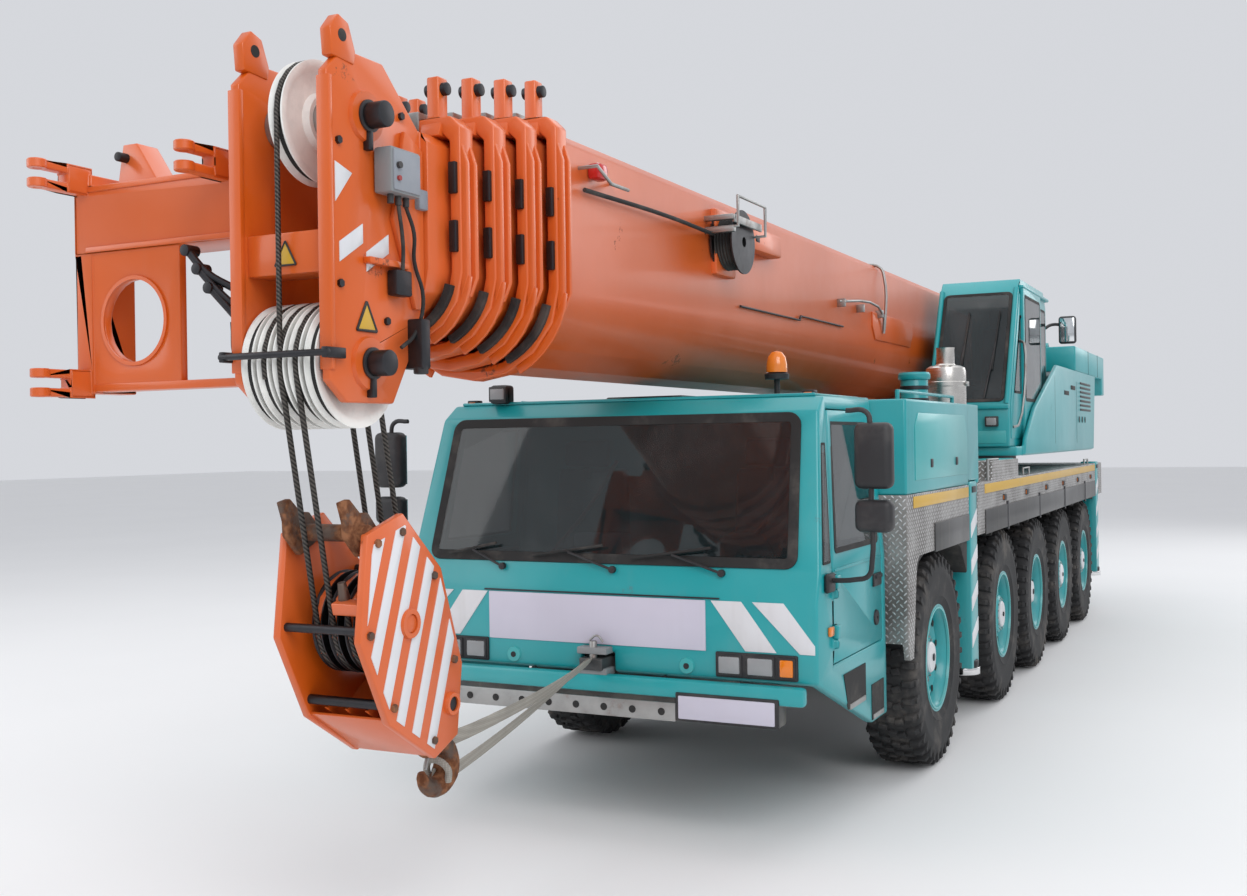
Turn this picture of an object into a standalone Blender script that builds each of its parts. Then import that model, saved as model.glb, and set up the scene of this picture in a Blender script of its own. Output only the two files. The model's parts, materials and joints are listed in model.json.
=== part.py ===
"""Five-axle all-terrain mobile crane with a telescopic boom laid forward over its low cab.

Metres, +Z up, the crane's front towards -Y and its left side towards +X. Distances along the
vehicle are written as `s`, measured back from the cab's front face, and become Y through
`along()`, which puts the origin under the middle of the whole machine.
"""

import math

import bmesh
import bpy
from mathutils import Matrix, Vector

# ---- driving dimensions -------------------------------------------------------------------
SEAT_GAP = 0.0003  # between touching neighbours
RUN_GAP = 0.006  # between neighbours that move past each other

# running gear
AXLE_S = (2.22, 4.505, 6.16, 7.82, 9.475)
STEERED = (1, 2, 5)
DRIVEN = (2, 4, 5)
TYRE_RADIUS = 0.685
TYRE_WIDTH = 0.36
WHEEL_X = 1.175  # middle of a tyre
WHEEL_SEGMENTS = 16
HUB_BORE = 0.09
HUB_INNER = -0.01  # inner face of the wheel disc, from the middle of the tyre
KINGPIN_X = 0.88
AXLE_HALF_DEPTH = 0.07
AXLE_Z = (0.61, 0.76)
STRUT_X = 0.60
STRUT_RADIUS = 0.055

# carrier
CARRIER_HALF_WIDTH = 1.375
FRAME_HALF_WIDTH = 0.42
FRAME_Z = (0.92, 1.45)
FRAME_S = (1.30, 10.95)
DECK_TOP = 1.78
DECK_THICKNESS = 0.07
SKIRT_BOTTOM = 1.40
SKIRT_THICKNESS = 0.04
GUARD_BOTTOM = 0.80
GUARD_DEPTH = 0.22
HOOD_S = (1.32, 3.42)
HOOD_TOP = 2.35
HOOD_WALL = 0.04
SILENCER_S = 3.68
SILENCER_X = 1.085
SILENCER_RADIUS = 0.15
SILENCER_TOP = 2.66
INTAKE_S = 3.25
INTAKE_X = 0.95

# carrier cab
CAB_HALF_WIDTH = 1.25
CAB_WALL = 0.05
CAB_BACK = 1.28
CAB_FLOOR = 1.03
CAB_ROOF = 2.36
CAB_SILL = 1.44  # where the upright lower body meets the leaning window band
CAB_LEAN = 0.09  # how far the sides come in for each metre above the sill
DOOR_BOTTOM = 0.94
DOOR_FRONT = 0.256
DOOR_BACK = 1.20
HINGE_X = 1.272
HINGE_S = 0.248
HINGE_HEIGHTS = (1.08, 1.34)
MIRROR_REACH = 1.60

# outriggers: the boxes run across the frame, one beam going out to each side
OUTRIGGER_S = (3.06, 10.33)
OUTRIGGER_DEPTH = 0.56
OUTRIGGER_Z = (0.95, 1.31)
BEAM_DEPTH = 0.23
BEAM_HEIGHT = 0.26
COLUMN_TOP = 1.80
COLUMN_BOTTOM = 0.47
COLUMN_WIDTH = 0.17
JACK_RADIUS = 0.055
FOOT_RADIUS = 0.115

# slewing superstructure
SLEW_S = 7.35
RING_RADIUS = 0.85
RING_TOP = 1.865
UPPER_FLOOR = (1.95, 2.03)
CHEEK_X = 0.50
CHEEK_THICKNESS = 0.05
COVER_X = 1.306
COVER_THICKNESS = 0.039
WEIGHT_BOTTOM = 2.84
WEIGHT_TOP = 3.12
WEIGHT_S = (9.0, 11.93)
WEIGHT_NOSE_S = 10.92
WEIGHT_HALF_WIDTH = 1.34
WEIGHT_CHAMFER = 0.25
TAIL_LIP_S = 11.45
TAIL_LIP_BOTTOM = 2.63
WINCH_S = 10.52
WINCH_Z = 2.21
WINCH_RADIUS = 0.175

# crane cab
CRANE_CAB_X = (0.56, 1.265)
CRANE_CAB_WALL = 0.045
CRANE_CAB_S = (5.30, 7.40)
CRANE_CAB_ROOF = 3.55
CRANE_DOOR_S = (5.90, 6.85)
CRANE_DOOR_THICKNESS = 0.028

# boom
FOOT_PIN = (10.30, 3.05)
BOOM_BACK = 10.45
BOOM_TOP = 3.545
BOOM_BOTTOM = 2.45
BOOM_HALF_WIDTH = 0.42
BOOM_WALL = 0.014
SECTION_STEP = 0.038  # how much smaller each section is all round
SECTION_COUNT = 4
COLLAR_FRONT = -1.20
COLLAR_PITCH = 0.20
COLLAR_DEPTH = 0.10
COLLAR_RISE = 0.04
SECTION_BACK_STEP = 0.20
LIFT_EYE = (4.70, 2.30)
LIFT_FOOT = (8.60, 2.16)
LIFT_BARREL_RADIUS = 0.145
LIFT_ROD_RADIUS = 0.08
LIFT_BARREL_LENGTH = 3.42
LIFT_ROD_LENGTH = 3.30

# boom head
HEAD_FRONT = -2.50
HEAD_PLATE_X = 0.19
HEAD_PLATE_THICKNESS = 0.04
LOWER_PIN = (-2.275, 2.43)
LOWER_SHEAVE_RADIUS = 0.245
TOP_PIN = (-2.275, 3.37)
TOP_SHEAVE_RADIUS = 0.24
SHEAVE_PITCH = 0.075
SHEAVE_COUNT = 5
ROPE_RADIUS = 0.011
ROPE_ARC_STEPS = 6  # chords in half a turn of rope round a sheave
ROPE_FLAT = math.cos(math.pi / 6)  # the rope's section is a hexagon with a flat to the sheave
ADAPTER_S = (-2.29, -2.05)
ADAPTER_X = (-1.32, -0.2303)
ADAPTER_Z = (2.36, 3.30)

# hook block, which hangs on its rope from the lower head pin, drawn back by BLOCK_TILT
BLOCK_TILT = 34.0
ROPE_TILT = 14.0
BLOCK_DROP = 1.055  # from the head pin to the block's sheave pin
BLOCK_SHEAVE_RADIUS = 0.20
ROPE_END = 0.12  # the rope's dead end, above the block's sheave pin
BLOCK_PLATE_X = 0.18
BLOCK_PLATE_THICKNESS = 0.035

REAR_END = WEIGHT_S[1]


def rope_line_radius(sheave_radius):
    """Radius of the corners of a rope laid in chords round a sheave, clear of its rim."""
    clear = sheave_radius + ROPE_RADIUS * ROPE_FLAT + SEAT_GAP
    return clear / math.cos(math.pi / 2 / ROPE_ARC_STEPS)


def rope_reach():
    """How far the rope stands ahead of the head pin, where one of its corners leads."""
    turns = (math.pi * i / ROPE_ARC_STEPS for i in range(ROPE_ARC_STEPS + 1))
    furthest = max(math.cos(turn - math.radians(ROPE_TILT)) for turn in turns)
    return rope_line_radius(LOWER_SHEAVE_RADIUS) * furthest + ROPE_RADIUS * ROPE_FLAT


FRONT_END = LOWER_PIN[0] - rope_reach()
MIDDLE_S = (REAR_END + FRONT_END) / 2

PARTS = "mobile_crane"
TOOLS = "mobile_crane_tools"


def along(s):
    """Y of a place `s` behind the cab's front face."""
    return s - MIDDLE_S


# ---- scene helpers ------------------------------------------------------------------------
def clear_scene():
    for obj in list(bpy.data.objects):
        bpy.data.objects.remove(obj, do_unlink=True)
    for name in (PARTS, TOOLS):
        bpy.context.scene.collection.children.link(bpy.data.collections.new(name))


def make_material(name, colour, roughness, metallic=0.0):
    material = bpy.data.materials.new(name)
    material.use_nodes = True
    shader = material.node_tree.nodes["Principled BSDF"]
    shader.inputs["Base Color"].default_value = (*colour, 1.0)
    shader.inputs["Roughness"].default_value = roughness
    shader.inputs["Metallic"].default_value = metallic
    return material


def mesh_object(name, mesh, matrix=None):
    obj = bpy.data.objects.new(name, mesh)
    bpy.data.collections[PARTS].objects.link(obj)
    if matrix is not None:
        obj.matrix_world = matrix
    return obj


def from_bmesh(name, shape, matrix=None):
    mesh = bpy.data.meshes.new(name)
    bmesh.ops.recalc_face_normals(shape, faces=shape.faces)
    shape.to_mesh(mesh)
    shape.free()
    return mesh_object(name, mesh, matrix)


def box(name, x, s, z):
    """A box between two distances across, along and up."""
    shape = bmesh.new()
    bmesh.ops.create_cube(shape, size=1.0)
    sides = (x[1] - x[0], s[1] - s[0], z[1] - z[0])
    bmesh.ops.scale(shape, vec=sides, verts=shape.verts)
    middle = Vector(((x[0] + x[1]) / 2, along((s[0] + s[1]) / 2), (z[0] + z[1]) / 2))
    return from_bmesh(name, shape, Matrix.Translation(middle))


AXIS_TURNS = {
    "x": Matrix.Rotation(math.pi / 2, 4, "Y"),
    "y": Matrix.Rotation(-math.pi / 2, 4, "X"),
    "z": Matrix.Identity(4),
}


def cylinder(name, centre, radius, length, axis="x", segments=12, tip_radius=None):
    """A round bar about `centre`, given as (x, s, z)."""
    shape = bmesh.new()
    bmesh.ops.create_cone(
        shape,
        cap_ends=True,
        segments=segments,
        radius1=radius,
        radius2=radius if tip_radius is None else tip_radius,
        depth=length,
    )
    x, s, z = centre
    return from_bmesh(name, shape, Matrix.Translation((x, along(s), z)) @ AXIS_TURNS[axis])


def cut_outline(name, points, thickness, matrix):
    """A flat closed outline, extruded by half its thickness to both sides, as a mesh."""
    curve = bpy.data.curves.new(name, "CURVE")
    curve.dimensions = "2D"
    curve.fill_mode = "BOTH"
    curve.extrude = thickness / 2
    spline = curve.splines.new("POLY")
    spline.points.add(len(points) - 1)
    for point, (a, b) in zip(spline.points, points):
        point.co = (a, b, 0.0, 1.0)
    spline.use_cyclic_u = True
    guide = mesh_object(name, curve, matrix)
    return curve_to_mesh(guide)


def curve_to_mesh(guide):
    """Turn a curve object into a welded, closed mesh object in the same place."""
    name = guide.name
    bpy.context.view_layer.update()
    graph = bpy.context.evaluated_depsgraph_get()
    mesh = bpy.data.meshes.new_from_object(guide.evaluated_get(graph))
    matrix = guide.matrix_world.copy()
    bpy.data.objects.remove(guide)
    shape = bmesh.new()
    shape.from_mesh(mesh)
    bmesh.ops.remove_doubles(shape, verts=shape.verts, dist=1e-5)
    bmesh.ops.recalc_face_normals(shape, faces=shape.faces)
    shape.to_mesh(mesh)
    shape.free()
    return mesh_object(name, mesh, matrix)


SIDE_VIEW = Matrix(((0, 0, 1, 0), (1, 0, 0, 0), (0, 1, 0, 0), (0, 0, 0, 1)))
FRONT_VIEW = Matrix(((1, 0, 0, 0), (0, 0, -1, 0), (0, 1, 0, 0), (0, 0, 0, 1)))


def side_profile(name, points, x):
    """An outline of (s, z) points, extruded across between two x."""
    middle = Matrix.Translation(((x[0] + x[1]) / 2, along(0.0), 0.0))
    return cut_outline(name, points, x[1] - x[0], middle @ SIDE_VIEW)


def front_profile(name, points, s):
    """An outline of (x, z) points, extruded along between two s."""
    middle = Matrix.Translation((0.0, along((s[0] + s[1]) / 2), 0.0))
    return cut_outline(name, points, s[1] - s[0], middle @ FRONT_VIEW)


def plan_profile(name, points, z):
    """An outline of (x, s) points, extruded between two heights."""
    middle = Matrix.Translation((0.0, along(0.0), (z[0] + z[1]) / 2))
    return cut_outline(name, points, z[1] - z[0], middle)


def turned(name, profile, centre, axis="x", steps=WHEEL_SEGMENTS, flip=False):
    """A profile of (radius, offset) points, its outer side running from high offset to low."""
    mesh = bpy.data.meshes.new(name)
    points = [(radius, 0.0, offset) for radius, offset in profile]
    ends = [(i, (i + 1) % len(points)) for i in range(len(points))]
    mesh.from_pydata(points, ends, [])
    x, s, z = centre
    turn = AXIS_TURNS[axis]
    if flip:
        turn = turn @ Matrix.Rotation(math.pi, 4, "X")
    obj = mesh_object(name, mesh, Matrix.Translation((x, along(s), z)) @ turn)
    screw = obj.modifiers.new("Turn", "SCREW")
    screw.axis = "Z"
    screw.steps = screw.render_steps = steps
    screw.use_merge_vertices = True
    screw.merge_threshold = 1e-5
    return obj


def tube(name, points, radius, resolution=2, cyclic=False):
    """A round bar along (x, s, z) points."""
    curve = bpy.data.curves.new(name, "CURVE")
    curve.dimensions = "3D"
    curve.bevel_depth = radius
    curve.bevel_resolution = resolution
    curve.use_fill_caps = not cyclic
    spline = curve.splines.new("POLY")
    spline.points.add(len(points) - 1)
    for point, (x, s, z) in zip(spline.points, points):
        point.co = (x, along(s), z, 1.0)
    spline.use_cyclic_u = cyclic
    return curve_to_mesh(mesh_object(name, curve))


def as_tool(tool, owner):
    """Keep a helper solid out of the model, moving with the piece it shapes."""
    tool.hide_render = True
    tool.display_type = "WIRE"
    bpy.data.collections[PARTS].objects.unlink(tool)
    bpy.data.collections[TOOLS].objects.link(tool)
    bpy.context.view_layer.update()
    tool.parent = owner
    tool.matrix_parent_inverse = owner.matrix_world.inverted()


def add_boolean(obj, tool, operation):
    modifier = obj.modifiers.new(operation.title(), "BOOLEAN")
    modifier.operation = operation
    modifier.solver = "EXACT"
    modifier.object = tool
    as_tool(tool, obj)


def finish_part(name, solids, finish, body=None, cuts=()):
    """One sub-part: the first solid with the rest joined to it and the cuts taken out."""
    part = solids[0]
    for extra in solids[1:]:
        add_boolean(part, extra, "UNION")
    for cut in cuts:
        add_boolean(part, cut, "DIFFERENCE")
    part.name = name
    part.data.materials.clear()
    part.data.materials.append(finish)
    if body is not None:
        part.parent = body
        part.matrix_parent_inverse = body.matrix_world.inverted()
    return part


def pivot(name, x, s, z, parent=None):
    """An empty on a joint's axis, which carries the pieces of one moving body."""
    empty = bpy.data.objects.new(name, None)
    empty.empty_display_size = 0.2
    bpy.data.collections[PARTS].objects.link(empty)
    empty.location = (x, along(s), z)
    bpy.context.view_layer.update()
    if parent is not None:
        empty.parent = parent
        empty.matrix_parent_inverse = parent.matrix_world.inverted()
        bpy.context.view_layer.update()
    return empty


def lean_sides(obj, z_start, lean):
    """Bring a solid's sides in by `lean` for each metre above z_start."""
    shape = bmesh.new()
    shape.from_mesh(obj.data)
    bmesh.ops.transform(shape, matrix=obj.matrix_world, verts=shape.verts)
    geometry = list(shape.verts) + list(shape.edges) + list(shape.faces)
    bmesh.ops.bisect_plane(
        shape, geom=geometry, plane_co=(0, 0, z_start), plane_no=(0, 0, 1), dist=1e-6
    )
    for vert in shape.verts:
        rise = vert.co.z - z_start
        if rise > 0:
            vert.co.x -= math.copysign(rise * lean, vert.co.x)
    bmesh.ops.transform(shape, matrix=obj.matrix_world.inverted(), verts=shape.verts)
    shape.to_mesh(obj.data)
    shape.free()
    return obj


def mirrored(points, side):
    """Distances across, swapped to the other side where side is -1."""
    return points if side > 0 else (-points[1], -points[0])


SIDES = (("left", 1), ("right", -1))


# ---- running gear -------------------------------------------------------------------------
def wheel_profile():
    half = TYRE_WIDTH / 2
    return [
        (HUB_BORE, 0.10),
        (0.17, 0.10),
        (0.18, 0.03),
        (0.31, 0.03),
        (0.36, half - 0.01),
        (0.62, half),
        (TYRE_RADIUS, half - 0.055),
        (TYRE_RADIUS, -half + 0.055),
        (0.62, -half),
        (0.36, -half + 0.01),
        (0.31, HUB_INNER),
        (HUB_BORE, HUB_INNER),
    ]


def build_wheel(number, side_name, side, finish, body):
    centre = (side * WHEEL_X, AXLE_S[number - 1], TYRE_RADIUS)
    wheel = turned(f"wheel_{number}_{side_name}", wheel_profile(), centre, flip=side < 0)
    return finish_part(wheel.name, [wheel], finish, body)


def stub_axle(name, number, side):
    """The stub a wheel turns on and the shoulder its hub runs against."""
    s = AXLE_S[number - 1]
    shoulder = WHEEL_X + HUB_INNER - SEAT_GAP
    stub_end = WHEEL_X + 0.09
    inner = KINGPIN_X + 0.11
    carrier = cylinder(
        f"{name}_carrier",
        (side * (inner + shoulder) / 2, s, TYRE_RADIUS),
        0.14,
        shoulder - inner,
    )
    stub = cylinder(
        f"{name}_stub",
        (side * (inner + stub_end) / 2, s, TYRE_RADIUS),
        HUB_BORE - 0.006,
        stub_end - inner,
    )
    return carrier, stub


def build_axle(number, finish):
    s = AXLE_S[number - 1]
    steered = number in STEERED
    depth = (s - AXLE_HALF_DEPTH, s + AXLE_HALF_DEPTH)
    name = f"axle_{number}"
    reach = KINGPIN_X if steered else KINGPIN_X + 0.12
    solids = [box(name, (-reach, reach), depth, AXLE_Z)]
    for side_name, side in SIDES:
        strut_top = FRAME_Z[1] - 0.21 - SEAT_GAP
        strut_height = strut_top - AXLE_Z[1] + 0.03
        strut_middle = strut_top - strut_height / 2
        solids.append(
            cylinder(
                f"{name}_strut_{side_name}",
                (side * STRUT_X, s, strut_middle),
                STRUT_RADIUS,
                strut_height,
                "z",
                12,
            )
        )
        if steered:
            boss_middle = (AXLE_Z[0] + AXLE_Z[1]) / 2
            boss_height = AXLE_Z[1] - AXLE_Z[0] + 0.02
            solids.append(
                cylinder(
                    f"{name}_boss_{side_name}",
                    (side * KINGPIN_X, s, boss_middle),
                    0.078,
                    boss_height,
                    "z",
                    16,
                )
            )
        else:
            solids.extend(stub_axle(f"{name}_{side_name}", number, side))
    if number in DRIVEN:
        solids.append(cylinder(f"{name}_drive", (0, s, TYRE_RADIUS), 0.19, 0.30, "y", 16))
    return finish_part(name, solids, finish)


def build_knuckle(number, side_name, side, finish, body):
    s = AXLE_S[number - 1]
    name = f"knuckle_{number}_{side_name}"
    depth = (s - 0.055, s + 0.055)
    plate_x = mirrored((KINGPIN_X - 0.055, KINGPIN_X + 0.13), side)
    web_x = mirrored((KINGPIN_X + 0.09, KINGPIN_X + 0.13), side)
    top = AXLE_Z[1] + 0.01 + SEAT_GAP
    bottom = AXLE_Z[0] - 0.01 - SEAT_GAP
    plate = 0.05
    solids = [
        box(name, web_x, depth, (bottom - plate, top + plate)),
        box(f"{name}_upper", plate_x, depth, (top, top + plate)),
        box(f"{name}_lower", plate_x, depth, (bottom - plate, bottom)),
    ]
    solids.extend(stub_axle(name, number, side))
    return finish_part(name, solids, finish, body)


# ---- carrier ------------------------------------------------------------------------------
def outrigger_slots(s_front):
    """The s ranges of the two slots in an outrigger box: left beam first."""
    margin = (OUTRIGGER_DEPTH - 2 * (BEAM_DEPTH + 2 * RUN_GAP)) / 3
    slot = BEAM_DEPTH + 2 * RUN_GAP
    first = s_front + margin
    second = first + slot + margin
    return (first, first + slot), (second, second + slot)


def beam_height():
    middle = (OUTRIGGER_Z[0] + OUTRIGGER_Z[1]) / 2
    return middle - BEAM_HEIGHT / 2, middle + BEAM_HEIGHT / 2


def build_chassis(finish):
    half = FRAME_HALF_WIDTH
    nose_top = CAB_FLOOR - CAB_WALL - SEAT_GAP
    solids = [
        box("chassis", (-half, half), FRAME_S, FRAME_Z),
        box("chassis_nose", (-half, half), (0.07, FRAME_S[0] + 0.2), (0.66, nose_top)),
        box("chassis_bumper", (-1.0, 1.0), (0.10, 0.22), (0.62, 0.80)),
        box("chassis_hitch", (-0.07, 0.07), (-0.09, 0.09), (0.89, 0.955)),
    ]
    for number, s in enumerate(AXLE_S, 1):
        bracket = (FRAME_Z[1] - 0.21, FRAME_Z[1] - 0.03)
        reach = STRUT_X + STRUT_RADIUS + 0.03
        solids.append(box(f"chassis_bracket_{number}", (-reach, reach), (s - 0.1, s + 0.1), bracket))
    slots = []
    half_box = CARRIER_HALF_WIDTH - 0.02
    low, high = beam_height()
    for place, s_front in zip(("front", "rear"), OUTRIGGER_S):
        depth = (s_front, s_front + OUTRIGGER_DEPTH)
        half_x = (-(half_box - COLUMN_WIDTH), half_box - COLUMN_WIDTH)
        solids.append(box(f"chassis_outrigger_{place}", half_x, depth, OUTRIGGER_Z))
        for index, slot in enumerate(outrigger_slots(s_front)):
            slot_z = (low - RUN_GAP, high + SEAT_GAP)
            slots.append(box(f"slot_{place}_{index}", (-2.0, 2.0), slot, slot_z))
    ring_height = RING_TOP - FRAME_Z[1] + 0.05
    solids.append(
        cylinder(
            "chassis_ring",
            (0, SLEW_S, RING_TOP - ring_height / 2),
            RING_RADIUS,
            ring_height,
            "z",
            32,
        )
    )
    return finish_part("chassis_frame", solids, finish, cuts=slots)


def build_deck(finish):
    half = CARRIER_HALF_WIDTH
    under = DECK_TOP - DECK_THICKNESS
    s_range = (HOOD_S[0], FRAME_S[1])
    solids = [box("deck", (-half, half), s_range, (under, DECK_TOP))]
    cuts = [
        cylinder("deck_hole", (0, SLEW_S, DECK_TOP), RING_RADIUS + RUN_GAP, 1.0, "z", 32),
        box("deck_engine_hole", (-0.50, 0.50), (1.50, 3.02), (1.5, 2.0)),
    ]
    for number, s in enumerate((1.40, 5.2, 9.4, 10.7), 1):
        bearer = (FRAME_Z[1] + SEAT_GAP, under + 0.01)
        reach = FRAME_HALF_WIDTH
        solids.append(box(f"deck_bearer_{number}", (-reach, reach), (s - 0.05, s + 0.05), bearer))
    for side_name, side in SIDES:
        skirt_x = mirrored((half - SKIRT_THICKNESS, half), side)
        solids.append(box(f"deck_skirt_{side_name}", skirt_x, s_range, (SKIRT_BOTTOM, under + 0.01)))
        guard = [
            (HOOD_S[0], GUARD_BOTTOM + 0.1),
            (HOOD_S[0] + 0.04, GUARD_BOTTOM),
            (HOOD_S[0] + 0.12, GUARD_BOTTOM),
            (HOOD_S[0] + GUARD_DEPTH, SKIRT_BOTTOM - 0.05),
            (HOOD_S[0] + GUARD_DEPTH + 0.15, SKIRT_BOTTOM + 0.05),
            (HOOD_S[0], SKIRT_BOTTOM + 0.05),
        ]
        solids.append(side_profile(f"deck_guard_{side_name}", guard, skirt_x))
        flap_x = mirrored((1.0, half - 0.01), side)
        flap_s = (HOOD_S[0], HOOD_S[0] + 0.03)
        solids.append(box(f"deck_flap_{side_name}", flap_x, flap_s, (GUARD_BOTTOM + 0.1, under + 0.01)))
        locker_x = mirrored((1.06, 1.36), side)
        solids.append(box(f"deck_locker_{side_name}", locker_x, (4.0, 5.15), (DECK_TOP - 0.01, 1.93)))
        for place, s_front in zip(("front", "rear"), OUTRIGGER_S):
            slot = outrigger_slots(s_front)[0 if side > 0 else 1]
            notch_x = mirrored((half - COLUMN_WIDTH - 0.03, half + 0.1), side)
            notch_s = (slot[0] - 0.03, slot[1] + 0.03)
            cuts.append(box(f"deck_notch_{place}_{side_name}", notch_x, notch_s, (1.2, 2.2)))
    return finish_part("carrier_deck", solids, finish, cuts=cuts)


def build_hood(finish):
    half = CARRIER_HALF_WIDTH
    outer = box("hood", (-half, half), HOOD_S, (DECK_TOP + SEAT_GAP, HOOD_TOP))
    wall = HOOD_WALL
    inner = box(
        "hood_inside",
        (-half + wall, half - wall),
        (HOOD_S[0] + wall, HOOD_S[1] - wall),
        (DECK_TOP - 0.1, HOOD_TOP - wall),
    )
    cuts = [inner]
    for side_name, side in SIDES:
        notch_x = mirrored((half - COLUMN_WIDTH - 0.03, half + 0.1), side)
        slot = outrigger_slots(OUTRIGGER_S[0])[0 if side > 0 else 1]
        notch_s = (slot[0] - 0.03, slot[1] + 0.03)
        cuts.append(box(f"hood_notch_{side_name}", notch_x, notch_s, (1.2, COLUMN_TOP + RUN_GAP)))
    intake = cylinder("hood_intake", (INTAKE_X, INTAKE_S, HOOD_TOP + 0.1), 0.10, 0.26, "z", 20)
    return finish_part("engine_hood", [outer, intake], finish, cuts=cuts)


def build_engine(finish):
    block = box("engine", (-0.40, 0.40), (1.62, 2.92), (FRAME_Z[1] + SEAT_GAP, 2.20))
    return finish_part("engine_block", [block], finish)


def build_silencer(finish):
    base = DECK_TOP + SEAT_GAP
    body_top = SILENCER_TOP
    can = cylinder(
        "silencer",
        (SILENCER_X, SILENCER_S, (base + body_top) / 2),
        SILENCER_RADIUS,
        body_top - base,
        "z",
        24,
    )
    neck = cylinder(
        "silencer_neck", (SILENCER_X, SILENCER_S, body_top + 0.065), 0.065, 0.15, "z", 20
    )
    return finish_part("exhaust_silencer", [can, neck], finish)


# ---- carrier cab --------------------------------------------------------------------------
def cab_outline():
    return [
        (0.0, 0.88),
        (0.0, 1.30),
        (0.05, CAB_SILL),
        (0.29, 2.27),
        (0.40, CAB_ROOF - 0.01),
        (CAB_BACK, CAB_ROOF),
        (CAB_BACK, 0.50),
        (0.98, 0.50),
    ]


def build_cab(finish):
    half = CAB_HALF_WIDTH
    wall = CAB_WALL
    shell = lean_sides(side_profile("cab", cab_outline(), (-half, half)), CAB_SILL, CAB_LEAN)
    room_outline = [
        (wall, CAB_FLOOR),
        (wall, 1.30),
        (0.05 + wall, CAB_SILL),
        (0.29 + wall, 2.25),
        (0.40 + wall / 2, CAB_ROOF - wall - 0.01),
        (CAB_BACK - wall, CAB_ROOF - wall),
        (CAB_BACK - wall, CAB_FLOOR),
    ]
    room = side_profile("cab_room", room_outline, (-half + wall, half - wall))
    lean_sides(room, CAB_SILL, CAB_LEAN)
    under = (-half + wall + 0.01, half - wall - 0.01)
    cuts = [
        room,
        box("cab_under", under, (wall, CAB_BACK + 0.1), (0.4, CAB_FLOOR - wall)),
        box("cab_hitch_notch", (-0.10, 0.10), (-0.1, wall + 0.1), (0.8, CAB_FLOOR - wall)),
        side_profile(
            "cab_windshield_hole",
            [(-0.3, 1.49), (0.17, 1.49), (0.37, 2.21), (-0.3, 2.21)],
            (-1.06, 1.06),
        ),
    ]
    opening = [
        (DOOR_FRONT, DOOR_BOTTOM),
        (DOOR_FRONT, CAB_SILL + 0.02),
        (0.425, 2.28),
        (DOOR_BACK, 2.28),
        (DOOR_BACK, DOOR_BOTTOM),
    ]
    quarter = [(0.125, 1.50), (0.205, 1.50), (0.315, 2.04), (0.28, 2.04)]
    solids = [shell]
    for side_name, side in SIDES:
        hole_x = mirrored((half - 0.17, half + 0.1), side)
        cuts.append(side_profile(f"cab_doorway_{side_name}", opening, hole_x))
        cuts.append(side_profile(f"cab_quarter_{side_name}", quarter, hole_x))
        for number, height in enumerate(HINGE_HEIGHTS, 1):
            ear_x = mirrored((half - 0.01, HINGE_X + 0.015), side)
            ear = (HINGE_S - 0.015, HINGE_S + 0.005)
            solids.append(box(f"cab_ear_{side_name}_{number}", ear_x, ear, (height - 0.05, height)))
    return finish_part("carrier_cab", solids, finish, cuts=cuts)


def build_cab_door(side_name, side, finish, body):
    half = CAB_HALF_WIDTH
    gap = RUN_GAP
    outline = [
        (DOOR_FRONT + gap, DOOR_BOTTOM + gap),
        (DOOR_FRONT + gap, CAB_SILL + 0.02),
        (0.425 + gap, 2.28 - gap),
        (DOOR_BACK - gap, 2.28 - gap),
        (DOOR_BACK - gap, DOOR_BOTTOM + gap),
    ]
    name = f"cab_door_{side_name}"
    panel = side_profile(name, outline, mirrored((half - CAB_WALL, half), side))
    lean_sides(panel, CAB_SILL, CAB_LEAN)
    window = [(0.33, 1.53), (0.475, 2.21), (1.13, 2.21), (1.13, 1.53)]
    hole = side_profile(f"{name}_window", window, mirrored((half - 0.25, half + 0.1), side))
    solids = [panel]
    for number, height in enumerate(HINGE_HEIGHTS, 1):
        z = (height + SEAT_GAP, height + 0.07)
        arm_x = mirrored((half + 0.004, HINGE_X + 0.012), side)
        arm_s = (HINGE_S - 0.012, DOOR_FRONT + 0.05)
        root_x = mirrored((half - 0.01, half + 0.008), side)
        root_s = (DOOR_FRONT + gap + 0.004, DOOR_FRONT + 0.046)
        root_z = (z[0] + 0.004, z[1] - 0.004)
        solids.append(box(f"{name}_arm_{number}", arm_x, arm_s, z))
        solids.append(box(f"{name}_root_{number}", root_x, root_s, root_z))
    return finish_part(name, solids, finish, body, cuts=[hole])


def build_mirror(side_name, side, finish):
    """Two mirror heads, one over the other, on a bowed arm from the front pillar."""
    name = f"mirror_{side_name}"
    base_x = CAB_HALF_WIDTH + SEAT_GAP
    arm_s = 0.172
    reach = MIRROR_REACH - 0.115
    head_x = mirrored((MIRROR_REACH - 0.20, MIRROR_REACH), side)
    low, high = 1.391, 2.27
    foot = box(f"{name}_foot", mirrored((base_x, base_x + 0.03), side), (0.10, 0.22), (1.33, 1.43))
    bar = (arm_s - 0.014, arm_s + 0.014)
    rod_x = (reach - 0.014, reach + 0.014)
    solids = [
        foot,
        box(f"{name}_low", mirrored((base_x + 0.01, reach), side), bar, (low - 0.014, low + 0.014)),
        box(f"{name}_rod", mirrored(rod_x, side), bar, (low - 0.014, high + 0.014)),
        box(f"{name}_top", mirrored((reach - 0.12, reach), side), bar, (high - 0.014, high + 0.014)),
        box(f"{name}_tall", head_x, (0.13, 0.24), (1.86, 2.20)),
        box(f"{name}_wide", head_x, (0.13, 0.24), (1.64, 1.81)),
    ]
    return finish_part(name, solids, finish)


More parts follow.
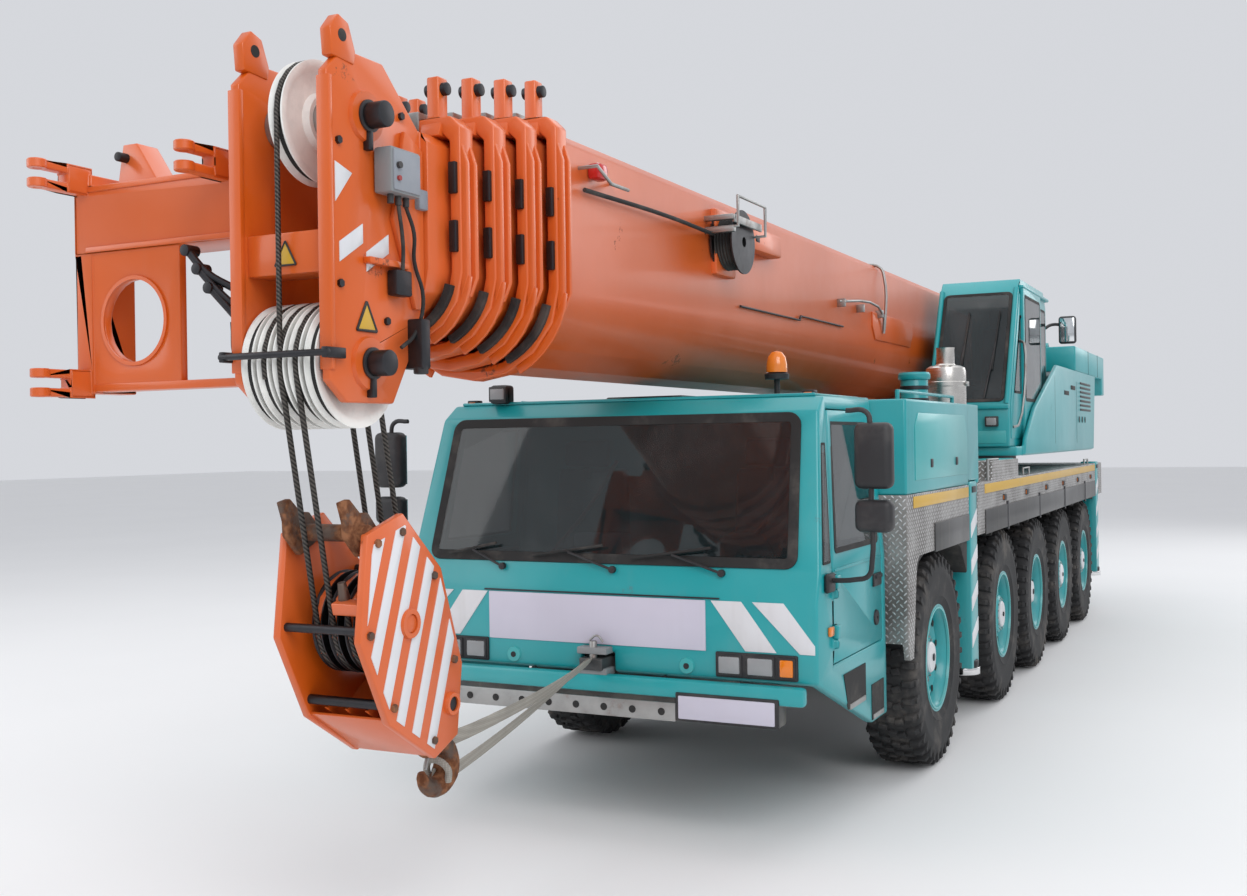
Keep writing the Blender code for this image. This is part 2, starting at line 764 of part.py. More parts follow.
def build_dashboard(finish):
    outline = [
        (CAB_WALL + 0.03, CAB_FLOOR + SEAT_GAP),
        (CAB_WALL + 0.03, 1.30),
        (0.13, 1.43),
        (0.36, 1.43),
        (0.42, 1.30),
        (0.30, 1.22),
        (0.22, CAB_FLOOR + SEAT_GAP),
    ]
    board = side_profile("dashboard", outline, (-1.16, 1.16))
    column = tube("dashboard_column", [(0.62, 0.30, 1.25), (0.62, 0.50, 1.42)], 0.03)
    rim = cylinder("dashboard_wheel", (0.62, 0.0, 0.0), 0.22, 0.03, "z", 20)
    tilt = Matrix.Rotation(math.radians(50), 4, "X")
    rim.matrix_world = Matrix.Translation((0.62, along(0.50), 1.43)) @ tilt
    return finish_part("cab_dashboard", [board, column, rim], finish)


def build_cab_seats(finish):
    """The driver's and the co-driver's seats on the plinth that carries both."""
    base = CAB_FLOOR + SEAT_GAP
    solids = [box("seats", (-0.95, 0.95), (0.86, 1.16), (base, 1.20))]
    for side_name, side in SIDES:
        seat_x = mirrored((0.37, 0.87), side)
        back = [(1.04, 1.28), (1.13, 1.95), (1.20, 1.95), (1.20, 1.28)]
        solids.append(box(f"seats_cushion_{side_name}", seat_x, (0.72, 1.19), (1.19, 1.36)))
        solids.append(side_profile(f"seats_back_{side_name}", back, seat_x))
    return finish_part("cab_seats", solids, finish)


# ---- outriggers ---------------------------------------------------------------------------
def build_outrigger(place, s_front, side_name, side, beam_finish, jack_finish, bodies):
    slot = outrigger_slots(s_front)[0 if side > 0 else 1]
    middle = (slot[0] + slot[1]) / 2
    depth = (middle - BEAM_DEPTH / 2, middle + BEAM_DEPTH / 2)
    outer = CARRIER_HALF_WIDTH
    column_x = mirrored((outer - COLUMN_WIDTH, outer), side)
    low, high = beam_height()
    name = f"outrigger_{place}_{side_name}"
    beam_body, jack_body = bodies
    beam_x = mirrored((-outer + COLUMN_WIDTH + 0.05, outer - 0.01), side)
    solids = [
        box(name, beam_x, depth, (low, high)),
        box(f"{name}_column", column_x, depth, (COLUMN_BOTTOM, COLUMN_TOP)),
    ]
    jack_x = side * (outer - COLUMN_WIDTH / 2)
    bore_top = 1.55
    bore = cylinder(
        f"{name}_bore",
        (jack_x, middle, (bore_top + COLUMN_BOTTOM - 0.1) / 2),
        JACK_RADIUS + 0.003,
        bore_top - COLUMN_BOTTOM + 0.1,
        "z",
        16,
    )
    finish_part(f"{name}_beam", solids, beam_finish, beam_body, cuts=[bore])
    rod_top = 1.50
    foot_top = COLUMN_BOTTOM - SEAT_GAP
    foot_bottom = foot_top - 0.05
    rod = cylinder(
        f"{name}_rod",
        (jack_x, middle, (rod_top + foot_bottom) / 2),
        JACK_RADIUS,
        rod_top - foot_bottom,
        "z",
        16,
    )
    foot = cylinder(
        f"{name}_foot",
        (jack_x, middle, (foot_top + foot_bottom) / 2),
        FOOT_RADIUS,
        foot_top - foot_bottom,
        "z",
        20,
    )
    return finish_part(f"{name}_jack", [rod, foot], jack_finish, jack_body)


# ---- superstructure -----------------------------------------------------------------------
def build_superstructure(finish, body):
    low, high = UPPER_FLOOR
    high -= SEAT_GAP
    inner = CHEEK_X
    outer = CHEEK_X + CHEEK_THICKNESS
    seat = WEIGHT_BOTTOM - SEAT_GAP
    cheek = [
        (6.02, low + 0.012),
        (6.02, 2.25),
        (8.6, 2.75),
        (9.9, 3.32),
        (10.55, 3.32),
        (10.72, seat),
        (10.72, low + 0.012),
    ]
    disc_bottom = RING_TOP + SEAT_GAP
    disc = cylinder(
        "upper",
        (0, SLEW_S, (disc_bottom + low + 0.02) / 2),
        RING_RADIUS + 0.08,
        low + 0.02 - disc_bottom,
        "z",
        32,
    )
    solids = [
        disc,
        box("upper_floor", (-outer, outer), (6.0, 10.75), (low, 2.0)),
        box("upper_deck_left", (outer - 0.02, COVER_X + 0.01), (5.35, 10.58), (low, high)),
        box("upper_deck_right", (-COVER_X - 0.01, -outer + 0.02), (6.4, 10.58), (low, high)),
        box("upper_beam", (-COVER_X - 0.01, COVER_X + 0.01), (10.60, 10.77), (2.55, seat - 0.006)),
    ]
    for side_name, side in SIDES:
        solids.append(side_profile(f"upper_cheek_{side_name}", cheek, mirrored((inner, outer), side)))
        cover_x = mirrored((COVER_X, COVER_X + COVER_THICKNESS), side)
        front = 5.6 if side > 0 else 6.5
        cover = [
            (front, low + 0.007),
            (front + 0.1, 2.10),
            (front + 0.6, 2.38),
            (front + 2.0, seat),
            (10.70, seat),
            (10.50, low + 0.007),
        ]
        solids.append(side_profile(f"upper_cover_{side_name}", cover, cover_x))
        lug_x = mirrored((0.20 + SEAT_GAP, 0.27), side)
        foot_s, foot_z = LIFT_FOOT
        lug = [(foot_s - 0.22, 1.97), (foot_s - 0.12, foot_z + 0.12), (foot_s + 0.12, foot_z + 0.12), (foot_s + 0.22, 1.97)]
        solids.append(side_profile(f"upper_lug_{side_name}", lug, lug_x))
    return finish_part("superstructure_frame", solids, finish, body)


def build_counterweight(finish, body):
    half = WEIGHT_HALF_WIDTH
    front, back = WEIGHT_S
    cut = WEIGHT_CHAMFER
    inner = CHEEK_X + CHEEK_THICKNESS + 0.07
    outline = [
        (-half, front),
        (-half, back - cut),
        (-half + cut, back),
        (half - cut, back),
        (half, back - cut),
        (half, front),
        (inner, front),
        (inner, WEIGHT_NOSE_S),
        (-inner, WEIGHT_NOSE_S),
        (-inner, front),
    ]
    lip = [
        (-half, TAIL_LIP_S),
        (-half, back - cut),
        (-half + cut, back),
        (half - cut, back),
        (half, back - cut),
        (half, TAIL_LIP_S),
    ]
    solids = [
        plan_profile("weight", outline, (WEIGHT_BOTTOM, WEIGHT_TOP)),
        plan_profile("weight_lip", lip, (TAIL_LIP_BOTTOM, WEIGHT_BOTTOM + 0.02)),
    ]
    return finish_part("counterweight", solids, finish, body)


def build_winch(finish, body):
    end = CHEEK_X - SEAT_GAP
    flange = WINCH_RADIUS
    profile = [
        (0.05, end),
        (flange, end),
        (flange, end - 0.03),
        (flange * 0.72, end - 0.03),
        (flange * 0.72, -end + 0.03),
        (flange, -end + 0.03),
        (flange, -end),
        (0.05, -end),
    ]
    drum = turned("winch", profile, (0.0, WINCH_S, WINCH_Z), steps=24)
    return finish_part("main_winch", [drum], finish, body)


def build_crane_cab(finish, body):
    x0, x1 = CRANE_CAB_X
    s0, s1 = CRANE_CAB_S
    base = UPPER_FLOOR[1]
    roof = CRANE_CAB_ROOF
    wall = CRANE_CAB_WALL
    outline = [
        (s0, base),
        (s0, 2.39),
        (s0 + 0.55, roof - 0.10),
        (s0 + 0.65, roof),
        (s1 - 0.15, roof),
        (s1, roof - 0.15),
        (s1, base),
    ]
    room = [
        (s0 + wall, base + wall),
        (s0 + wall, 2.38),
        (s0 + 0.55 + wall, roof - 0.11),
        (s0 + 0.65 + wall / 2, roof - wall),
        (s1 - 0.16, roof - wall),
        (s1 - wall, roof - 0.16),
        (s1 - wall, base + wall),
    ]
    shell = side_profile("crane_cab", outline, (x0, x1))
    rail = box("crane_cab_rail", (x1 - 0.01, x1 + 0.036), (CRANE_DOOR_S[0], s1 - 0.02), (3.46, 3.49))
    cuts = [
        side_profile("crane_cab_room", room, (x0 + wall, x1 - wall)),
        side_profile(
            "crane_cab_screen",
            [(s0 - 0.3, 2.45), (s0 + 0.10, 2.45), (s0 + 0.56, 3.37), (s0 - 0.3, 3.37)],
            (x0 + 0.08, x1 - 0.08),
        ),
        box("crane_cab_doorway", (x1 - 0.1, x1 + 0.004), (5.96, 6.79), (2.13, 3.41)),
        box("crane_cab_side_rear", (x1 - 0.1, x1 + 0.1), (6.93, 7.30), (2.62, 3.34)),
        box("crane_cab_side_inner", (x0 - 0.1, x0 + 0.1), (6.05, 7.25), (2.70, 3.34)),
        box("crane_cab_roof_light", (x0 + 0.1, x1 - 0.1), (6.10, 6.90), (roof - 0.1, roof + 0.1)),
    ]
    return finish_part("crane_cab", [shell, rail], finish, body, cuts=cuts)


def build_crane_door(finish, body):
    x0 = CRANE_CAB_X[1] + RUN_GAP
    panel = box("crane_door", (x0, x0 + CRANE_DOOR_THICKNESS), CRANE_DOOR_S, (2.08, 3.46 - SEAT_GAP))
    hole = box("crane_door_window", (x0 - 0.1, x0 + 0.1), (5.97, 6.78), (2.46, 3.38))
    return finish_part("crane_cab_door", [panel], finish, body, cuts=[hole])


def build_crane_seat(finish, body):
    x = (0.70, 1.12)
    base = UPPER_FLOOR[1] + CRANE_CAB_WALL + SEAT_GAP
    back = [(6.92, 2.52), (7.05, 3.20), (7.14, 3.20), (7.10, 2.52)]
    solids = [
        box("crane_seat", x, (6.48, 7.06), (2.42, 2.58)),
        box("crane_seat_post", (0.80, 1.02), (6.62, 6.95), (base, 2.44)),
        side_profile("crane_seat_back", back, x),
    ]
    return finish_part("crane_seat", solids, finish, body)


# ---- lift cylinder ------------------------------------------------------------------------
def lift_matrix():
    """Local X along the cylinder, from its foot to its eye."""
    foot = Vector((0.0, along(LIFT_FOOT[0]), LIFT_FOOT[1]))
    eye = Vector((0.0, along(LIFT_EYE[0]), LIFT_EYE[1]))
    turn = (eye - foot).to_track_quat("X", "Z").to_matrix().to_4x4()
    return Matrix.Translation(foot) @ turn, (eye - foot).length


def bar_on(matrix, name, start, end, radius, segments=20):
    """A round bar along the local X axis of `matrix`."""
    obj = cylinder(name, (0, 0, 0), radius, end - start, "x", segments)
    obj.matrix_world = matrix @ Matrix.Translation(((start + end) / 2, 0, 0)) @ AXIS_TURNS["x"]
    return obj


def build_lift(barrel_finish, rod_finish, barrel_body, rod_body):
    matrix, length = lift_matrix()
    foot_s, foot_z = LIFT_FOOT
    eye_s, eye_z = LIFT_EYE
    barrel = bar_on(matrix, "lift_barrel", 0.0, LIFT_BARREL_LENGTH, LIFT_BARREL_RADIUS)
    gland = bar_on(matrix, "lift_gland", LIFT_BARREL_LENGTH - 0.12, LIFT_BARREL_LENGTH + 0.02, 0.13)
    foot = cylinder("lift_foot", (0, foot_s, foot_z), 0.12, 0.40, "x", 20)
    bore = bar_on(matrix, "lift_bore", 0.2, LIFT_BARREL_LENGTH + 0.2, LIFT_ROD_RADIUS + 0.0035)
    finish_part("lift_cylinder_barrel", [barrel, gland, foot], barrel_finish, barrel_body, cuts=[bore])
    rod = bar_on(matrix, "lift_rod", length - LIFT_ROD_LENGTH, length, LIFT_ROD_RADIUS)
    eye = cylinder("lift_eye", (0, eye_s, eye_z), 0.09, 0.20 - 2 * SEAT_GAP, "x", 20)
    return finish_part("lift_cylinder_rod", [rod, eye], rod_finish, rod_body)


# ---- boom ---------------------------------------------------------------------------------
def boom_section_outline(inset, extra=0.0):
    """The (x, z) outline of a section: upright sides, chamfered top, rounded belly."""
    half = BOOM_HALF_WIDTH - inset + extra
    top = BOOM_TOP - inset + extra
    bottom = BOOM_BOTTOM + inset - extra
    shoulder = 0.05
    belly = bottom + half * 0.86
    points = [(-half, top - shoulder), (-half + shoulder, top), (half - shoulder, top), (half, top - shoulder)]
    steps = 8
    for i in range(steps + 1):
        angle = math.pi * i / steps
        points.append((half * math.cos(angle), belly - (belly - bottom) * math.sin(angle)))
    return points


def collar(name, inset, front):
    """The thick frame round a section's mouth, with the pair of ears on its top."""
    ring = front_profile(name, boom_section_outline(inset, COLLAR_RISE), (front, front + COLLAR_DEPTH))
    ears = []
    for side_name, side in SIDES:
        ear_x = mirrored((0.29 - inset, 0.35 - inset), side)
        ears.append(box(f"{name}_ear_{side_name}", ear_x, (front + 0.01, front + 0.08), (BOOM_TOP - inset, BOOM_TOP + 0.215 - inset)))
    return [ring, *ears]


def wear_pads(name, inset, front):
    """Blocks in a section's mouth that the next section slides on, under and over it."""
    outer = inset + BOOM_WALL - 0.004
    inner = inset + SECTION_STEP - SEAT_GAP
    s = (front + 0.01, front + COLLAR_DEPTH - 0.01)
    below = (BOOM_BOTTOM + outer, BOOM_BOTTOM + inner)
    above = (BOOM_TOP - inner, BOOM_TOP - outer)
    return [
        box(f"{name}_pad_low", (-0.10, 0.10), s, below),
        box(f"{name}_pad_high_left", (0.12, 0.20), s, above),
        box(f"{name}_pad_high_right", (-0.20, -0.12), s, above),
    ]


def build_boom_base(finish, body):
    name = "boom_base_section"
    s = (COLLAR_FRONT, BOOM_BACK)
    outer = front_profile(name, boom_section_outline(0.0), s)
    foot_s, foot_z = FOOT_PIN
    eye_s, eye_z = LIFT_EYE
    solids = [outer, *collar(f"{name}_collar", 0.0, COLLAR_FRONT)]
    solids.append(cylinder(f"{name}_foot", (0, foot_s, foot_z), 0.16, 2 * (CHEEK_X - SEAT_GAP), "x", 24))
    tail = [(9.9, BOOM_TOP + 0.1), (9.9, BOOM_TOP), (BOOM_BACK, 3.20), (BOOM_BACK + 0.1, 3.20), (BOOM_BACK + 0.1, BOOM_TOP + 0.1)]
    tail_cut = side_profile(f"{name}_tail", tail, (-0.6, 0.6))
    for side_name, side in SIDES:
        lug = [
            (eye_s - 0.35, BOOM_BOTTOM + 0.06),
            (eye_s - 0.12, eye_z - 0.10),
            (eye_s + 0.12, eye_z - 0.10),
            (eye_s + 0.35, BOOM_BOTTOM + 0.06),
        ]
        lug_x = mirrored((0.10, 0.16), side)
        solids.append(side_profile(f"{name}_lug_{side_name}", lug, lug_x))
    part = finish_part(name, solids, finish, body)
    inset = BOOM_WALL
    hollow = front_profile(f"{name}_bore", boom_section_outline(inset), (COLLAR_FRONT - 0.1, 9.85))
    add_boolean(part, hollow, "DIFFERENCE")
    add_boolean(part, tail_cut, "DIFFERENCE")
    for pad in wear_pads(name, 0.0, COLLAR_FRONT):
        add_boolean(part, pad, "UNION")
    return part


def build_boom_section(number, finish, body):
    name = f"boom_section_{number}"
    inset = SECTION_STEP * number
    front = COLLAR_FRONT - COLLAR_PITCH * number
    back = 9.80 - SECTION_BACK_STEP * number
    if number == SECTION_COUNT:
        front = COLLAR_FRONT - COLLAR_PITCH * (number - 1) - 0.12
    outer = front_profile(name, boom_section_outline(inset), (front, back))
    solids = [outer]
    if number < SECTION_COUNT:
        solids.extend(collar(f"{name}_collar", inset, front))
        hollow_front = front - 0.1
    else:
        solids.extend(head_solids())
        hollow_front = front + 0.05
    part = finish_part(name, solids, finish, body)
    inside = boom_section_outline(inset + BOOM_WALL)
    hollow = front_profile(f"{name}_bore", inside, (hollow_front, back + 0.1))
    add_boolean(part, hollow, "DIFFERENCE")
    if number < SECTION_COUNT:
        for pad in wear_pads(name, inset, front):
            add_boolean(part, pad, "UNION")
    return part


def head_solids():
    """The two cheek plates of the boom head and what ties them together."""
    tail = COLLAR_FRONT - COLLAR_PITCH * (SECTION_COUNT - 1) - 0.10
    plate = [
        (HEAD_FRONT, 2.36),
        (HEAD_FRONT, 3.50),
        (HEAD_FRONT + 0.10, 3.60),
        (HEAD_FRONT + 0.34, 3.60),
        (tail, 3.36),
        (tail, 2.64),
        (HEAD_FRONT + 0.38, 2.28),
        (HEAD_FRONT + 0.10, 2.28),
    ]
    solids = []
    inner = HEAD_PLATE_X
    outer = inner + HEAD_PLATE_THICKNESS
    for side_name, side in SIDES:
        solids.append(side_profile(f"head_plate_{side_name}", plate, mirrored((inner, outer), side)))
    top = TOP_PIN[1] - TOP_SHEAVE_RADIUS - 0.07
    solids.append(box("head_box", (-inner - 0.01, inner + 0.01), (HEAD_FRONT + 0.46, tail + 0.02), (2.80, top)))
    solids.append(cylinder("head_pin_low", (0, *LOWER_PIN), 0.045, 2 * outer + 0.10, "x", 16))
    solids.append(cylinder("head_pin_top", (0, *TOP_PIN), 0.05, 2 * outer + 0.10, "x", 16))
    return solids


def sheave_profile(radius, x, width):
    return [(radius, x + width / 2), (radius, x - width / 2)]


def build_lower_sheaves(finish, body):
    """Five grooved sheaves side by side on one bushed tube round the pin."""
    bore = 0.045 + 0.005
    hub = 0.09
    width = 0.052
    middle = (SHEAVE_COUNT - 1) / 2
    end = HEAD_PLATE_X - SEAT_GAP
    profile = [(bore, end), (hub, end)]
    for index in range(SHEAVE_COUNT):
        x = (middle - index) * SHEAVE_PITCH
        rim = sheave_profile(LOWER_SHEAVE_RADIUS, x, width)
        profile.append((hub, x + width / 2))
        profile.extend(rim)
        profile.append((hub, x - width / 2))
    profile.extend([(hub, -end), (bore, -end)])
    sheaves = turned("lower_sheaves", profile, (0.0, *LOWER_PIN), steps=16)
    return finish_part("head_sheaves", [sheaves], finish, body)


def build_top_sheave(finish, body):
    bore = 0.05 + 0.005
    hub = 0.09
    width = 0.07
    end = HEAD_PLATE_X - SEAT_GAP
    profile = [(bore, end), (hub, end), (hub, width / 2)]
    profile.extend(sheave_profile(TOP_SHEAVE_RADIUS, 0.0, width))
    profile.extend([(hub, -width / 2), (hub, -end), (bore, -end)])
    sheave = turned("top_sheave", profile, (0.0, *TOP_PIN), steps=16)
    return finish_part("top_sheave", [sheave], finish, body)


def build_jib_adapter(finish, body):
    """The frame on the head's right cheek that a lattice jib is pinned to, forks forward."""
    x0, x1 = ADAPTER_X
    s0, s1 = ADAPTER_S
    z0, z1 = ADAPTER_Z
    solids = [
        box("adapter", (x0 + 0.004, x1), (s0, s1), (2.96, 3.25)),
        box("adapter_post", (x0, x0 + 0.10), (s0 + 0.002, s1 - 0.003), (z0, z1)),
        box("adapter_web", (x0 + 0.006, -0.72), (s0 + 0.005, s0 + 0.045), (z0 + 0.007, 3.0)),
    ]
    hole = cylinder("adapter_hole", (-0.98, s0, 2.66), 0.175, 0.4, "y", 24)
    fork_places = ((x0 + 0.05, z1 - 0.03), (x0 + 0.05, z0 + 0.04), (-0.45, z1 - 0.05))
    for number, (x, z) in enumerate(fork_places, 1):
        for part, offset in (("upper", 0.04), ("lower", -0.04)):
            tine_z = (z + offset - 0.018, z + offset + 0.018)
            solids.append(box(f"adapter_tine_{number}_{part}", (x - 0.03, x + 0.03), (s0 - 0.24, s0 + 0.026), tine_z))
        solids.append(box(f"adapter_root_{number}", (x - 0.035, x + 0.035), (s0 - 0.10, s0 + 0.02), (z - 0.055, z + 0.055)))
    lug = [(-1.12, 3.22), (-1.08, 3.42), (-1.00, 3.42), (-0.86, 3.22)]
    solids.append(front_profile("adapter_lug", lug, (s0 + 0.05, s0 + 0.17)))
    return finish_part("jib_adapter", solids, finish, body, cuts=[hole])


# ---- hook block ---------------------------------------------------------------------------
def hung_matrix(tilt):
    """Frame with its origin on the block's sheave pin, X across, Z up a leaning line."""
    lean = math.radians(ROPE_TILT)
    s = LOWER_PIN[0] + BLOCK_DROP * math.sin(lean)
    z = LOWER_PIN[1] - BLOCK_DROP * math.cos(lean)
    return Matrix.Translation((0.0, along(s), z)) @ Matrix.Rotation(math.radians(tilt), 4, "X")


def hang(obj, tilt=BLOCK_TILT):
    """Move a solid drawn upright about the origin onto the leaning block, or its rope."""
    bpy.context.view_layer.update()
    obj.matrix_world = hung_matrix(tilt) @ Matrix.Translation((0, -along(0.0), 0)) @ obj.matrix_world
    return obj


def build_hook_block(finish, body):
    plate = [(-0.006, 0.451), (0.224, 0.382), (0.304, 0.038), (0.193, -0.389), (-0.007, -0.612), (-0.183, -0.574), (-0.326, -0.237), (-0.277, 0.141)]
    solids = []
    for side_name, side in SIDES:
        plate_x = mirrored((BLOCK_PLATE_X, BLOCK_PLATE_X + BLOCK_PLATE_THICKNESS), side)
        solids.append(hang(side_profile(f"block_plate_{side_name}", plate, plate_x)))
    inner = BLOCK_PLATE_X + 0.01
    solids.append(hang(box("block_foot", (-inner, inner), (-0.11, 0.07), (-0.58, -0.36))))
    solids.append(hang(cylinder("block_pin", (0, 0, 0), 0.05, 2 * inner)))
    becket_z = (ROPE_END + SEAT_GAP, ROPE_END + 0.05)
    lay = rope_line_radius(BLOCK_SHEAVE_RADIUS)
    becket = box("block_becket", (0.05, inner), (-lay - 0.03, -lay + 0.03), becket_z)
    solids.append(hang(becket, ROPE_TILT))
    for index in (-1, 0, 1):
        sheave = cylinder(f"block_sheave_{index}", (index * 0.08, 0, 0), BLOCK_SHEAVE_RADIUS, 0.045, "x", 16)
        solids.append(hang(sheave))
    bore = hang(cylinder("block_bore", (0, 0, -0.5), 0.035, 0.5, "z", 16))
    return finish_part("hook_block", solids, finish, body, cuts=[bore])


def build_hook(finish, body):
    """A single hook with its shank in the block's foot."""
    shank = hang(cylinder("hook_shank", (0, 0, -0.54), 0.032, 0.30, "z", 16))
    collar_ring = hang(cylinder("hook_collar", (0, 0, -0.595 - SEAT_GAP), 0.06, 0.03, "z", 16))
    centre_z = -0.83
    radius = 0.10
    route = [(0.0, 0.0, -0.62), (0.0, 0.0, -0.70)]
    for i in range(10):
        angle = math.radians(60 - i * 30)
        route.append((0.0, radius * math.cos(angle), centre_z + radius * math.sin(angle)))
    crook = tube("hook_crook", route, 0.032, resolution=1)
    crook = hang(crook)
    return finish_part("hook", [shank, collar_ring, crook], finish, body)


def rope_route():
    """The rope's falls between the head sheaves and the block, as one zigzag line.

    Worked out upright about the block's pin, in (x, s, z), with the head pin above it.
    """
    top_r = rope_line_radius(LOWER_SHEAVE_RADIUS)
    low_r = rope_line_radius(BLOCK_SHEAVE_RADIUS)
    lanes = (-0.08, 0.0, 0.08)
    steps = ROPE_ARC_STEPS
    points = []
    for index, x in enumerate(lanes):
        top_x = (index - 1) * SHEAVE_PITCH
        for i in range(steps + 1):
            angle = math.pi * i / steps
            points.append((top_x, -top_r * math.cos(angle), BLOCK_DROP + top_r * math.sin(angle)))
        for i in range(steps + 1):
            angle = math.pi * i / steps
            points.append((x, low_r * math.cos(angle), -low_r * math.sin(angle)))
    points.append((lanes[-1], -low_r, ROPE_END))
    return points


def build_rope(finish, body):
    rope = tube("rope", rope_route(), ROPE_RADIUS, resolution=1)
    return finish_part("hoist_rope", [hang(rope, ROPE_TILT)], finish, body)


# ---- assembly -----------------------------------------------------------------------------
def build():
    clear_scene()
    teal = make_material("teal_paint", (0.0, 0.33, 0.37), 0.30)
    orange = make_material("orange_paint", (0.82, 0.17, 0.02), 0.32)
    frame_grey = make_material("frame_grey", (0.05, 0.06, 0.065), 0.55)
    chequer = make_material("chequer_plate", (0.55, 0.55, 0.56), 0.35, 0.9)
    rubber = make_material("tyre_rubber", (0.02, 0.02, 0.02), 0.85)
    black = make_material("black_plastic", (0.02, 0.02, 0.025), 0.5)
    steel = make_material("bare_steel", (0.5, 0.5, 0.5), 0.3, 1.0)
    chrome = make_material("chrome_rod", (0.8, 0.8, 0.8), 0.08, 1.0)
    cloth = make_material("seat_cloth", (0.06, 0.07, 0.10), 0.9)
    nylon = make_material("sheave_nylon", (0.75, 0.75, 0.72), 0.5)
    iron = make_material("engine_iron", (0.15, 0.15, 0.15), 0.6)
    rope_steel = make_material("rope_steel", (0.08, 0.08, 0.08), 0.6, 0.6)

    build_chassis(frame_grey)
    build_deck(chequer)
    build_hood(teal)
    build_engine(iron)
    build_silencer(steel)
    build_cab(teal)
    build_dashboard(black)
    build_cab_seats(cloth)

    for number, s in enumerate(AXLE_S, 1):
        build_axle(number, frame_grey)
        for side_name, side in SIDES:
            carrier = None
            if number in STEERED:
                carrier = pivot(f"steer_{number}_{side_name}", side * KINGPIN_X, s, TYRE_RADIUS)
                build_knuckle(number, side_name, side, frame_grey, carrier)
            hub = pivot(f"hub_{number}_{side_name}", side * WHEEL_X, s, TYRE_RADIUS, carrier)
            build_wheel(number, side_name, side, rubber, hub)

    for side_name, side in SIDES:
        build_mirror(side_name, side, black)
        hinge = pivot(f"door_hinge_{side_name}", side * HINGE_X, HINGE_S, 1.6)
        build_cab_door(side_name, side, teal, hinge)
        for place, s_front in zip(("front", "rear"), OUTRIGGER_S):
            s = s_front + OUTRIGGER_DEPTH / 2
            beam = pivot(f"beam_{place}_{side_name}", side * 1.2, s, 1.13)
            jack = pivot(f"jack_{place}_{side_name}", side * 1.29, s, 1.0, beam)
            build_outrigger(place, s_front, side_name, side, teal, chrome, (beam, jack))

    slew = pivot("slew_axis", 0, SLEW_S, RING_TOP)
    build_superstructure(teal, slew)
    build_counterweight(teal, slew)
    build_crane_cab(teal, slew)
    build_crane_seat(cloth, slew)
    build_crane_door(teal, pivot("crane_door_slide", CRANE_CAB_X[1], CRANE_DOOR_S[0], 3.46, slew))
    build_winch(frame_grey, pivot("winch_axis", 0, WINCH_S, WINCH_Z, slew))

    barrel = pivot("lift_foot_axis", 0, *LIFT_FOOT, slew)
    rod = pivot("lift_rod_slide", 0, *LIFT_EYE, barrel)
    build_lift(orange, chrome, barrel, rod)

    luff = pivot("luff_axis", 0, *FOOT_PIN, slew)
    build_boom_base(orange, luff)
    carried = luff
    for number in range(1, SECTION_COUNT + 1):
        place = COLLAR_FRONT - COLLAR_PITCH * number
        carried = pivot(f"telescope_{number}", 0, place, 3.0, carried)
        build_boom_section(number, orange, carried)
    build_jib_adapter(orange, carried)
    build_lower_sheaves(nylon, pivot("lower_sheave_axis", 0, *LOWER_PIN, carried))
    build_top_sheave(nylon, pivot("top_sheave_axis", 0, *TOP_PIN, carried))
    swing = pivot("block_swing", 0, *LOWER_PIN, carried)
    build_hook_block(orange, swing)
    build_rope(rope_steel, swing)
    swivel = pivot("hook_swivel", 0, 0, 0, None)
    swivel.matrix_world = hung_matrix(BLOCK_TILT)
    bpy.context.view_layer.update()
    build_hook(iron, swivel)

    for obj in bpy.data.collections[PARTS].objects:
        if obj.type == "MESH":
            obj.data.shade_smooth()
            obj.data.set_sharp_from_angle(angle=math.radians(35))


build()
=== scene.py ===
"""Looks of a five-axle mobile crane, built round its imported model.

Each sub-assembly is a class with its main sizes as fields. Distances along the crane are `s`,
measured back from the carrier cab's front face, and become Y through `Workshop.y`.
"""

from __future__ import annotations

import json
import logging
import math
from dataclasses import dataclass, field
from enum import Enum

import bpy
from mathutils import Matrix, Vector

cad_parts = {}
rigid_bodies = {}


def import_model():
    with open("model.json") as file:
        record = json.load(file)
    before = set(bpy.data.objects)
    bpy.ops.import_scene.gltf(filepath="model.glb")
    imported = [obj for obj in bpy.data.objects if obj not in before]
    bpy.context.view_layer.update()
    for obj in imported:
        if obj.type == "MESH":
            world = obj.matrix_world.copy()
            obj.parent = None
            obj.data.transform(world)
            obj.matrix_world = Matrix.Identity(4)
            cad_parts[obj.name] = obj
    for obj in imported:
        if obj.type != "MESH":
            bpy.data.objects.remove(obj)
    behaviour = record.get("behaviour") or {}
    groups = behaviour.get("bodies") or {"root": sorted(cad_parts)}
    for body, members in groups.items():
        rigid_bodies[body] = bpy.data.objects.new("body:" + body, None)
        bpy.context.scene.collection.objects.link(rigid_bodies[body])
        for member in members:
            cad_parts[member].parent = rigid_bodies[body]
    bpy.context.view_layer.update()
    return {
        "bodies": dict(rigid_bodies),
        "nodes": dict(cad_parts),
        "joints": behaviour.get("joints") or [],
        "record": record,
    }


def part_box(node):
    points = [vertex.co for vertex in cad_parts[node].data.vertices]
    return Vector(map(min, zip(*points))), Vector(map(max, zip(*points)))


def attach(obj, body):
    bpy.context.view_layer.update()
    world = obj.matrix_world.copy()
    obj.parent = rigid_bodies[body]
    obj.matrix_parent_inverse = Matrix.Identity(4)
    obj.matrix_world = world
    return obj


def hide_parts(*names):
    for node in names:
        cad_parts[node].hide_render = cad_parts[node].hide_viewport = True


LOG = logging.getLogger("mobile_crane")
Point = tuple[float, float, float]
Pair = tuple[float, float]
Colour = tuple[float, float, float]
SIDES = ((1, "left"), (-1, "right"))


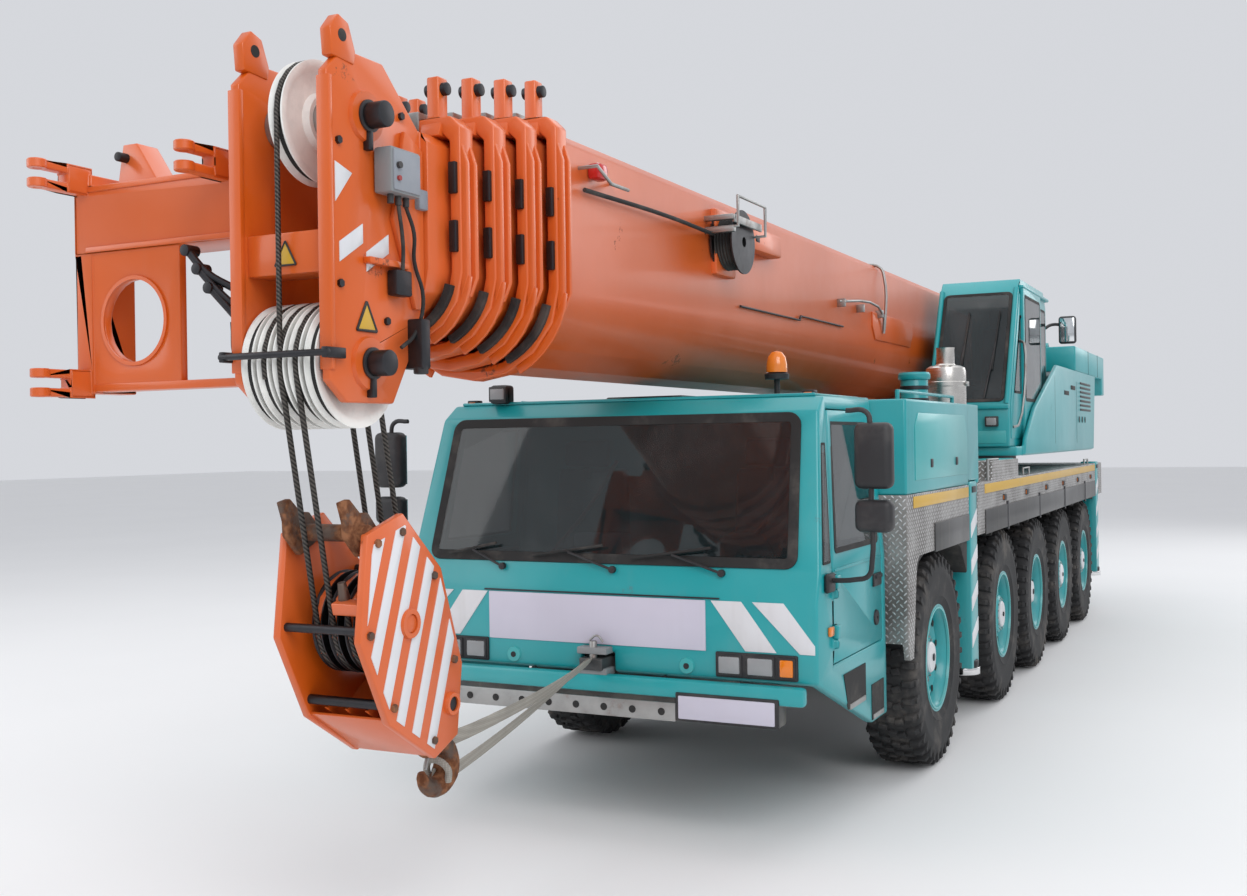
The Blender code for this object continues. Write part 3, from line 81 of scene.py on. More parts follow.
class Axis(Enum):
    """The direction that a flat outline or a turned profile is set along."""

    X = Matrix(((0, 0, 1, 0), (1, 0, 0, 0), (0, 1, 0, 0), (0, 0, 0, 1)))
    Y = Matrix(((1, 0, 0, 0), (0, 0, -1, 0), (0, 1, 0, 0), (0, 0, 0, 1)))
    Z = Matrix.Identity(4)


# ---- shader building ----------------------------------------------------------------------
class Value:
    """A number socket, with the arithmetic operators as Math nodes."""

    def __init__(self, recipe: "Recipe", socket: bpy.types.NodeSocket) -> None:
        """Wrap `socket` of the recipe's tree."""
        self.recipe = recipe
        self.socket = socket

    def _maths(self, operation: str, first: object, second: object = 0.0) -> "Value":
        """Add one Math node."""
        return self.recipe.node("ShaderNodeMath", {"operation": operation}, {0: first, 1: second})

    def __add__(self, other: object) -> "Value":
        """Sum."""
        return self._maths("ADD", self, other)

    def __sub__(self, other: object) -> "Value":
        """Difference."""
        return self._maths("SUBTRACT", self, other)

    def __rsub__(self, other: object) -> "Value":
        """Difference, with the number first."""
        return self._maths("SUBTRACT", other, self)

    def __mul__(self, other: object) -> "Value":
        """Product."""
        return self._maths("MULTIPLY", self, other)

    def __truediv__(self, other: object) -> "Value":
        """Quotient."""
        return self._maths("DIVIDE", self, other)

    def __lt__(self, other: object) -> "Value":
        """One where the value is less."""
        return self._maths("LESS_THAN", self, other)

    def __gt__(self, other: object) -> "Value":
        """One where the value is greater."""
        return self._maths("GREATER_THAN", self, other)

    __radd__ = __add__
    __rmul__ = __mul__

    def absolute(self) -> "Value":
        """The value without its sign."""
        return self._maths("ABSOLUTE", self)

    def fraction(self) -> "Value":
        """What is over a whole number."""
        return self._maths("FRACT", self)

    def whole(self) -> "Value":
        """The whole number below the value."""
        return self._maths("FLOOR", self)

    def step(self, low: float, high: float) -> "Value":
        """Rise smoothly from nought at `low` to one at `high`."""
        sockets = {0: self, 1: low, 2: high, 3: 0.0, 4: 1.0}
        return self.recipe.node("ShaderNodeMapRange", {"interpolation_type": "SMOOTHSTEP"}, sockets)


class Recipe:
    """One material and the nodes that make it."""

    def __init__(self, name: str) -> None:
        """Start an empty material called `name`."""
        self.material = bpy.data.materials.new(name)
        self.material.use_nodes = True
        self.tree = self.material.node_tree
        self.tree.nodes.clear()
        self.place = self.node("ShaderNodeTexCoord", {}, {}, "Object")

    def node(self, kind: str, settings: dict, sockets: dict, output: object = 0) -> Value:
        """Add a node.

        Args:
            kind: the node's type.
            settings: its properties, set before its sockets.
            sockets: values or links by socket name or number.
            output: the name or number of the output wanted.

        Returns:
            The wrapped output socket.
        """
        made = self.tree.nodes.new(kind)
        for key, value in settings.items():
            if key == "stops":
                for index, (at, colour) in enumerate(value):
                    stop = made.color_ramp.elements[index] if index < 2 else made.color_ramp.elements.new(at)
                    stop.position, stop.color = at, (*colour, 1.0)
            else:
                setattr(made, key, value)
        for key, value in sockets.items():
            if isinstance(value, Value):
                self.tree.links.new(value.socket, made.inputs[key])
            else:
                made.inputs[key].default_value = value
        return Value(self, made.outputs[output]) if len(made.outputs) else Value(self, None)

    def noise(self, scale: float, detail: float = 3.0, rough: float = 0.5) -> Value:
        """Cloudy noise on the object's own place."""
        sockets = {"Vector": self.place, "Scale": scale, "Detail": detail, "Roughness": rough}
        return self.node("ShaderNodeTexNoise", {}, sockets, "Fac")

    def stretched(self, stretch: Point, scale: float, detail: float = 3.0) -> Value:
        """Noise drawn out along an axis, as streaks and brushing are."""
        moved = self.node("ShaderNodeMapping", {}, {"Vector": self.place, "Scale": stretch})
        sockets = {"Vector": moved, "Scale": scale, "Detail": detail}
        return self.node("ShaderNodeTexNoise", {}, sockets, "Fac")

    def coordinate(self, name: str) -> Value:
        """X, Y or Z of the object's own place."""
        return self.node("ShaderNodeSeparateXYZ", {}, {0: self.place}, name)

    def facing(self, name: str) -> Value:
        """How much the surface faces along X, Y or Z, either way."""
        normal = self.node("ShaderNodeNewGeometry", {}, {}, "Normal")
        return self.node("ShaderNodeSeparateXYZ", {}, {0: normal}, name).absolute()

    def mix(self, factor: object, first: object, second: object) -> Value:
        """Blend two colours."""
        ends = [(*c, 1.0) if isinstance(c, tuple) else c for c in (first, second)]
        return self.node("ShaderNodeMix", {"data_type": "RGBA"}, {0: factor, 6: ends[0], 7: ends[1]}, 2)

    def bump(self, height: Value, strength: float, distance: float) -> Value:
        """A Bump node over `height`."""
        sockets = {"Height": height, "Strength": strength, "Distance": distance}
        return self.node("ShaderNodeBump", {}, sockets)

    def shade(self, sockets: dict) -> bpy.types.Material:
        """Close the recipe with a Principled shader and its output."""
        shader = self.node("ShaderNodeBsdfPrincipled", {}, sockets)
        self.node("ShaderNodeOutputMaterial", {}, {"Surface": shader})
        return self.material


# ---- finishes -----------------------------------------------------------------------------
@dataclass(frozen=True)
class Paint:
    """Sprayed paint with faded clouds, dust, streaks and chips down to a base."""

    name: str
    colour: Colour
    slot: str
    rough: float = 0.28
    dust: float = 0.25
    chips: float = 0.5
    base: Colour = (0.10, 0.035, 0.015)

    def make(self) -> bpy.types.Material:
        """Build the material."""
        r = Recipe(self.name)
        clouds = r.noise(0.9, 4.0)
        grit = r.noise(38.0, 5.0, 0.7)
        patches = r.noise(2.6, 6.0, 0.65)
        streaks = r.stretched((9.0, 9.0, 0.7), 2.0)
        faded = tuple(min(1.0, c * 0.86 + 0.035) for c in self.colour)
        deep = tuple(c * 0.80 for c in self.colour)
        body = r.mix(clouds.step(0.35, 0.72), deep, faded)
        low = r.coordinate("Z").step(1.5, 0.2) * 0.55
        film = (streaks.step(0.50, 0.78) * 0.35 + low + r.facing("Z") * 0.25) * patches.step(0.32, 0.62)
        dusty = r.mix(film * self.dust, body, (0.30, 0.27, 0.23))
        chip = (patches.step(0.66, 0.69) * grit.step(0.48, 0.56)) * self.chips
        chipped = r.mix(chip, dusty, self.base)
        rough = self.rough + patches * 0.14 + film * 0.35 * self.dust + chip * 0.4
        orange_peel = r.noise(160.0, 2.0) * 0.25 + grit * 0.3 - chip
        return r.shade({
            "Base Color": chipped, "Roughness": rough, "Coat Weight": 0.25, "Coat Roughness": 0.12,
            "Normal": r.bump(orange_peel, 0.06, 0.004),
        })


@dataclass(frozen=True)
class Metal:
    """Bare metal, brushed one way, with stains and rust."""

    name: str
    colour: Colour
    slot: str
    rough: float = 0.3
    brush: Point = (2.0, 2.0, 60.0)
    rust: float = 0.0

    def make(self) -> bpy.types.Material:
        """Build the material."""
        r = Recipe(self.name)
        grain = r.stretched(self.brush, 6.0, 2.0)
        stains = r.noise(5.0, 6.0, 0.7)
        rusty = stains.step(0.62 - 0.25 * self.rust, 0.72 - 0.2 * self.rust) * min(1.0, self.rust * 1.3)
        brown = r.mix(r.noise(30.0, 4.0).step(0.35, 0.65), (0.13, 0.045, 0.018), (0.30, 0.13, 0.06))
        dull = tuple(c * 0.6 for c in self.colour)
        metal = r.mix(stains.step(0.35, 0.75) * 0.6, self.colour, dull)
        return r.shade({
            "Base Color": r.mix(rusty, metal, brown), "Metallic": 1.0 - rusty * 0.85,
            "Roughness": self.rough + grain * 0.12 + rusty * 0.5,
            "Normal": r.bump(grain * 0.5 + stains + rusty * r.noise(90.0), 0.12, 0.003),
        })


@dataclass(frozen=True)
class Chequer:
    """Aluminium plate with a raised lozenge pattern, darker between the lozenges and dirty there in patches."""

    name: str = "chequer_plate"
    slot: str = "chequer_plate"
    pitch: float = 0.046

    def make(self) -> bpy.types.Material:
        """Build the material."""
        r = Recipe(self.name)
        x, y, z = (r.coordinate(c) for c in "XYZ")
        flat = r.facing("Z").step(0.6, 0.7)
        across = r.facing("Y").step(0.6, 0.7)
        first = y * (1.0 - across) + x * across
        second = z * (1.0 - flat) + (x * (1.0 - across) + y * across) * flat
        u = (first + second) / self.pitch
        v = (first - second) / self.pitch
        odd = ((u.whole() + v.whole()) / 2.0).fraction().absolute() > 0.25
        a, b = u.fraction() - 0.5, v.fraction() - 0.5
        long = a * (1.0 - odd) + b * odd
        short = b * (1.0 - odd) + a * odd
        spread = (long / 0.46) * (long / 0.46) + (short / 0.15) * (short / 0.15)
        raised = spread.step(1.1, 0.5)
        dirt = r.noise(3.0, 6.0, 0.7)
        # between the lozenges the plate is coloured darker than on them, and darker still where the dirt noise is
        # high
        ground = r.mix(dirt.step(0.30, 0.70), (0.34, 0.33, 0.32), (0.15, 0.14, 0.13))
        colour = r.mix(raised, ground, (0.66, 0.66, 0.67))
        return r.shade({
            "Base Color": colour, "Metallic": 0.55 + raised * 0.35,
            "Roughness": 0.50 - raised * 0.18 + dirt * 0.15,
            "Normal": r.bump(raised + dirt * 0.15, 0.8, 0.004),
        })


@dataclass(frozen=True)
class Soft:
    """Rubber, plastic, nylon or cloth: one colour with grain, dust and wear."""

    name: str
    colour: Colour
    slot: str
    rough: float = 0.6
    grain: float = 240.0
    dust: float = 0.4
    weave: float = 0.0
    soil: Colour = (0.23, 0.20, 0.17)

    def make(self) -> bpy.types.Material:
        """Build the material."""
        r = Recipe(self.name)
        patches = r.noise(4.0, 6.0, 0.65)
        fine = r.noise(self.grain, 2.0)
        worn = tuple(min(1.0, c * 1.35 + 0.006) for c in self.colour)
        body = r.mix(patches.step(0.35, 0.7), self.colour, worn)
        film = patches.step(0.48, 0.75) * self.dust
        height = fine
        if self.weave:
            threads = [(r.coordinate(c) * self.weave).fraction() - 0.5 for c in "XYZ"]
            height = threads[0].absolute() + threads[1].absolute() + threads[2].absolute() + fine * 0.4
            body = r.mix(height.step(0.3, 1.3) * 0.5, body, tuple(c * 0.45 for c in self.colour))
        return r.shade({
            "Base Color": r.mix(film, body, self.soil), "Roughness": self.rough + patches * 0.2,
            "Normal": r.bump(height, 0.25, 0.0015),
        })


@dataclass(frozen=True)
class Glass:
    """Tinted safety glass with a thin film of dust, or a clear or coloured lens."""

    name: str
    colour: Colour
    slot: str
    alpha: float = 0.5
    rough: float = 0.03

    def make(self) -> bpy.types.Material:
        """Build the material."""
        r = Recipe(self.name)
        film = r.noise(3.0, 6.0, 0.6).step(0.45, 0.8)
        smears = r.stretched((1.0, 1.0, 0.25), 7.0).step(0.45, 0.8)
        tint = r.mix(film * 0.25, self.colour, tuple(min(1.0, c + 0.10) for c in self.colour))
        return r.shade({
            "Base Color": tint, "Roughness": self.rough + smears * 0.06, "Alpha": self.alpha + film * 0.06,
            "Coat Weight": 0.6, "Coat Roughness": 0.02,
        })


@dataclass(frozen=True)
class RopeFinish:
    """Laid wire rope: greasy strands that run slantwise round it."""

    name: str = "wire_rope"
    slot: str = "rope_steel"

    def make(self) -> bpy.types.Material:
        """Build the material."""
        r = Recipe(self.name)
        slant = (r.coordinate("Z") + r.coordinate("X") * 0.6 + r.coordinate("Y") * 0.6) * 62.0
        strand = (slant.fraction() - 0.5).absolute()
        grease = r.noise(9.0, 5.0)
        colour = r.mix(strand.step(0.05, 0.45), (0.10, 0.09, 0.08), (0.016, 0.015, 0.014))
        return r.shade({
            "Base Color": colour, "Metallic": 0.6, "Roughness": 0.35 + grease * 0.3,
            "Normal": r.bump(1.0 - strand, 0.9, 0.004),
        })


class Finishes:
    """Every finish of the crane, made once and kept by name."""

    def __init__(self) -> None:
        """Make all the materials."""
        dark = (0.018, 0.018, 0.019)
        listed = (
            Paint(
                "teal_paint", (0.0, 0.37, 0.40), "teal_paint", dust=0.12, chips=0.35, base=(0.10, 0.10, 0.10)
            ),
            Paint("light_teal_paint", (0.03, 0.43, 0.44), "teal_paint", dust=0.15, chips=0.1),
            Paint("orange_paint", (0.76, 0.118, 0.002), "orange_paint", dust=0.07, chips=0.8),
            Paint("white_paint", (0.80, 0.81, 0.84), "white_paint", rough=0.35, dust=0.35, chips=0.4),
            Paint("panel_paint", (0.66, 0.64, 0.76), "white_paint", rough=0.35, dust=0.12, chips=0.0),
            Paint("yellow_paint", (0.72, 0.42, 0.02), "white_paint", rough=0.4, dust=0.4),
            Paint("frame_grey", (0.035, 0.04, 0.043), "frame_grey", rough=0.5, dust=0.9, chips=0.4),
            Paint("grey_paint", (0.25, 0.27, 0.28), "frame_grey", rough=0.4, dust=0.3),
            Paint("hood_black", dark, "frame_grey", rough=0.45, dust=0.5, chips=0.1, base=(0.1, 0.1, 0.1)),
            Paint("red_paint", (0.35, 0.015, 0.01), "orange_paint", rough=0.4),
            Metal("stainless", (0.62, 0.60, 0.57), "bare_steel", 0.22),
            Metal("zinc", (0.42, 0.42, 0.41), "bare_steel", 0.38, (3.0, 3.0, 3.0), 0.25),
            Metal("chrome", (0.80, 0.80, 0.80), "chrome_rod", 0.06, (2.0, 2.0, 2.0)),
            Metal("mirror_glass", (0.75, 0.78, 0.80), "chrome_rod", 0.02, (1.0, 1.0, 1.0)),
            Metal("forged_iron", (0.16, 0.12, 0.10), "engine_iron", 0.5, (3.0, 3.0, 3.0), 0.8),
            Metal("dark_steel", (0.06, 0.06, 0.065), "bare_steel", 0.4, (4.0, 4.0, 4.0), 0.1),
            Chequer(),
            Soft("tyre_rubber", (0.016, 0.016, 0.017), "tyre_rubber", 0.72, 300.0, 0.35),
            Soft("black_plastic", (0.014, 0.014, 0.016), "black_plastic", 0.42, 400.0, 0.12),
            Soft("black_rubber", (0.012, 0.012, 0.012), "black_plastic", 0.7, 300.0, 0.25),
            Soft("grey_plastic", (0.20, 0.22, 0.25), "black_plastic", 0.45, 400.0, 0.2),
            Soft("dash_plastic", (0.045, 0.047, 0.05), "black_plastic", 0.6, 350.0, 0.1),
            Soft("seat_cloth", (0.035, 0.04, 0.055), "seat_cloth", 0.9, 500.0, 0.2, 220.0),
            Soft(
                "sling_cloth", (0.36, 0.34, 0.30), "light_cloth", 0.9, 400.0, 0.5, 110.0, (0.12, 0.10, 0.08)
            ),
            Soft(
                "sheave_nylon", (0.72, 0.72, 0.69), "sheave_nylon", 0.42, 200.0, 0.45, 0.0,
                (0.30, 0.28, 0.25)
            ),
            Glass("cab_glass", (0.015, 0.022, 0.024), "window_glass", 0.62),
            Glass("clear_lens", (0.75, 0.78, 0.80), "window_glass", 0.35, 0.08),
            Glass("amber_lens", (0.85, 0.22, 0.01), "lamp_lens", 0.9, 0.12),
            Glass("red_lens", (0.55, 0.01, 0.01), "lamp_lens", 0.9, 0.12),
            RopeFinish(),
        )
        self.materials = {finish.name: finish.make() for finish in listed}
        self.slots = {self.materials[finish.name].name: finish.slot for finish in listed}

    def put(self, piece: bpy.types.Object, name: str) -> bpy.types.Object:
        """Give a piece one finish all over."""
        piece.data.materials.clear()
        piece.data.materials.append(self.materials[name])
        return piece


# ---- modelling tools ----------------------------------------------------------------------
def deselect() -> None:
    """Leave nothing selected and nothing in edit mode."""
    if bpy.context.object and bpy.context.object.mode != "OBJECT":
        bpy.ops.object.mode_set(mode="OBJECT")
    bpy.ops.object.select_all(action="DESELECT")


def choose(piece: bpy.types.Object) -> None:
    """Make one piece the only selected and active one."""
    deselect()
    piece.select_set(True)
    bpy.context.view_layer.objects.active = piece


def settle(piece: bpy.types.Object, name: str) -> bpy.types.Object:
    """Name a piece and move its place into its mesh."""
    choose(piece)
    bpy.ops.object.transform_apply(location=True, rotation=True, scale=True)
    piece.name = piece.data.name = name
    return piece


def mend(piece: bpy.types.Object, merge: float = 1e-5) -> bpy.types.Object:
    """Merge doubles and turn the faces outwards."""
    choose(piece)
    bpy.ops.object.mode_set(mode="EDIT")
    bpy.ops.mesh.select_all(action="SELECT")
    bpy.ops.mesh.remove_doubles(threshold=merge)
    bpy.ops.mesh.normals_make_consistent(inside=False)
    bpy.ops.object.mode_set(mode="OBJECT")
    return piece


def soften(piece: bpy.types.Object, width: float, segments: int = 2, angle: float = 30.0) -> bpy.types.Object:
    """Round a piece's edges and shade it smooth between them.

    Args:
        piece: the piece.
        width: the rounding's width, or nought for none.
        segments: how many steps it has.
        angle: the least angle of an edge that is rounded, in degrees.

    Returns:
        The piece.
    """
    choose(piece)
    if width > 0:
        bevel = piece.modifiers.new("Rounding", "BEVEL")
        bevel.width = width
        bevel.segments = segments
        bevel.limit_method = "ANGLE"
        bevel.angle_limit = math.radians(angle)
        bevel.harden_normals = False
        bpy.ops.object.modifier_apply(modifier=bevel.name)
    bpy.ops.object.shade_smooth_by_angle(angle=math.radians(40))
    return piece


def block(name: str, low: Point, high: Point, rounding: float = 0.006, segments: int = 2) -> bpy.types.Object:
    """A box between two corners, with rounded edges."""
    deselect()
    low, high = [Vector(map(f, low, high)) for f in (min, max)]
    bpy.ops.mesh.primitive_cube_add(size=1.0, location=(low + high) / 2)
    piece = bpy.context.object
    piece.scale = high - low
    settle(piece, name)
    return soften(piece, min(rounding, 0.45 * min(high - low)), segments)


def bar(name: str, start: Point, end: Point, radius: float, sides: int = 24, rounding: float = 0.0,
        end_radius: float | None = None) -> bpy.types.Object:
    """A round bar, or a cone where it has an end radius.

    Args:
        name: the piece's name.
        start: the middle of one end.
        end: the middle of the other.
        radius: the radius at the start.
        sides: how many sides it has.
        rounding: the width of its rounded rims.
        end_radius: the radius at the end, where it differs.

    Returns:
        The piece.
    """
    deselect()
    start, end = Vector(start), Vector(end)
    turn = (end - start).to_track_quat("Z", "Y").to_euler()
    bpy.ops.mesh.primitive_cone_add(
        vertices=sides, radius1=radius, radius2=radius if end_radius is None else end_radius,
        depth=(end - start).length, location=(start + end) / 2, rotation=turn)
    return soften(settle(bpy.context.object, name), rounding, 2, 50.0)


def plate(name: str, outline: list[Pair], axis: Axis, low: float, high: float, rounding: float = 0.003,
          segments: int = 2) -> bpy.types.Object:
    """A flat outline with a thickness.

    Args:
        name: the piece's name.
        outline: its corners: (y, z) for axis X, (x, z) for axis Y, (x, y) for axis Z.
        axis: the direction of its thickness.
        low: where it starts along that axis.
        high: where it ends.
        rounding: the width of its rounded edges.
        segments: how many steps the rounding has.

    Returns:
        The piece.
    """
    deselect()
    bpy.ops.mesh.primitive_circle_add(vertices=len(outline), radius=1.0, fill_type="NGON")
    piece = bpy.context.object
    sign = -1.0 if axis is Axis.Y else 1.0
    for vertex, (a, b) in zip(piece.data.vertices, outline):
        vertex.co = axis.value @ Vector((a, b, sign * low))
    bpy.ops.object.mode_set(mode="EDIT")
    bpy.ops.mesh.select_all(action="SELECT")
    move = axis.value.to_3x3() @ Vector((0, 0, sign * (high - low)))
    bpy.ops.mesh.extrude_region_move(TRANSFORM_OT_translate={"value": move})
    bpy.ops.object.mode_set(mode="OBJECT")
    return soften(mend(settle(piece, name)), rounding, segments)


def turned(name: str, profile: list[Pair], centre: Point, axis: Axis = Axis.X, steps: int = 48,
           angle: float = 30.0) -> bpy.types.Object:
    """A closed (radius, along) profile spun round an axis through `centre`."""
    deselect()
    bpy.ops.mesh.primitive_circle_add(vertices=len(profile), radius=1.0)
    piece = bpy.context.object
    for vertex, (radius, along) in zip(piece.data.vertices, profile):
        vertex.co = (radius, 0.0, along)
    bpy.ops.object.mode_set(mode="EDIT")
    bpy.ops.mesh.select_all(action="SELECT")
    bpy.ops.mesh.spin(steps=steps, angle=math.tau, center=(0, 0, 0), axis=(0, 0, 1))
    bpy.ops.object.mode_set(mode="OBJECT")
    turn = Matrix.Identity(4) if axis is Axis.Z else Matrix.Rotation(
        math.pi / 2, 4, "Y" if axis is Axis.X else "X"
    )
    piece.data.transform(Matrix.Translation(centre) @ turn)
    mend(settle(piece, name))
    choose(piece)
    bpy.ops.object.shade_smooth_by_angle(angle=math.radians(angle))
    return piece


def pipe(name: str, points: list[Point], radius: float, closed: bool = False, smooth: bool = True,
         sides: int = 3) -> bpy.types.Object:
    """A tube, wire, rail or hose along points.

    Args:
        name: the piece's name.
        points: the points that it passes.
        radius: its radius.
        closed: whether it is a ring.
        smooth: whether it bends between the points or runs straight.
        sides: the bevel's resolution.

    Returns:
        The piece as a mesh.
    """
    deselect()
    curve = bpy.data.curves.new(name, "CURVE")
    curve.dimensions = "3D"
    curve.bevel_depth = radius
    curve.bevel_resolution = sides
    curve.resolution_u = 5
    curve.use_fill_caps = not closed
    spline = curve.splines.new("BEZIER" if smooth else "POLY")
    if smooth:
        spline.bezier_points.add(len(points) - 1)
        for knot, point in zip(spline.bezier_points, points):
            knot.co = point
            knot.handle_left_type = knot.handle_right_type = "AUTO"
    else:
        spline.points.add(len(points) - 1)
        for knot, point in zip(spline.points, points):
            knot.co = (*point, 1.0)
    spline.use_cyclic_u = closed
    piece = bpy.data.objects.new(name, curve)
    bpy.context.scene.collection.objects.link(piece)
    choose(piece)
    bpy.ops.object.convert(target="MESH")
    piece = bpy.context.object
    mend(settle(piece, name))
    choose(piece)
    bpy.ops.object.shade_smooth_by_angle(angle=math.radians(45))
    return piece


def copied(piece: bpy.types.Object, name: str, change: Matrix) -> bpy.types.Object:
    """A copy with its own mesh, moved, turned or mirrored."""
    twin = bpy.data.objects.new(name, piece.data.copy())
    bpy.context.scene.collection.objects.link(twin)
    twin.data.transform(change)
    if change.determinant() < 0:
        twin.data.flip_normals()
    twin.data.name = name
    return twin


def joined(name: str, parts: list[bpy.types.Object]) -> bpy.types.Object:
    """Several pieces as one object, each keeping its finish."""
    deselect()
    for part in parts:
        part.select_set(True)
    bpy.context.view_layer.objects.active = parts[0]
    if len(parts) > 1:
        bpy.ops.object.join()
    parts[0].name = parts[0].data.name = name
    return parts[0]


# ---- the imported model's lines and the book of pieces ---------------------------------------
Parts = list[bpy.types.Object]


class Workshop:
    """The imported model, its finishes, and the book of every piece made."""

    def __init__(self, frame: dict) -> None:
        """Read the model's front line and make the finishes."""
        self.nodes = frame["nodes"]
        self.bodies = {
            node: body for body, names in frame["record"]["behaviour"]["bodies"].items() for node in names
        }
        self.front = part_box("carrier_cab")[0].y
        self.finishes = Finishes()
        self.count = 0

    def y(self, s: float) -> float:
        """Y of a place `s` back from the cab's front."""
        return self.front + s

    def at(self, x: float, s: float, z: float) -> Point:
        """A point from its distance back."""
        return (x, self.front + s, z)

    def line(self, pairs: list[Pair]) -> list[Pair]:
        """A side outline of (s, z) corners as (y, z)."""
        return [(self.front + s, z) for s, z in pairs]

    def spread(self, low: Point, high: Point) -> tuple[Point, Point]:
        """Two corners from their distances back."""
        return self.at(*low), self.at(*high)

    def f(self, piece: bpy.types.Object, finish: str) -> bpy.types.Object:
        """Give a part its finish."""
        return self.finishes.put(piece, finish)

    def fit(self, name: str, body: str, parts: Parts, *nodes: str) -> bpy.types.Object:
        """Join parts into a finished piece that rides on a body.

        Args:
            name: the piece's name.
            body: the body that it moves with.
            parts: the parts, each with its finish.
            nodes: the CAD nodes that it stands for.

        Returns:
            The piece.
        """
        piece = joined(name, parts)
        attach(piece, body)
        if nodes:
            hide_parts(*nodes)
        self.count += 1
        LOG.info("%s on %s: %d faces", name, body, len(piece.data.polygons))
        return piece

    def cast(self, node: str, finish: str, width: float = 0.008) -> bpy.types.Object:
        """A copy of a CAD node with merged points, clean faces and rounded edges."""
        piece = bpy.data.objects.new(f"{node}_finished", self.nodes[node].data.copy())
        bpy.context.scene.collection.objects.link(piece)
        mend(piece, 1e-4)
        choose(piece)
        bpy.ops.object.mode_set(mode="EDIT")
        bpy.ops.mesh.select_all(action="SELECT")
        bpy.ops.mesh.dissolve_limited(angle_limit=math.radians(0.6))
        bpy.ops.object.mode_set(mode="OBJECT")
        rounding = piece.modifiers.new("Rounding", "BEVEL")
        rounding.width, rounding.segments = width, 2
        rounding.limit_method, rounding.angle_limit = "ANGLE", math.radians(32)
        rounding.use_clamp_overlap = False
        bpy.ops.object.modifier_apply(modifier=rounding.name)
        bpy.ops.object.shade_smooth_by_angle(angle=math.radians(40))
        return self.f(piece, finish)

    def dress(
        self, node: str, finish: str, width: float = 0.008, extra: Parts | None = None
    ) -> bpy.types.Object:
        """Stand a rounded copy of a CAD node, with its extra parts, in the node's place."""
        parts = [self.cast(node, finish, width), *(extra or [])]
        return self.fit(f"{node}_finished", self.bodies[node], parts, node)

    def nuts(self, centre: Point, ring: float, count: int, size: float, length: float, side: int,
             finish: str = "zinc") -> Parts:
        """Six-sided nuts in a ring on a face that looks along X.

        Args:
            centre: the middle of the ring on the face.
            ring: the ring's radius.
            count: how many nuts.
            size: a nut's radius.
            length: how far a nut stands out.
            side: 1 where the face looks to the left, -1 to the right.
            finish: their finish.

        Returns:
            The nuts.
        """
        made = []
        for index in range(count):
            turn = math.tau * index / count
            y, z = centre[1] + ring * math.cos(turn), centre[2] + ring * math.sin(turn)
            nut = bar("nut", (centre[0], y, z), (centre[0] + side * length, y, z), size, 6)
            made.append(self.f(nut, finish))
        return made


@dataclass
class Assembly:
    """A sub-assembly that takes its places from the workshop."""

    shop: Workshop

    def put(self, finish: str, piece: bpy.types.Object) -> bpy.types.Object:
        """Give a part its finish."""
        return self.shop.f(piece, finish)

    def slab(self, finish: str, low: Point, high: Point, rounding: float = 0.006) -> bpy.types.Object:
        """A rounded box between two (x, s, z) corners, in a finish."""
        return self.put(finish, block("slab", *self.shop.spread(low, high), rounding))

    def rod(self, finish: str, start: Point, end: Point, radius: float, sides: int = 20,
            rounding: float = 0.0) -> bpy.types.Object:
        """A round bar between two (x, s, z) points, in a finish."""
        return self.put(finish, bar("rod", self.shop.at(*start), self.shop.at(*end), radius, sides, rounding))

    def run(self, finish: str, points: list[Point], radius: float, smooth: bool = True) -> bpy.types.Object:
        """A tube along (x, s, z) points, in a finish."""
        return self.put(finish, pipe("run", [self.shop.at(*p) for p in points], radius, False, smooth))

    def side(
        self, finish: str, outline: list[Pair], low: float, high: float, rounding: float = 0.003
    ) -> bpy.types.Object:
        """A flat piece of (s, z) outline between two x, in a finish."""
        return self.put(finish, plate("side", self.shop.line(outline), Axis.X, low, high, rounding))

    def face(
        self, finish: str, outline: list[Pair], s0: float, s1: float, rounding: float = 0.003
    ) -> bpy.types.Object:
        """A flat piece of (x, z) outline between two s, in a finish."""
        return self.put(finish, plate("face", outline, Axis.Y, self.shop.y(s0), self.shop.y(s1), rounding))

# ---- running gear -------------------------------------------------------------------------
class Hub(Enum):
    """The two kinds of wheel hub."""

    RECESSED = "recessed"
    PLANETARY = "planetary"


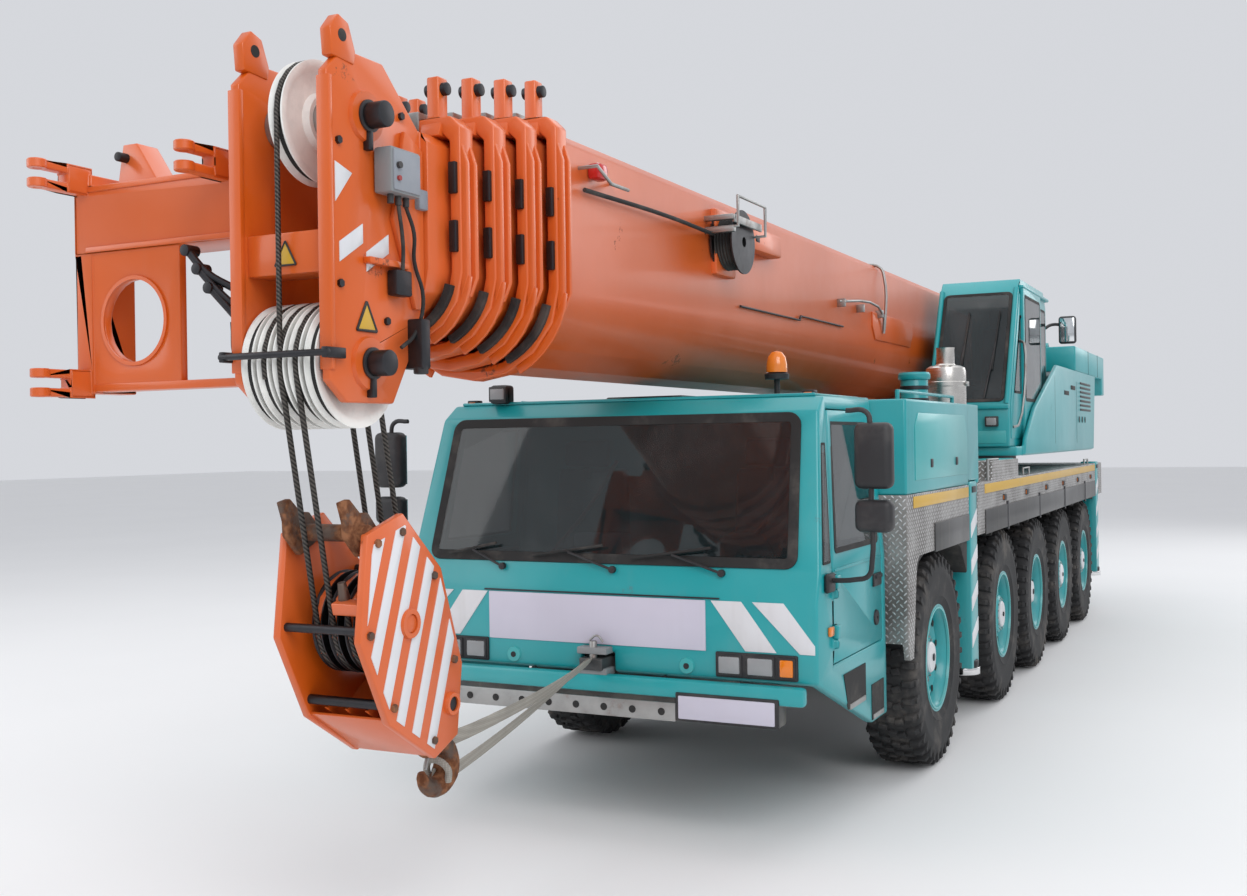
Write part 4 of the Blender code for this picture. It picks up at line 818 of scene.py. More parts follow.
@dataclass
class RunningGear(Assembly):
    """Ten wide tyres on teal rims, with axles, knuckles and struts."""

    radius: float = 0.685
    carcass: float = 0.662
    half_width: float = 0.18
    lugs: int = 38
    hubs: tuple[Hub, ...] = (Hub.RECESSED, Hub.PLANETARY, Hub.RECESSED, Hub.PLANETARY, Hub.PLANETARY)

    def tyre(self) -> bpy.types.Object:
        """The tyre about the origin, its outer side towards +X, with cut lugs."""
        w = self.half_width
        wall = [(0.322, 0.128), (0.345, 0.158), (0.385, 0.170), (0.400, 0.176), (0.412, 0.172), (0.47, 0.1775),
                (0.54, 0.1785), (0.548, 0.1798), (0.560, 0.1782), (0.605, 0.172), (0.635, 0.160), (0.652, 0.140)]
        ring = wall + [(self.carcass, 0.10), (self.carcass + 0.003, 0.0), (self.carcass, -0.10)]
        ring += [(r, -a) for r, a in reversed(wall)] + [(0.312, -0.11), (0.312, 0.11)]
        parts = [turned("tyre", ring, (0, 0, 0), Axis.X, 76)]
        step = 360 / self.lugs
        top, low = self.radius - 0.001, self.carcass - 0.02
        outer = plate(
            "lug", [(-0.021, low), (0.021, low), (0.017, top), (-0.017, top)], Axis.X, 0.092, 0.150, 0.004, 1
        )
        shoulder = plate(
            "lug", [(-0.016, 0.585), (0.016, 0.585), (0.020, 0.655), (-0.020, 0.655)], Axis.X, 0.145,
            w - 0.003, 0.004, 1
        )
        shoulder.data.transform(Matrix.Rotation(math.radians(0), 4, "X"))
        bridge = plate(
            "lug", [(0.140, low), (0.152, low), (w - 0.008, 0.640), (w - 0.022, 0.668), (0.146, top)],
            Axis.Y, -0.019, 0.019, 0.003, 1
        )
        middle = plate(
            "lug", [(-0.024, low), (0.020, low), (0.024, top), (-0.018, top)], Axis.X, 0.030, 0.084, 0.004, 1
        )
        centre = plate(
            "lug", [(-0.022, low), (0.022, low), (0.019, top), (-0.019, top)], Axis.X, -0.026, 0.026, 0.004,
            1
        )
        skew = Matrix.Rotation(math.radians(16), 4, "Z")
        middle.data.transform(skew)
        centre.data.transform(Matrix.Rotation(math.radians(-14), 4, "Z"))
        seeds = []
        for seed, offset, flip in ((outer, 0, False), (shoulder, 0, False), (bridge, 0, False), (middle, 0.5, False),
                                   (centre, 0.22, False), (outer, 0.4, True), (shoulder, 0.4, True),
                                   (bridge, 0.4, True), (middle, 0.9, True)):
            turn = Matrix.Rotation(math.radians(step * offset), 4, "X")
            seeds.append(
                copied(seed, "seed", turn @ (Matrix.Scale(-1, 4, (1, 0, 0)) if flip else Matrix.Identity(4)))
            )
        cluster = joined("cluster", seeds)
        for index in range(self.lugs):
            parts.append(copied(cluster, "lugs", Matrix.Rotation(math.radians(step * index), 4, "X")))
        for seed in (outer, shoulder, bridge, middle, centre, cluster):
            bpy.data.objects.remove(seed)
        return self.put("tyre_rubber", joined("tyre", parts))

    def rim(self, hub: Hub) -> Parts:
        """The rim, disc, hub and nuts about the origin, outwards towards +X."""
        flange = [(0.352, 0.150), (0.345, 0.160), (0.334, 0.158), (0.326, 0.140), (0.318, 0.118), (0.306, 0.100),
                  (0.302, 0.0), (0.312, -0.12), (0.345, -0.155), (0.336, -0.160), (0.302, -0.125), (0.290, 0.0),
                  (0.294, 0.106), (0.312, 0.136), (0.322, 0.152)]
        parts = [self.put("teal_paint", turned("rim", flange, (0, 0, 0), Axis.X, 64, 50))]
        lock = turned(
            "lock", [(0.335, 0.150), (0.330, 0.163), (0.318, 0.163), (0.314, 0.148)], (0, 0, 0), Axis.X, 64
        )
        parts.append(self.put("light_teal_paint", lock))
        dish = [(0.300, 0.055), (0.285, 0.078), (0.262, 0.086), (0.240, 0.072), (0.215, 0.052), (0.165, 0.050),
                (0.02, 0.050), (0.02, 0.030), (0.22, 0.030), (0.262, 0.062), (0.294, 0.035)]
        parts.append(self.put("teal_paint", turned("dish", dish, (0, 0, 0), Axis.X, 64, 35)))
        # painted shade: the disc's ten round holes are black discs laid on the dish, standing for the shade inside
        # the wheel
        for index in range(10):
            turn = math.tau * index / 10
            y, z = 0.263 * math.cos(turn), 0.263 * math.sin(turn)
            parts.append(self.put("black_rubber", bar("slot", (0.0855, y, z), (0.0885, y, z), 0.022, 20)))
        parts += self.shop.nuts((0.052, 0, 0), 0.192, 20, 0.0135, 0.022, 1, "grey_paint")
        if hub is Hub.RECESSED:
            drum = [
                (0.165, 0.045), (0.165, 0.070), (0.150, 0.088), (0.118, 0.092), (0.02, 0.092), (0.02, 0.040)
            ]
            cap = [(0.100, 0.085), (0.100, 0.116), (0.090, 0.126), (0.02, 0.130), (0.02, 0.085)]
            parts.append(self.put("teal_paint", turned("drum", drum, (0, 0, 0), Axis.X, 48)))
            parts.append(self.put("white_paint", turned("cap", cap, (0, 0, 0), Axis.X, 40)))
            parts.append(self.put("dark_steel", bar("plug", (0.126, 0, 0), (0.138, 0, 0), 0.024, 6)))
            parts += self.shop.nuts((0.090, 0, 0), 0.132, 12, 0.008, 0.012, 1)
        else:
            drum = [
                (0.170, 0.045), (0.170, 0.085), (0.158, 0.100), (0.150, 0.128), (0.132, 0.140),
                (0.02, 0.142), (0.02, 0.040)
            ]
            cap = [(0.104, 0.138), (0.104, 0.150), (0.094, 0.158), (0.02, 0.160), (0.02, 0.136)]
            parts.append(self.put("teal_paint", turned("drum", drum, (0, 0, 0), Axis.X, 48)))
            parts.append(self.put("white_paint", turned("cap", cap, (0, 0, 0), Axis.X, 40)))
            parts += self.shop.nuts((0.136, 0, 0), 0.124, 14, 0.0075, 0.011, 1)
            parts.append(self.put("dark_steel", bar("plug", (0.158, 0, 0), (0.168, 0, 0), 0.020, 6)))
        back = [(0.21, -0.02), (0.21, -0.17), (0.17, -0.178), (0.02, -0.178), (0.02, -0.02)]
        parts.append(self.put("forged_iron", turned("brake_drum", back, (0, 0, 0), Axis.X, 40)))
        return parts

    def build(self) -> None:
        """Make two wheels, copy them to ten places, and finish the axles."""
        tyre = self.tyre()
        models = {}
        for hub in Hub:
            models[hub] = joined(
                f"wheel_{hub.value}", [copied(tyre, "tyre_copy", Matrix.Identity(4)), *self.rim(hub)]
            )
        for number, hub in enumerate(self.hubs, 1):
            for side, name in SIDES:
                node = f"wheel_{number}_{name}"
                low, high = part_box(node)
                centre = (low + high) / 2
                turn = Matrix.Rotation(math.radians(37 * number + 11 * side), 4, "X")
                flip = Matrix.Scale(side, 4, (1, 0, 0)) if side < 0 else Matrix.Identity(4)
                wheel = copied(models[hub], node + "_finished", Matrix.Translation(centre) @ flip @ turn)
                self.shop.fit(node + "_finished", node, [wheel], node)
        for made in (tyre, *models.values()):
            bpy.data.objects.remove(made)
        for number in range(1, 6):
            self.shop.dress(f"axle_{number}", "frame_grey", 0.012, self.struts(number))
            for _, name in SIDES:
                if f"knuckle_{number}_{name}" in self.shop.nodes:
                    self.shop.dress(f"knuckle_{number}_{name}", "frame_grey", 0.008)

    def struts(self, number: int) -> Parts:
        """The suspension cylinders' dark rods, boots and hoses over an axle."""
        low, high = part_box(f"axle_{number}")
        s = (low.y + high.y) / 2 - self.shop.front
        parts = []
        for side, _ in SIDES:
            x = side * 0.62
            parts.append(
                self.run(
                    "black_rubber",
                    [
                        (x, s + 0.13, 1.20), (x + side * 0.05, s + 0.20, 1.0),
                        (x + side * 0.12, s + 0.12, 0.78)
                    ],
                    0.014
                )
            )
            parts.append(
                self.rod(
                    "dark_steel", (x - side * 0.25, s + 0.19, 0.72), (x - side * 0.10, s + 0.19, 1.16), 0.03
                )
            )
        return parts


# ---- studio -------------------------------------------------------------------------------
@dataclass
class Studio(Assembly):
    """The pale floor, the soft lights and the camera."""

    place: Point = (3.312, -6.291, 2.116)
    yaw: float = 26.50
    pitch: float = -0.07
    roll: float = -0.85
    lens: float = 37.67
    shift: Pair = (0.0, -0.0032)

    def build(self) -> None:
        """Make the floor, the lights, the world and the camera."""
        deselect()
        bpy.ops.mesh.primitive_plane_add(size=160.0, location=(0, 0, -0.001))
        floor = settle(bpy.context.object, "studio_floor")
        r = Recipe("studio_floor")
        shade = r.mix(r.noise(0.4), (0.80, 0.80, 0.80), (0.84, 0.84, 0.84))
        floor.data.materials.append(r.shade({"Base Color": shade, "Roughness": 0.75 + r.noise(3.0) * 0.1}))
        world = bpy.data.worlds.new("studio_world")
        bpy.context.scene.world = world
        world.use_nodes = True
        world.node_tree.nodes["Background"].inputs[0].default_value = (0.93, 0.95, 1.0, 1.0)
        world.node_tree.nodes["Background"].inputs[1].default_value = 0.72
        for name, x, s, z, size, power in (("key", 9.0, -9.0, 11.0, 9.0, 1000.0), (
            "fill", -11.0, -6.0, 8.0, 10.0, 420.0
        ),
                                           (
                                               "top", 0.0, 6.0, 13.0, 14.0, 600.0
                                           ), ("rear", 8.0, 20.0, 9.0, 9.0, 500.0)):
            light = bpy.data.lights.new(f"studio_{name}", "AREA")
            light.energy, light.size = power, size
            lamp = bpy.data.objects.new(f"studio_{name}", light)
            bpy.context.scene.collection.objects.link(lamp)
            lamp.location = self.shop.at(x, s, z)
            target = Vector(self.shop.at(0.0, 3.0 if s < 15 else 8.0, 1.5))
            lamp.rotation_euler = (target - lamp.location).to_track_quat("-Z", "Y").to_euler()
        lens = bpy.data.cameras.new("camera")
        lens.lens, lens.sensor_width, lens.clip_end = self.lens, 36.0, 300.0
        lens.shift_x, lens.shift_y = self.shift
        camera = bpy.data.objects.new("camera", lens)
        bpy.context.scene.collection.objects.link(camera)
        camera.location = self.shop.at(*self.place)
        yaw, pitch, roll = map(math.radians, (self.yaw, self.pitch, self.roll))
        forward = Vector((-math.sin(yaw) * math.cos(pitch), math.cos(yaw) * math.cos(pitch), math.sin(pitch)))
        right = forward.cross(Vector((0, 0, 1))).normalized()
        up = right.cross(forward)
        right, up = right * math.cos(roll) + up * math.sin(roll), up * math.cos(roll) - right * math.sin(roll)
        camera.rotation_euler = Matrix((right, up, -forward)).transposed().to_euler()
        bpy.context.scene.camera = camera
        bpy.context.scene.view_settings.view_transform = "Standard"


# ---- windows and lamps ---------------------------------------------------------------------
def pane(
    corners: list[Point], border: float, radius: float, thickness: float = 0.012
) -> tuple[bpy.types.Object, bpy.types.Object]:
    """A flat window: a border ring and the glass inside it.

    Args:
        corners: the outer corners in order, seen from outside.
        border: the ring's width.
        radius: the rounding of the outer corners.
        thickness: how thick both are, inwards from the corners' plane.

    Returns:
        The ring and the glass.
    """
    deselect()
    bpy.ops.mesh.primitive_circle_add(vertices=len(corners), radius=1.0, fill_type="NGON")
    ring = bpy.context.object
    for vertex, corner in zip(ring.data.vertices, corners):
        vertex.co = corner
    bpy.ops.object.mode_set(mode="EDIT")
    bpy.ops.mesh.select_all(action="SELECT")
    bpy.ops.mesh.bevel(offset=radius, segments=5, affect="VERTICES")
    bpy.ops.mesh.select_all(action="SELECT")
    bpy.ops.mesh.inset(thickness=border, depth=0.0)
    bpy.ops.mesh.separate(type="SELECTED")
    bpy.ops.object.mode_set(mode="OBJECT")
    glass = next(o for o in bpy.context.selected_objects if o is not ring)
    settle(ring, "ring")
    settle(glass, "glass")
    for piece, depth in ((ring, thickness), (glass, thickness * 0.5)):
        choose(piece)
        wall = piece.modifiers.new("Thickness", "SOLIDIFY")
        wall.thickness, wall.offset = depth, -1.0
        bpy.ops.object.modifier_apply(modifier=wall.name)
    soften(ring, 0.002, 1, 50)
    return ring, glass


@dataclass
class Glazed(Assembly):
    """A sub-assembly with windows."""

    def window(self, corners: list[Point], border: float = 0.035, radius: float = 0.05, trim: str = "black_rubber",
               thickness: float = 0.012) -> Parts:
        """A window from its (x, s, z) corners, with its ring in a finish."""
        ring, glass = pane([self.shop.at(*c) for c in corners], border, radius, thickness)
        return [self.put(trim, ring), self.put("cab_glass", glass)]

    def lamp(
        self, low: Point, high: Point, lens: str, body: str = "black_plastic", inset: float = 0.012
    ) -> Parts:
        """A forward-facing lamp: a dark housing with a rounded lens in its front."""
        middle_x, middle_z = (low[0] + high[0]) / 2, (low[2] + high[2]) / 2
        width, height = high[0] - low[0] - 2 * inset, high[2] - low[2] - 2 * inset
        front = low[1]
        parts = [self.slab(body, low, high, 0.006)]
        parts.append(self.slab(lens, (middle_x - width / 2, front - 0.007, middle_z - height / 2),
                               (middle_x + width / 2, front + 0.01, middle_z + height / 2), 0.008))
        if lens == "clear_lens":
            radius = min(width, height) * 0.42
            centre = self.shop.at(middle_x, front + 0.004, middle_z)
            bowl = [
                (radius, 0.006), (radius * 0.9, 0.0), (radius * 0.45, -0.003), (0.004, -0.004),
                (0.004, -0.012), (radius, -0.012)
            ]
            parts.append(self.put("chrome", turned("bowl", bowl, centre, Axis.Y, 28)))
        return parts


# ---- carrier cab --------------------------------------------------------------------------
@dataclass
class CarrierCab(Glazed):
    """The low front cab with its doors, glass, lamps, mirrors and inside."""

    half: float = 1.25
    panel_x: Pair = (-0.69, 0.64)
    panel_z: Pair = (1.02, 1.285)
    wipers: tuple[Pair, ...] = ((-0.62, -0.98), (0.08, -0.42), (0.72, 0.20))

    def lean(self, z: float) -> float:
        """How far in the cab's side leans at a height."""
        return 0.09 * max(0.0, z - 1.44) / 0.92

    def front(self, z: float) -> float:
        """How far back the cab's front is at a height."""
        if z <= 1.30:
            return 0.0
        return 0.05 * (z - 1.30) / 0.14 if z <= 1.44 else 0.05 + 0.24 * (z - 1.44) / 0.83

    def glass(self) -> Parts:
        """The windscreen in its black border, the quarter lights and the rear window."""
        out = 0.010
        low, high = 1.455, 2.265
        screen = [(-1.13, self.front(low) - out, low), (1.13, self.front(low) - out, low),
                  (1.085, self.front(high) - out, high), (-1.085, self.front(high) - out, high)]
        parts = self.window(screen, 0.055, 0.07)
        for side, _ in SIDES:
            quarter = []
            for s, z in ((0.100, 1.475), (0.222, 1.475), (0.345, 2.10), (0.272, 2.10)):
                quarter.append((side * (self.half - self.lean(z) + 0.006), s, z))
            parts += self.window(quarter if side > 0 else quarter[::-1], 0.014, 0.012, thickness=0.008)
        parts += self.window(
            [(0.95, 1.288, 1.62), (-0.95, 1.288, 1.62), (-0.90, 1.288, 2.15), (0.90, 1.288, 2.15)], 0.03,
            0.05
        )
        return parts

    def markings(self) -> Parts:
        """The blank name panel, its dark line, and the slanted stripes to the corners."""
        (x0, x1), (z0, z1) = self.panel_x, self.panel_z
        parts = [self.slab("panel_paint", (x0, -0.007, z0), (x1, 0.003, z1), 0.004)]
        slants = ([(0.67, 1.285), (0.84, 1.285), (1.03, 1.03), (0.86, 1.03)],
                  [(0.90, 1.285), (1.07, 1.285), (1.235, 1.075), (1.235, 1.03), (1.155, 1.03)])
        for slant in slants:
            band = self.face("white_paint", slant, -0.004, 0.002, 0.0015)
            parts.append(band)
            parts.append(
                self.face("white_paint", [(-x - 0.03, z) for x, z in slant][::-1], -0.004, 0.002, 0.0015)
            )
        parts.append(self.slab("dark_steel", (-0.72, -0.0075, 1.292), (0.72, 0.001, 1.300), 0.002))
        return parts

    def lights(self) -> Parts:
        """Headlamp groups, their corner lamps, the lifting eye covers and the roof lamps."""
        parts: Parts = []
        for side, _ in SIDES:
            x0, x1 = sorted((side * 0.695, side * 1.145))
            parts.append(self.slab("black_plastic", (x0, -0.012, 0.890), (x1, 0.02, 1.022), 0.008))
            for near, far, lens in (
                (0.705, 0.845, "clear_lens"), (0.865, 1.025, "clear_lens"), (1.04, 1.135, "amber_lens")
            ):
                a, b = sorted((side * near, side * far))
                parts += self.lamp((a, -0.020, 0.900), (b, 0.0, 1.012), lens)
            centre = self.shop.at(side * 0.53, 0.0, 0.935)
            parts.append(
                self.put(
                    "light_teal_paint",
                    turned(
                        "cover", [(0.045, 0.0), (0.040, 0.010), (0.01, 0.012), (0.01, 0.0)], centre, Axis.Y,
                        32
                    )
                )
            )
            parts.append(
                self.rod("dark_steel", (side * 0.53, -0.014, 0.935), (side * 0.53, 0.0, 0.935), 0.016)
            )
            parts += self.lamp(
                *((side * 1.07 - 0.035, 0.435, 2.352), (side * 1.07 + 0.035, 0.50, 2.385)), "amber_lens"
            )
            parts.append(
                self.rod("black_plastic", (side * 0.40, -0.016, 0.865), (side * 0.40, 0.01, 0.865), 0.012)
            )
        parts.append(self.slab("black_plastic", (-0.90, 0.36, 2.355), (-0.78, 0.46, 2.47), 0.02))
        parts += self.lamp((-0.90, 0.352, 2.37), (-0.78, 0.40, 2.46), "clear_lens")
        return parts

    def beacon(self) -> Parts:
        """The amber turning lamp on its stalk."""
        x, s = 0.73, 0.90
        dome = [(0.062, 0.0), (0.060, 0.05), (0.052, 0.09), (0.03, 0.118), (0.004, 0.125), (0.004, 0.0)]
        base = [(0.07, -0.03), (0.072, 0.0), (0.05, 0.01), (0.004, 0.01), (0.004, -0.03)]
        parts = [self.rod("black_plastic", (x, s, 2.35), (x, s, 2.49), 0.017)]
        parts.append(self.put("black_plastic", turned("base", base, self.shop.at(x, s, 2.50), Axis.Z, 32)))
        parts.append(self.put("amber_lens", turned("dome", dome, self.shop.at(x, s, 2.51), Axis.Z, 32)))
        return parts

    def wipers_and_rails(self) -> Parts:
        """Three parked wipers, the grab rails and the roof gutter."""
        parts: Parts = []
        for pivot, tip in self.wipers:
            z0, z1 = 1.425, 1.50
            s0, s1 = self.front(z0) - 0.022, self.front(z1) - 0.034
            parts.append(
                self.rod("black_plastic", (pivot, s0 + 0.02, z0), (pivot, s0 - 0.006, z0), 0.02, 16, 0.003)
            )
            middle = (pivot + (tip - pivot) * 0.55, s1 - 0.002, z1 + 0.015)
            parts.append(self.run("black_plastic", [(pivot, s0, z0), middle], 0.0075, False))
            parts.append(
                self.run(
                    "black_rubber",
                    [(pivot + (tip - pivot) * 0.12, s1 + 0.004, z1 + 0.055), (tip, s1 + 0.001, z1 - 0.01)],
                    0.008, False
                )
            )
        parts.append(self.slab("teal_paint", (-1.12, 0.405, 2.350), (1.12, 0.425, 2.368), 0.006))
        for x in (-1.1, 1.1):
            parts.append(
                self.slab("light_teal_paint", (x - 0.012, 0.45, 2.352), (x + 0.012, 1.25, 2.366), 0.005)
            )
        for x in (-0.55, 0.0, 0.55):
            parts.append(self.slab("teal_paint", (x - 0.03, 0.50, 2.353), (x + 0.03, 1.22, 2.364), 0.005))
        parts.append(self.slab("black_plastic", (-0.25, 0.62, 2.355), (0.25, 1.05, 2.385), 0.02))
        return parts

    def lower(self) -> Parts:
        """The perforated bumper strip, blank plate, hitch, steps and side fittings."""
        parts = [self.slab("zinc", (-1.02, -0.092, 0.655), (0.50, -0.080, 0.752), 0.004)]
        # painted shade: the strip's perforations are black discs laid on it, standing for the shade in the holes
        for index in range(9):
            x = -0.94 + index * 0.17
            parts.append(self.rod("black_rubber", (x, -0.094, 0.703), (x, -0.088, 0.703), 0.020))
        parts.append(self.slab("panel_paint", (0.52, -0.104, 0.675), (1.05, -0.092, 0.795), 0.012))
        parts.append(self.slab("black_plastic", (0.50, -0.094, 0.66), (1.07, -0.078, 0.81), 0.008))
        parts.append(self.slab("teal_paint", (-1.20, -0.085, 0.775), (1.20, -0.02, 0.872), 0.02))
        parts.append(self.slab("grey_paint", (-0.09, -0.075, 0.86), (0.09, 0.03, 0.90), 0.006))
        parts.append(self.slab("grey_paint", (-0.09, -0.075, 0.975), (0.09, 0.03, 1.012), 0.006))
        parts.append(self.rod("zinc", (0.0, -0.052, 0.84), (0.0, -0.052, 1.045), 0.021, 16, 0.004))
        parts.append(
            self.run("zinc", [(-0.02, -0.052, 1.05), (0.03, -0.06, 1.075), (0.06, -0.05, 1.04)], 0.006)
        )
        for side, _ in SIDES:
            x0, x1 = sorted((side * (self.half - 0.004), side * (self.half + 0.004)))
            for step in (
                [(0.50, 0.665), (0.83, 0.66), (0.83, 0.865), (0.42, 0.865)],
                [(0.95, 0.52), (1.20, 0.52), (1.20, 0.72), (0.95, 0.72)]
            ):
                parts.append(self.side("black_rubber", step, x0, x1, 0.0))
                low_z = min(z for _, z in step)
                left, right = step[0][0], step[1][0]
                parts.append(
                    self.slab(
                        "zinc", (x0 + side * 0.004, left + 0.02, low_z),
                        (x1 + side * 0.006, right - 0.02, low_z + 0.03), 0.004
                    )
                )
            lock = self.shop.at(side * self.half, 1.06, 1.09)
            parts.append(
                self.put(
                    "dark_steel",
                    turned(
                        "cap", [(0.045, 0.0), (0.043, 0.010), (0.01, 0.012), (0.01, 0.0)],
                        (lock[0] + (0.0 if side > 0 else -0.012), lock[1], lock[2]), Axis.X, 28
                    )
                )
            )
            parts.append(
                self.slab(
                    "amber_lens", (x0 + side * 0.004, 0.16, 1.10), (x1 + side * 0.014, 0.23, 1.15), 0.008
                )
            )
        return parts

    def doors(self) -> None:
        """The two doors with their glass, handles and seals."""
        for side, name in SIDES:
            corners = []
            for s, z in ((0.315, 1.515), (1.145, 1.515), (1.145, 2.225), (0.462, 2.225)):
                corners.append((side * (self.half - self.lean(z) + 0.005), s, z))
            extra = self.window(corners if side > 0 else corners[::-1], 0.03, 0.035)
            x0, x1 = sorted((side * (self.half - 0.002), side * (self.half + 0.006)))
            extra.append(
                self.slab("black_plastic", (x0, 1.00, 1.27), (x1 + side * 0.008, 1.155, 1.345), 0.01)
            )
            extra.append(
                self.slab(
                    "dark_steel", (x0 + side * 0.006, 1.02, 1.315), (x1 + side * 0.018, 1.14, 1.338), 0.006
                )
            )
            extra.append(self.slab("teal_paint", (x0, 0.28, 1.425), (x1, 1.18, 1.44), 0.003))
            extra.append(
                self.slab(
                    "dash_plastic", (side * (self.half - 0.085), 0.32, 1.02),
                    (side * (self.half - 0.045), 1.14, 1.44), 0.02
                )
            )
            extra.append(
                self.slab(
                    "black_plastic", (side * (self.half - 0.12), 0.48, 1.26),
                    (side * (self.half - 0.08), 0.95, 1.31), 0.015
                )
            )
            self.shop.dress(f"cab_door_{name}", "teal_paint", 0.006, extra)

    def mirrors(self) -> None:
        """The mirror heads as rounded shells with glass, on bent arms."""
        for side, name in SIDES:
            reach = 1.485
            low, high, s = 1.391, 2.262, 0.172
            arm = [(side * (self.half + 0.004), s, low), (side * 1.40, s, low + 0.01), (
                side * (reach - 0.02), s, low + 0.03
            ),
                   (side * reach, s, low + 0.10), (side * reach, s, 1.8), (side * reach, s, high - 0.08),
                   (side * (reach - 0.02), s, high - 0.01), (side * 1.36, s, high)]
            parts = [self.run("black_plastic", arm, 0.0135)]
            parts.append(
                self.slab(
                    "black_plastic", (side * (self.half + 0.002), 0.10, 1.33),
                    (side * (self.half + 0.03), 0.22, 1.43), 0.012
                )
            )
            for z0, z1 in ((1.862, 2.198), (1.642, 1.808)):
                head = block(
                    "head", *self.shop.spread((side * 1.402, 0.132, z0), (side * 1.598, 0.236, z1)), 0.038, 4
                )
                parts.append(self.put("black_plastic", head))
                parts.append(
                    self.slab(
                        "mirror_glass", (side * 1.418, 0.232, z0 + 0.018),
                        (side * 1.582, 0.2395, z1 - 0.018), 0.006
                    )
                )
            self.shop.fit(f"mirror_{name}_finished", "carrier", parts, f"mirror_{name}")

    def inside(self) -> None:
        """The dashboard, the seats and the screens behind the glass."""
        extra = [self.slab("grey_plastic", (-0.30, 0.28, 1.38), (0.02, 0.40, 1.60), 0.02),
                 self.slab("black_plastic", (-0.28, 0.395, 1.40), (0.0, 0.405, 1.58), 0.006)]
        for index in range(5):
            extra.append(
                self.slab(
                    "dark_steel", (-0.95, 0.15, 1.36 + 0.035 * index), (-0.60, 0.16, 1.375 + 0.035 * index),
                    0.002
                )
            )
        self.shop.dress("cab_dashboard", "dash_plastic", 0.012, extra)
        backs = []
        for side, _ in SIDES:
            x = side * 0.62
            backs.append(self.slab("seat_cloth", (x - 0.16, 1.04, 1.96), (x + 0.16, 1.12, 2.13), 0.035))
            backs.append(self.slab("black_plastic", (x - 0.02, 1.07, 1.88), (x + 0.02, 1.09, 2.0), 0.006))
            backs.append(
                self.run(
                    "red_paint", [(x + 0.2, 1.10, 2.0), (x + 0.05, 0.98, 1.7), (x - 0.2, 0.95, 1.42)], 0.014
                )
            )
        self.shop.dress("cab_seats", "seat_cloth", 0.035, backs)

    def build(self) -> None:
        """Make the whole cab."""
        extra = [
            *self.glass(), *self.markings(), *self.lights(), *self.beacon(), *self.wipers_and_rails(),
            *self.lower()
        ]
        self.shop.dress("carrier_cab", "teal_paint", 0.014, extra)
        self.doors()
        self.mirrors()
        self.inside()


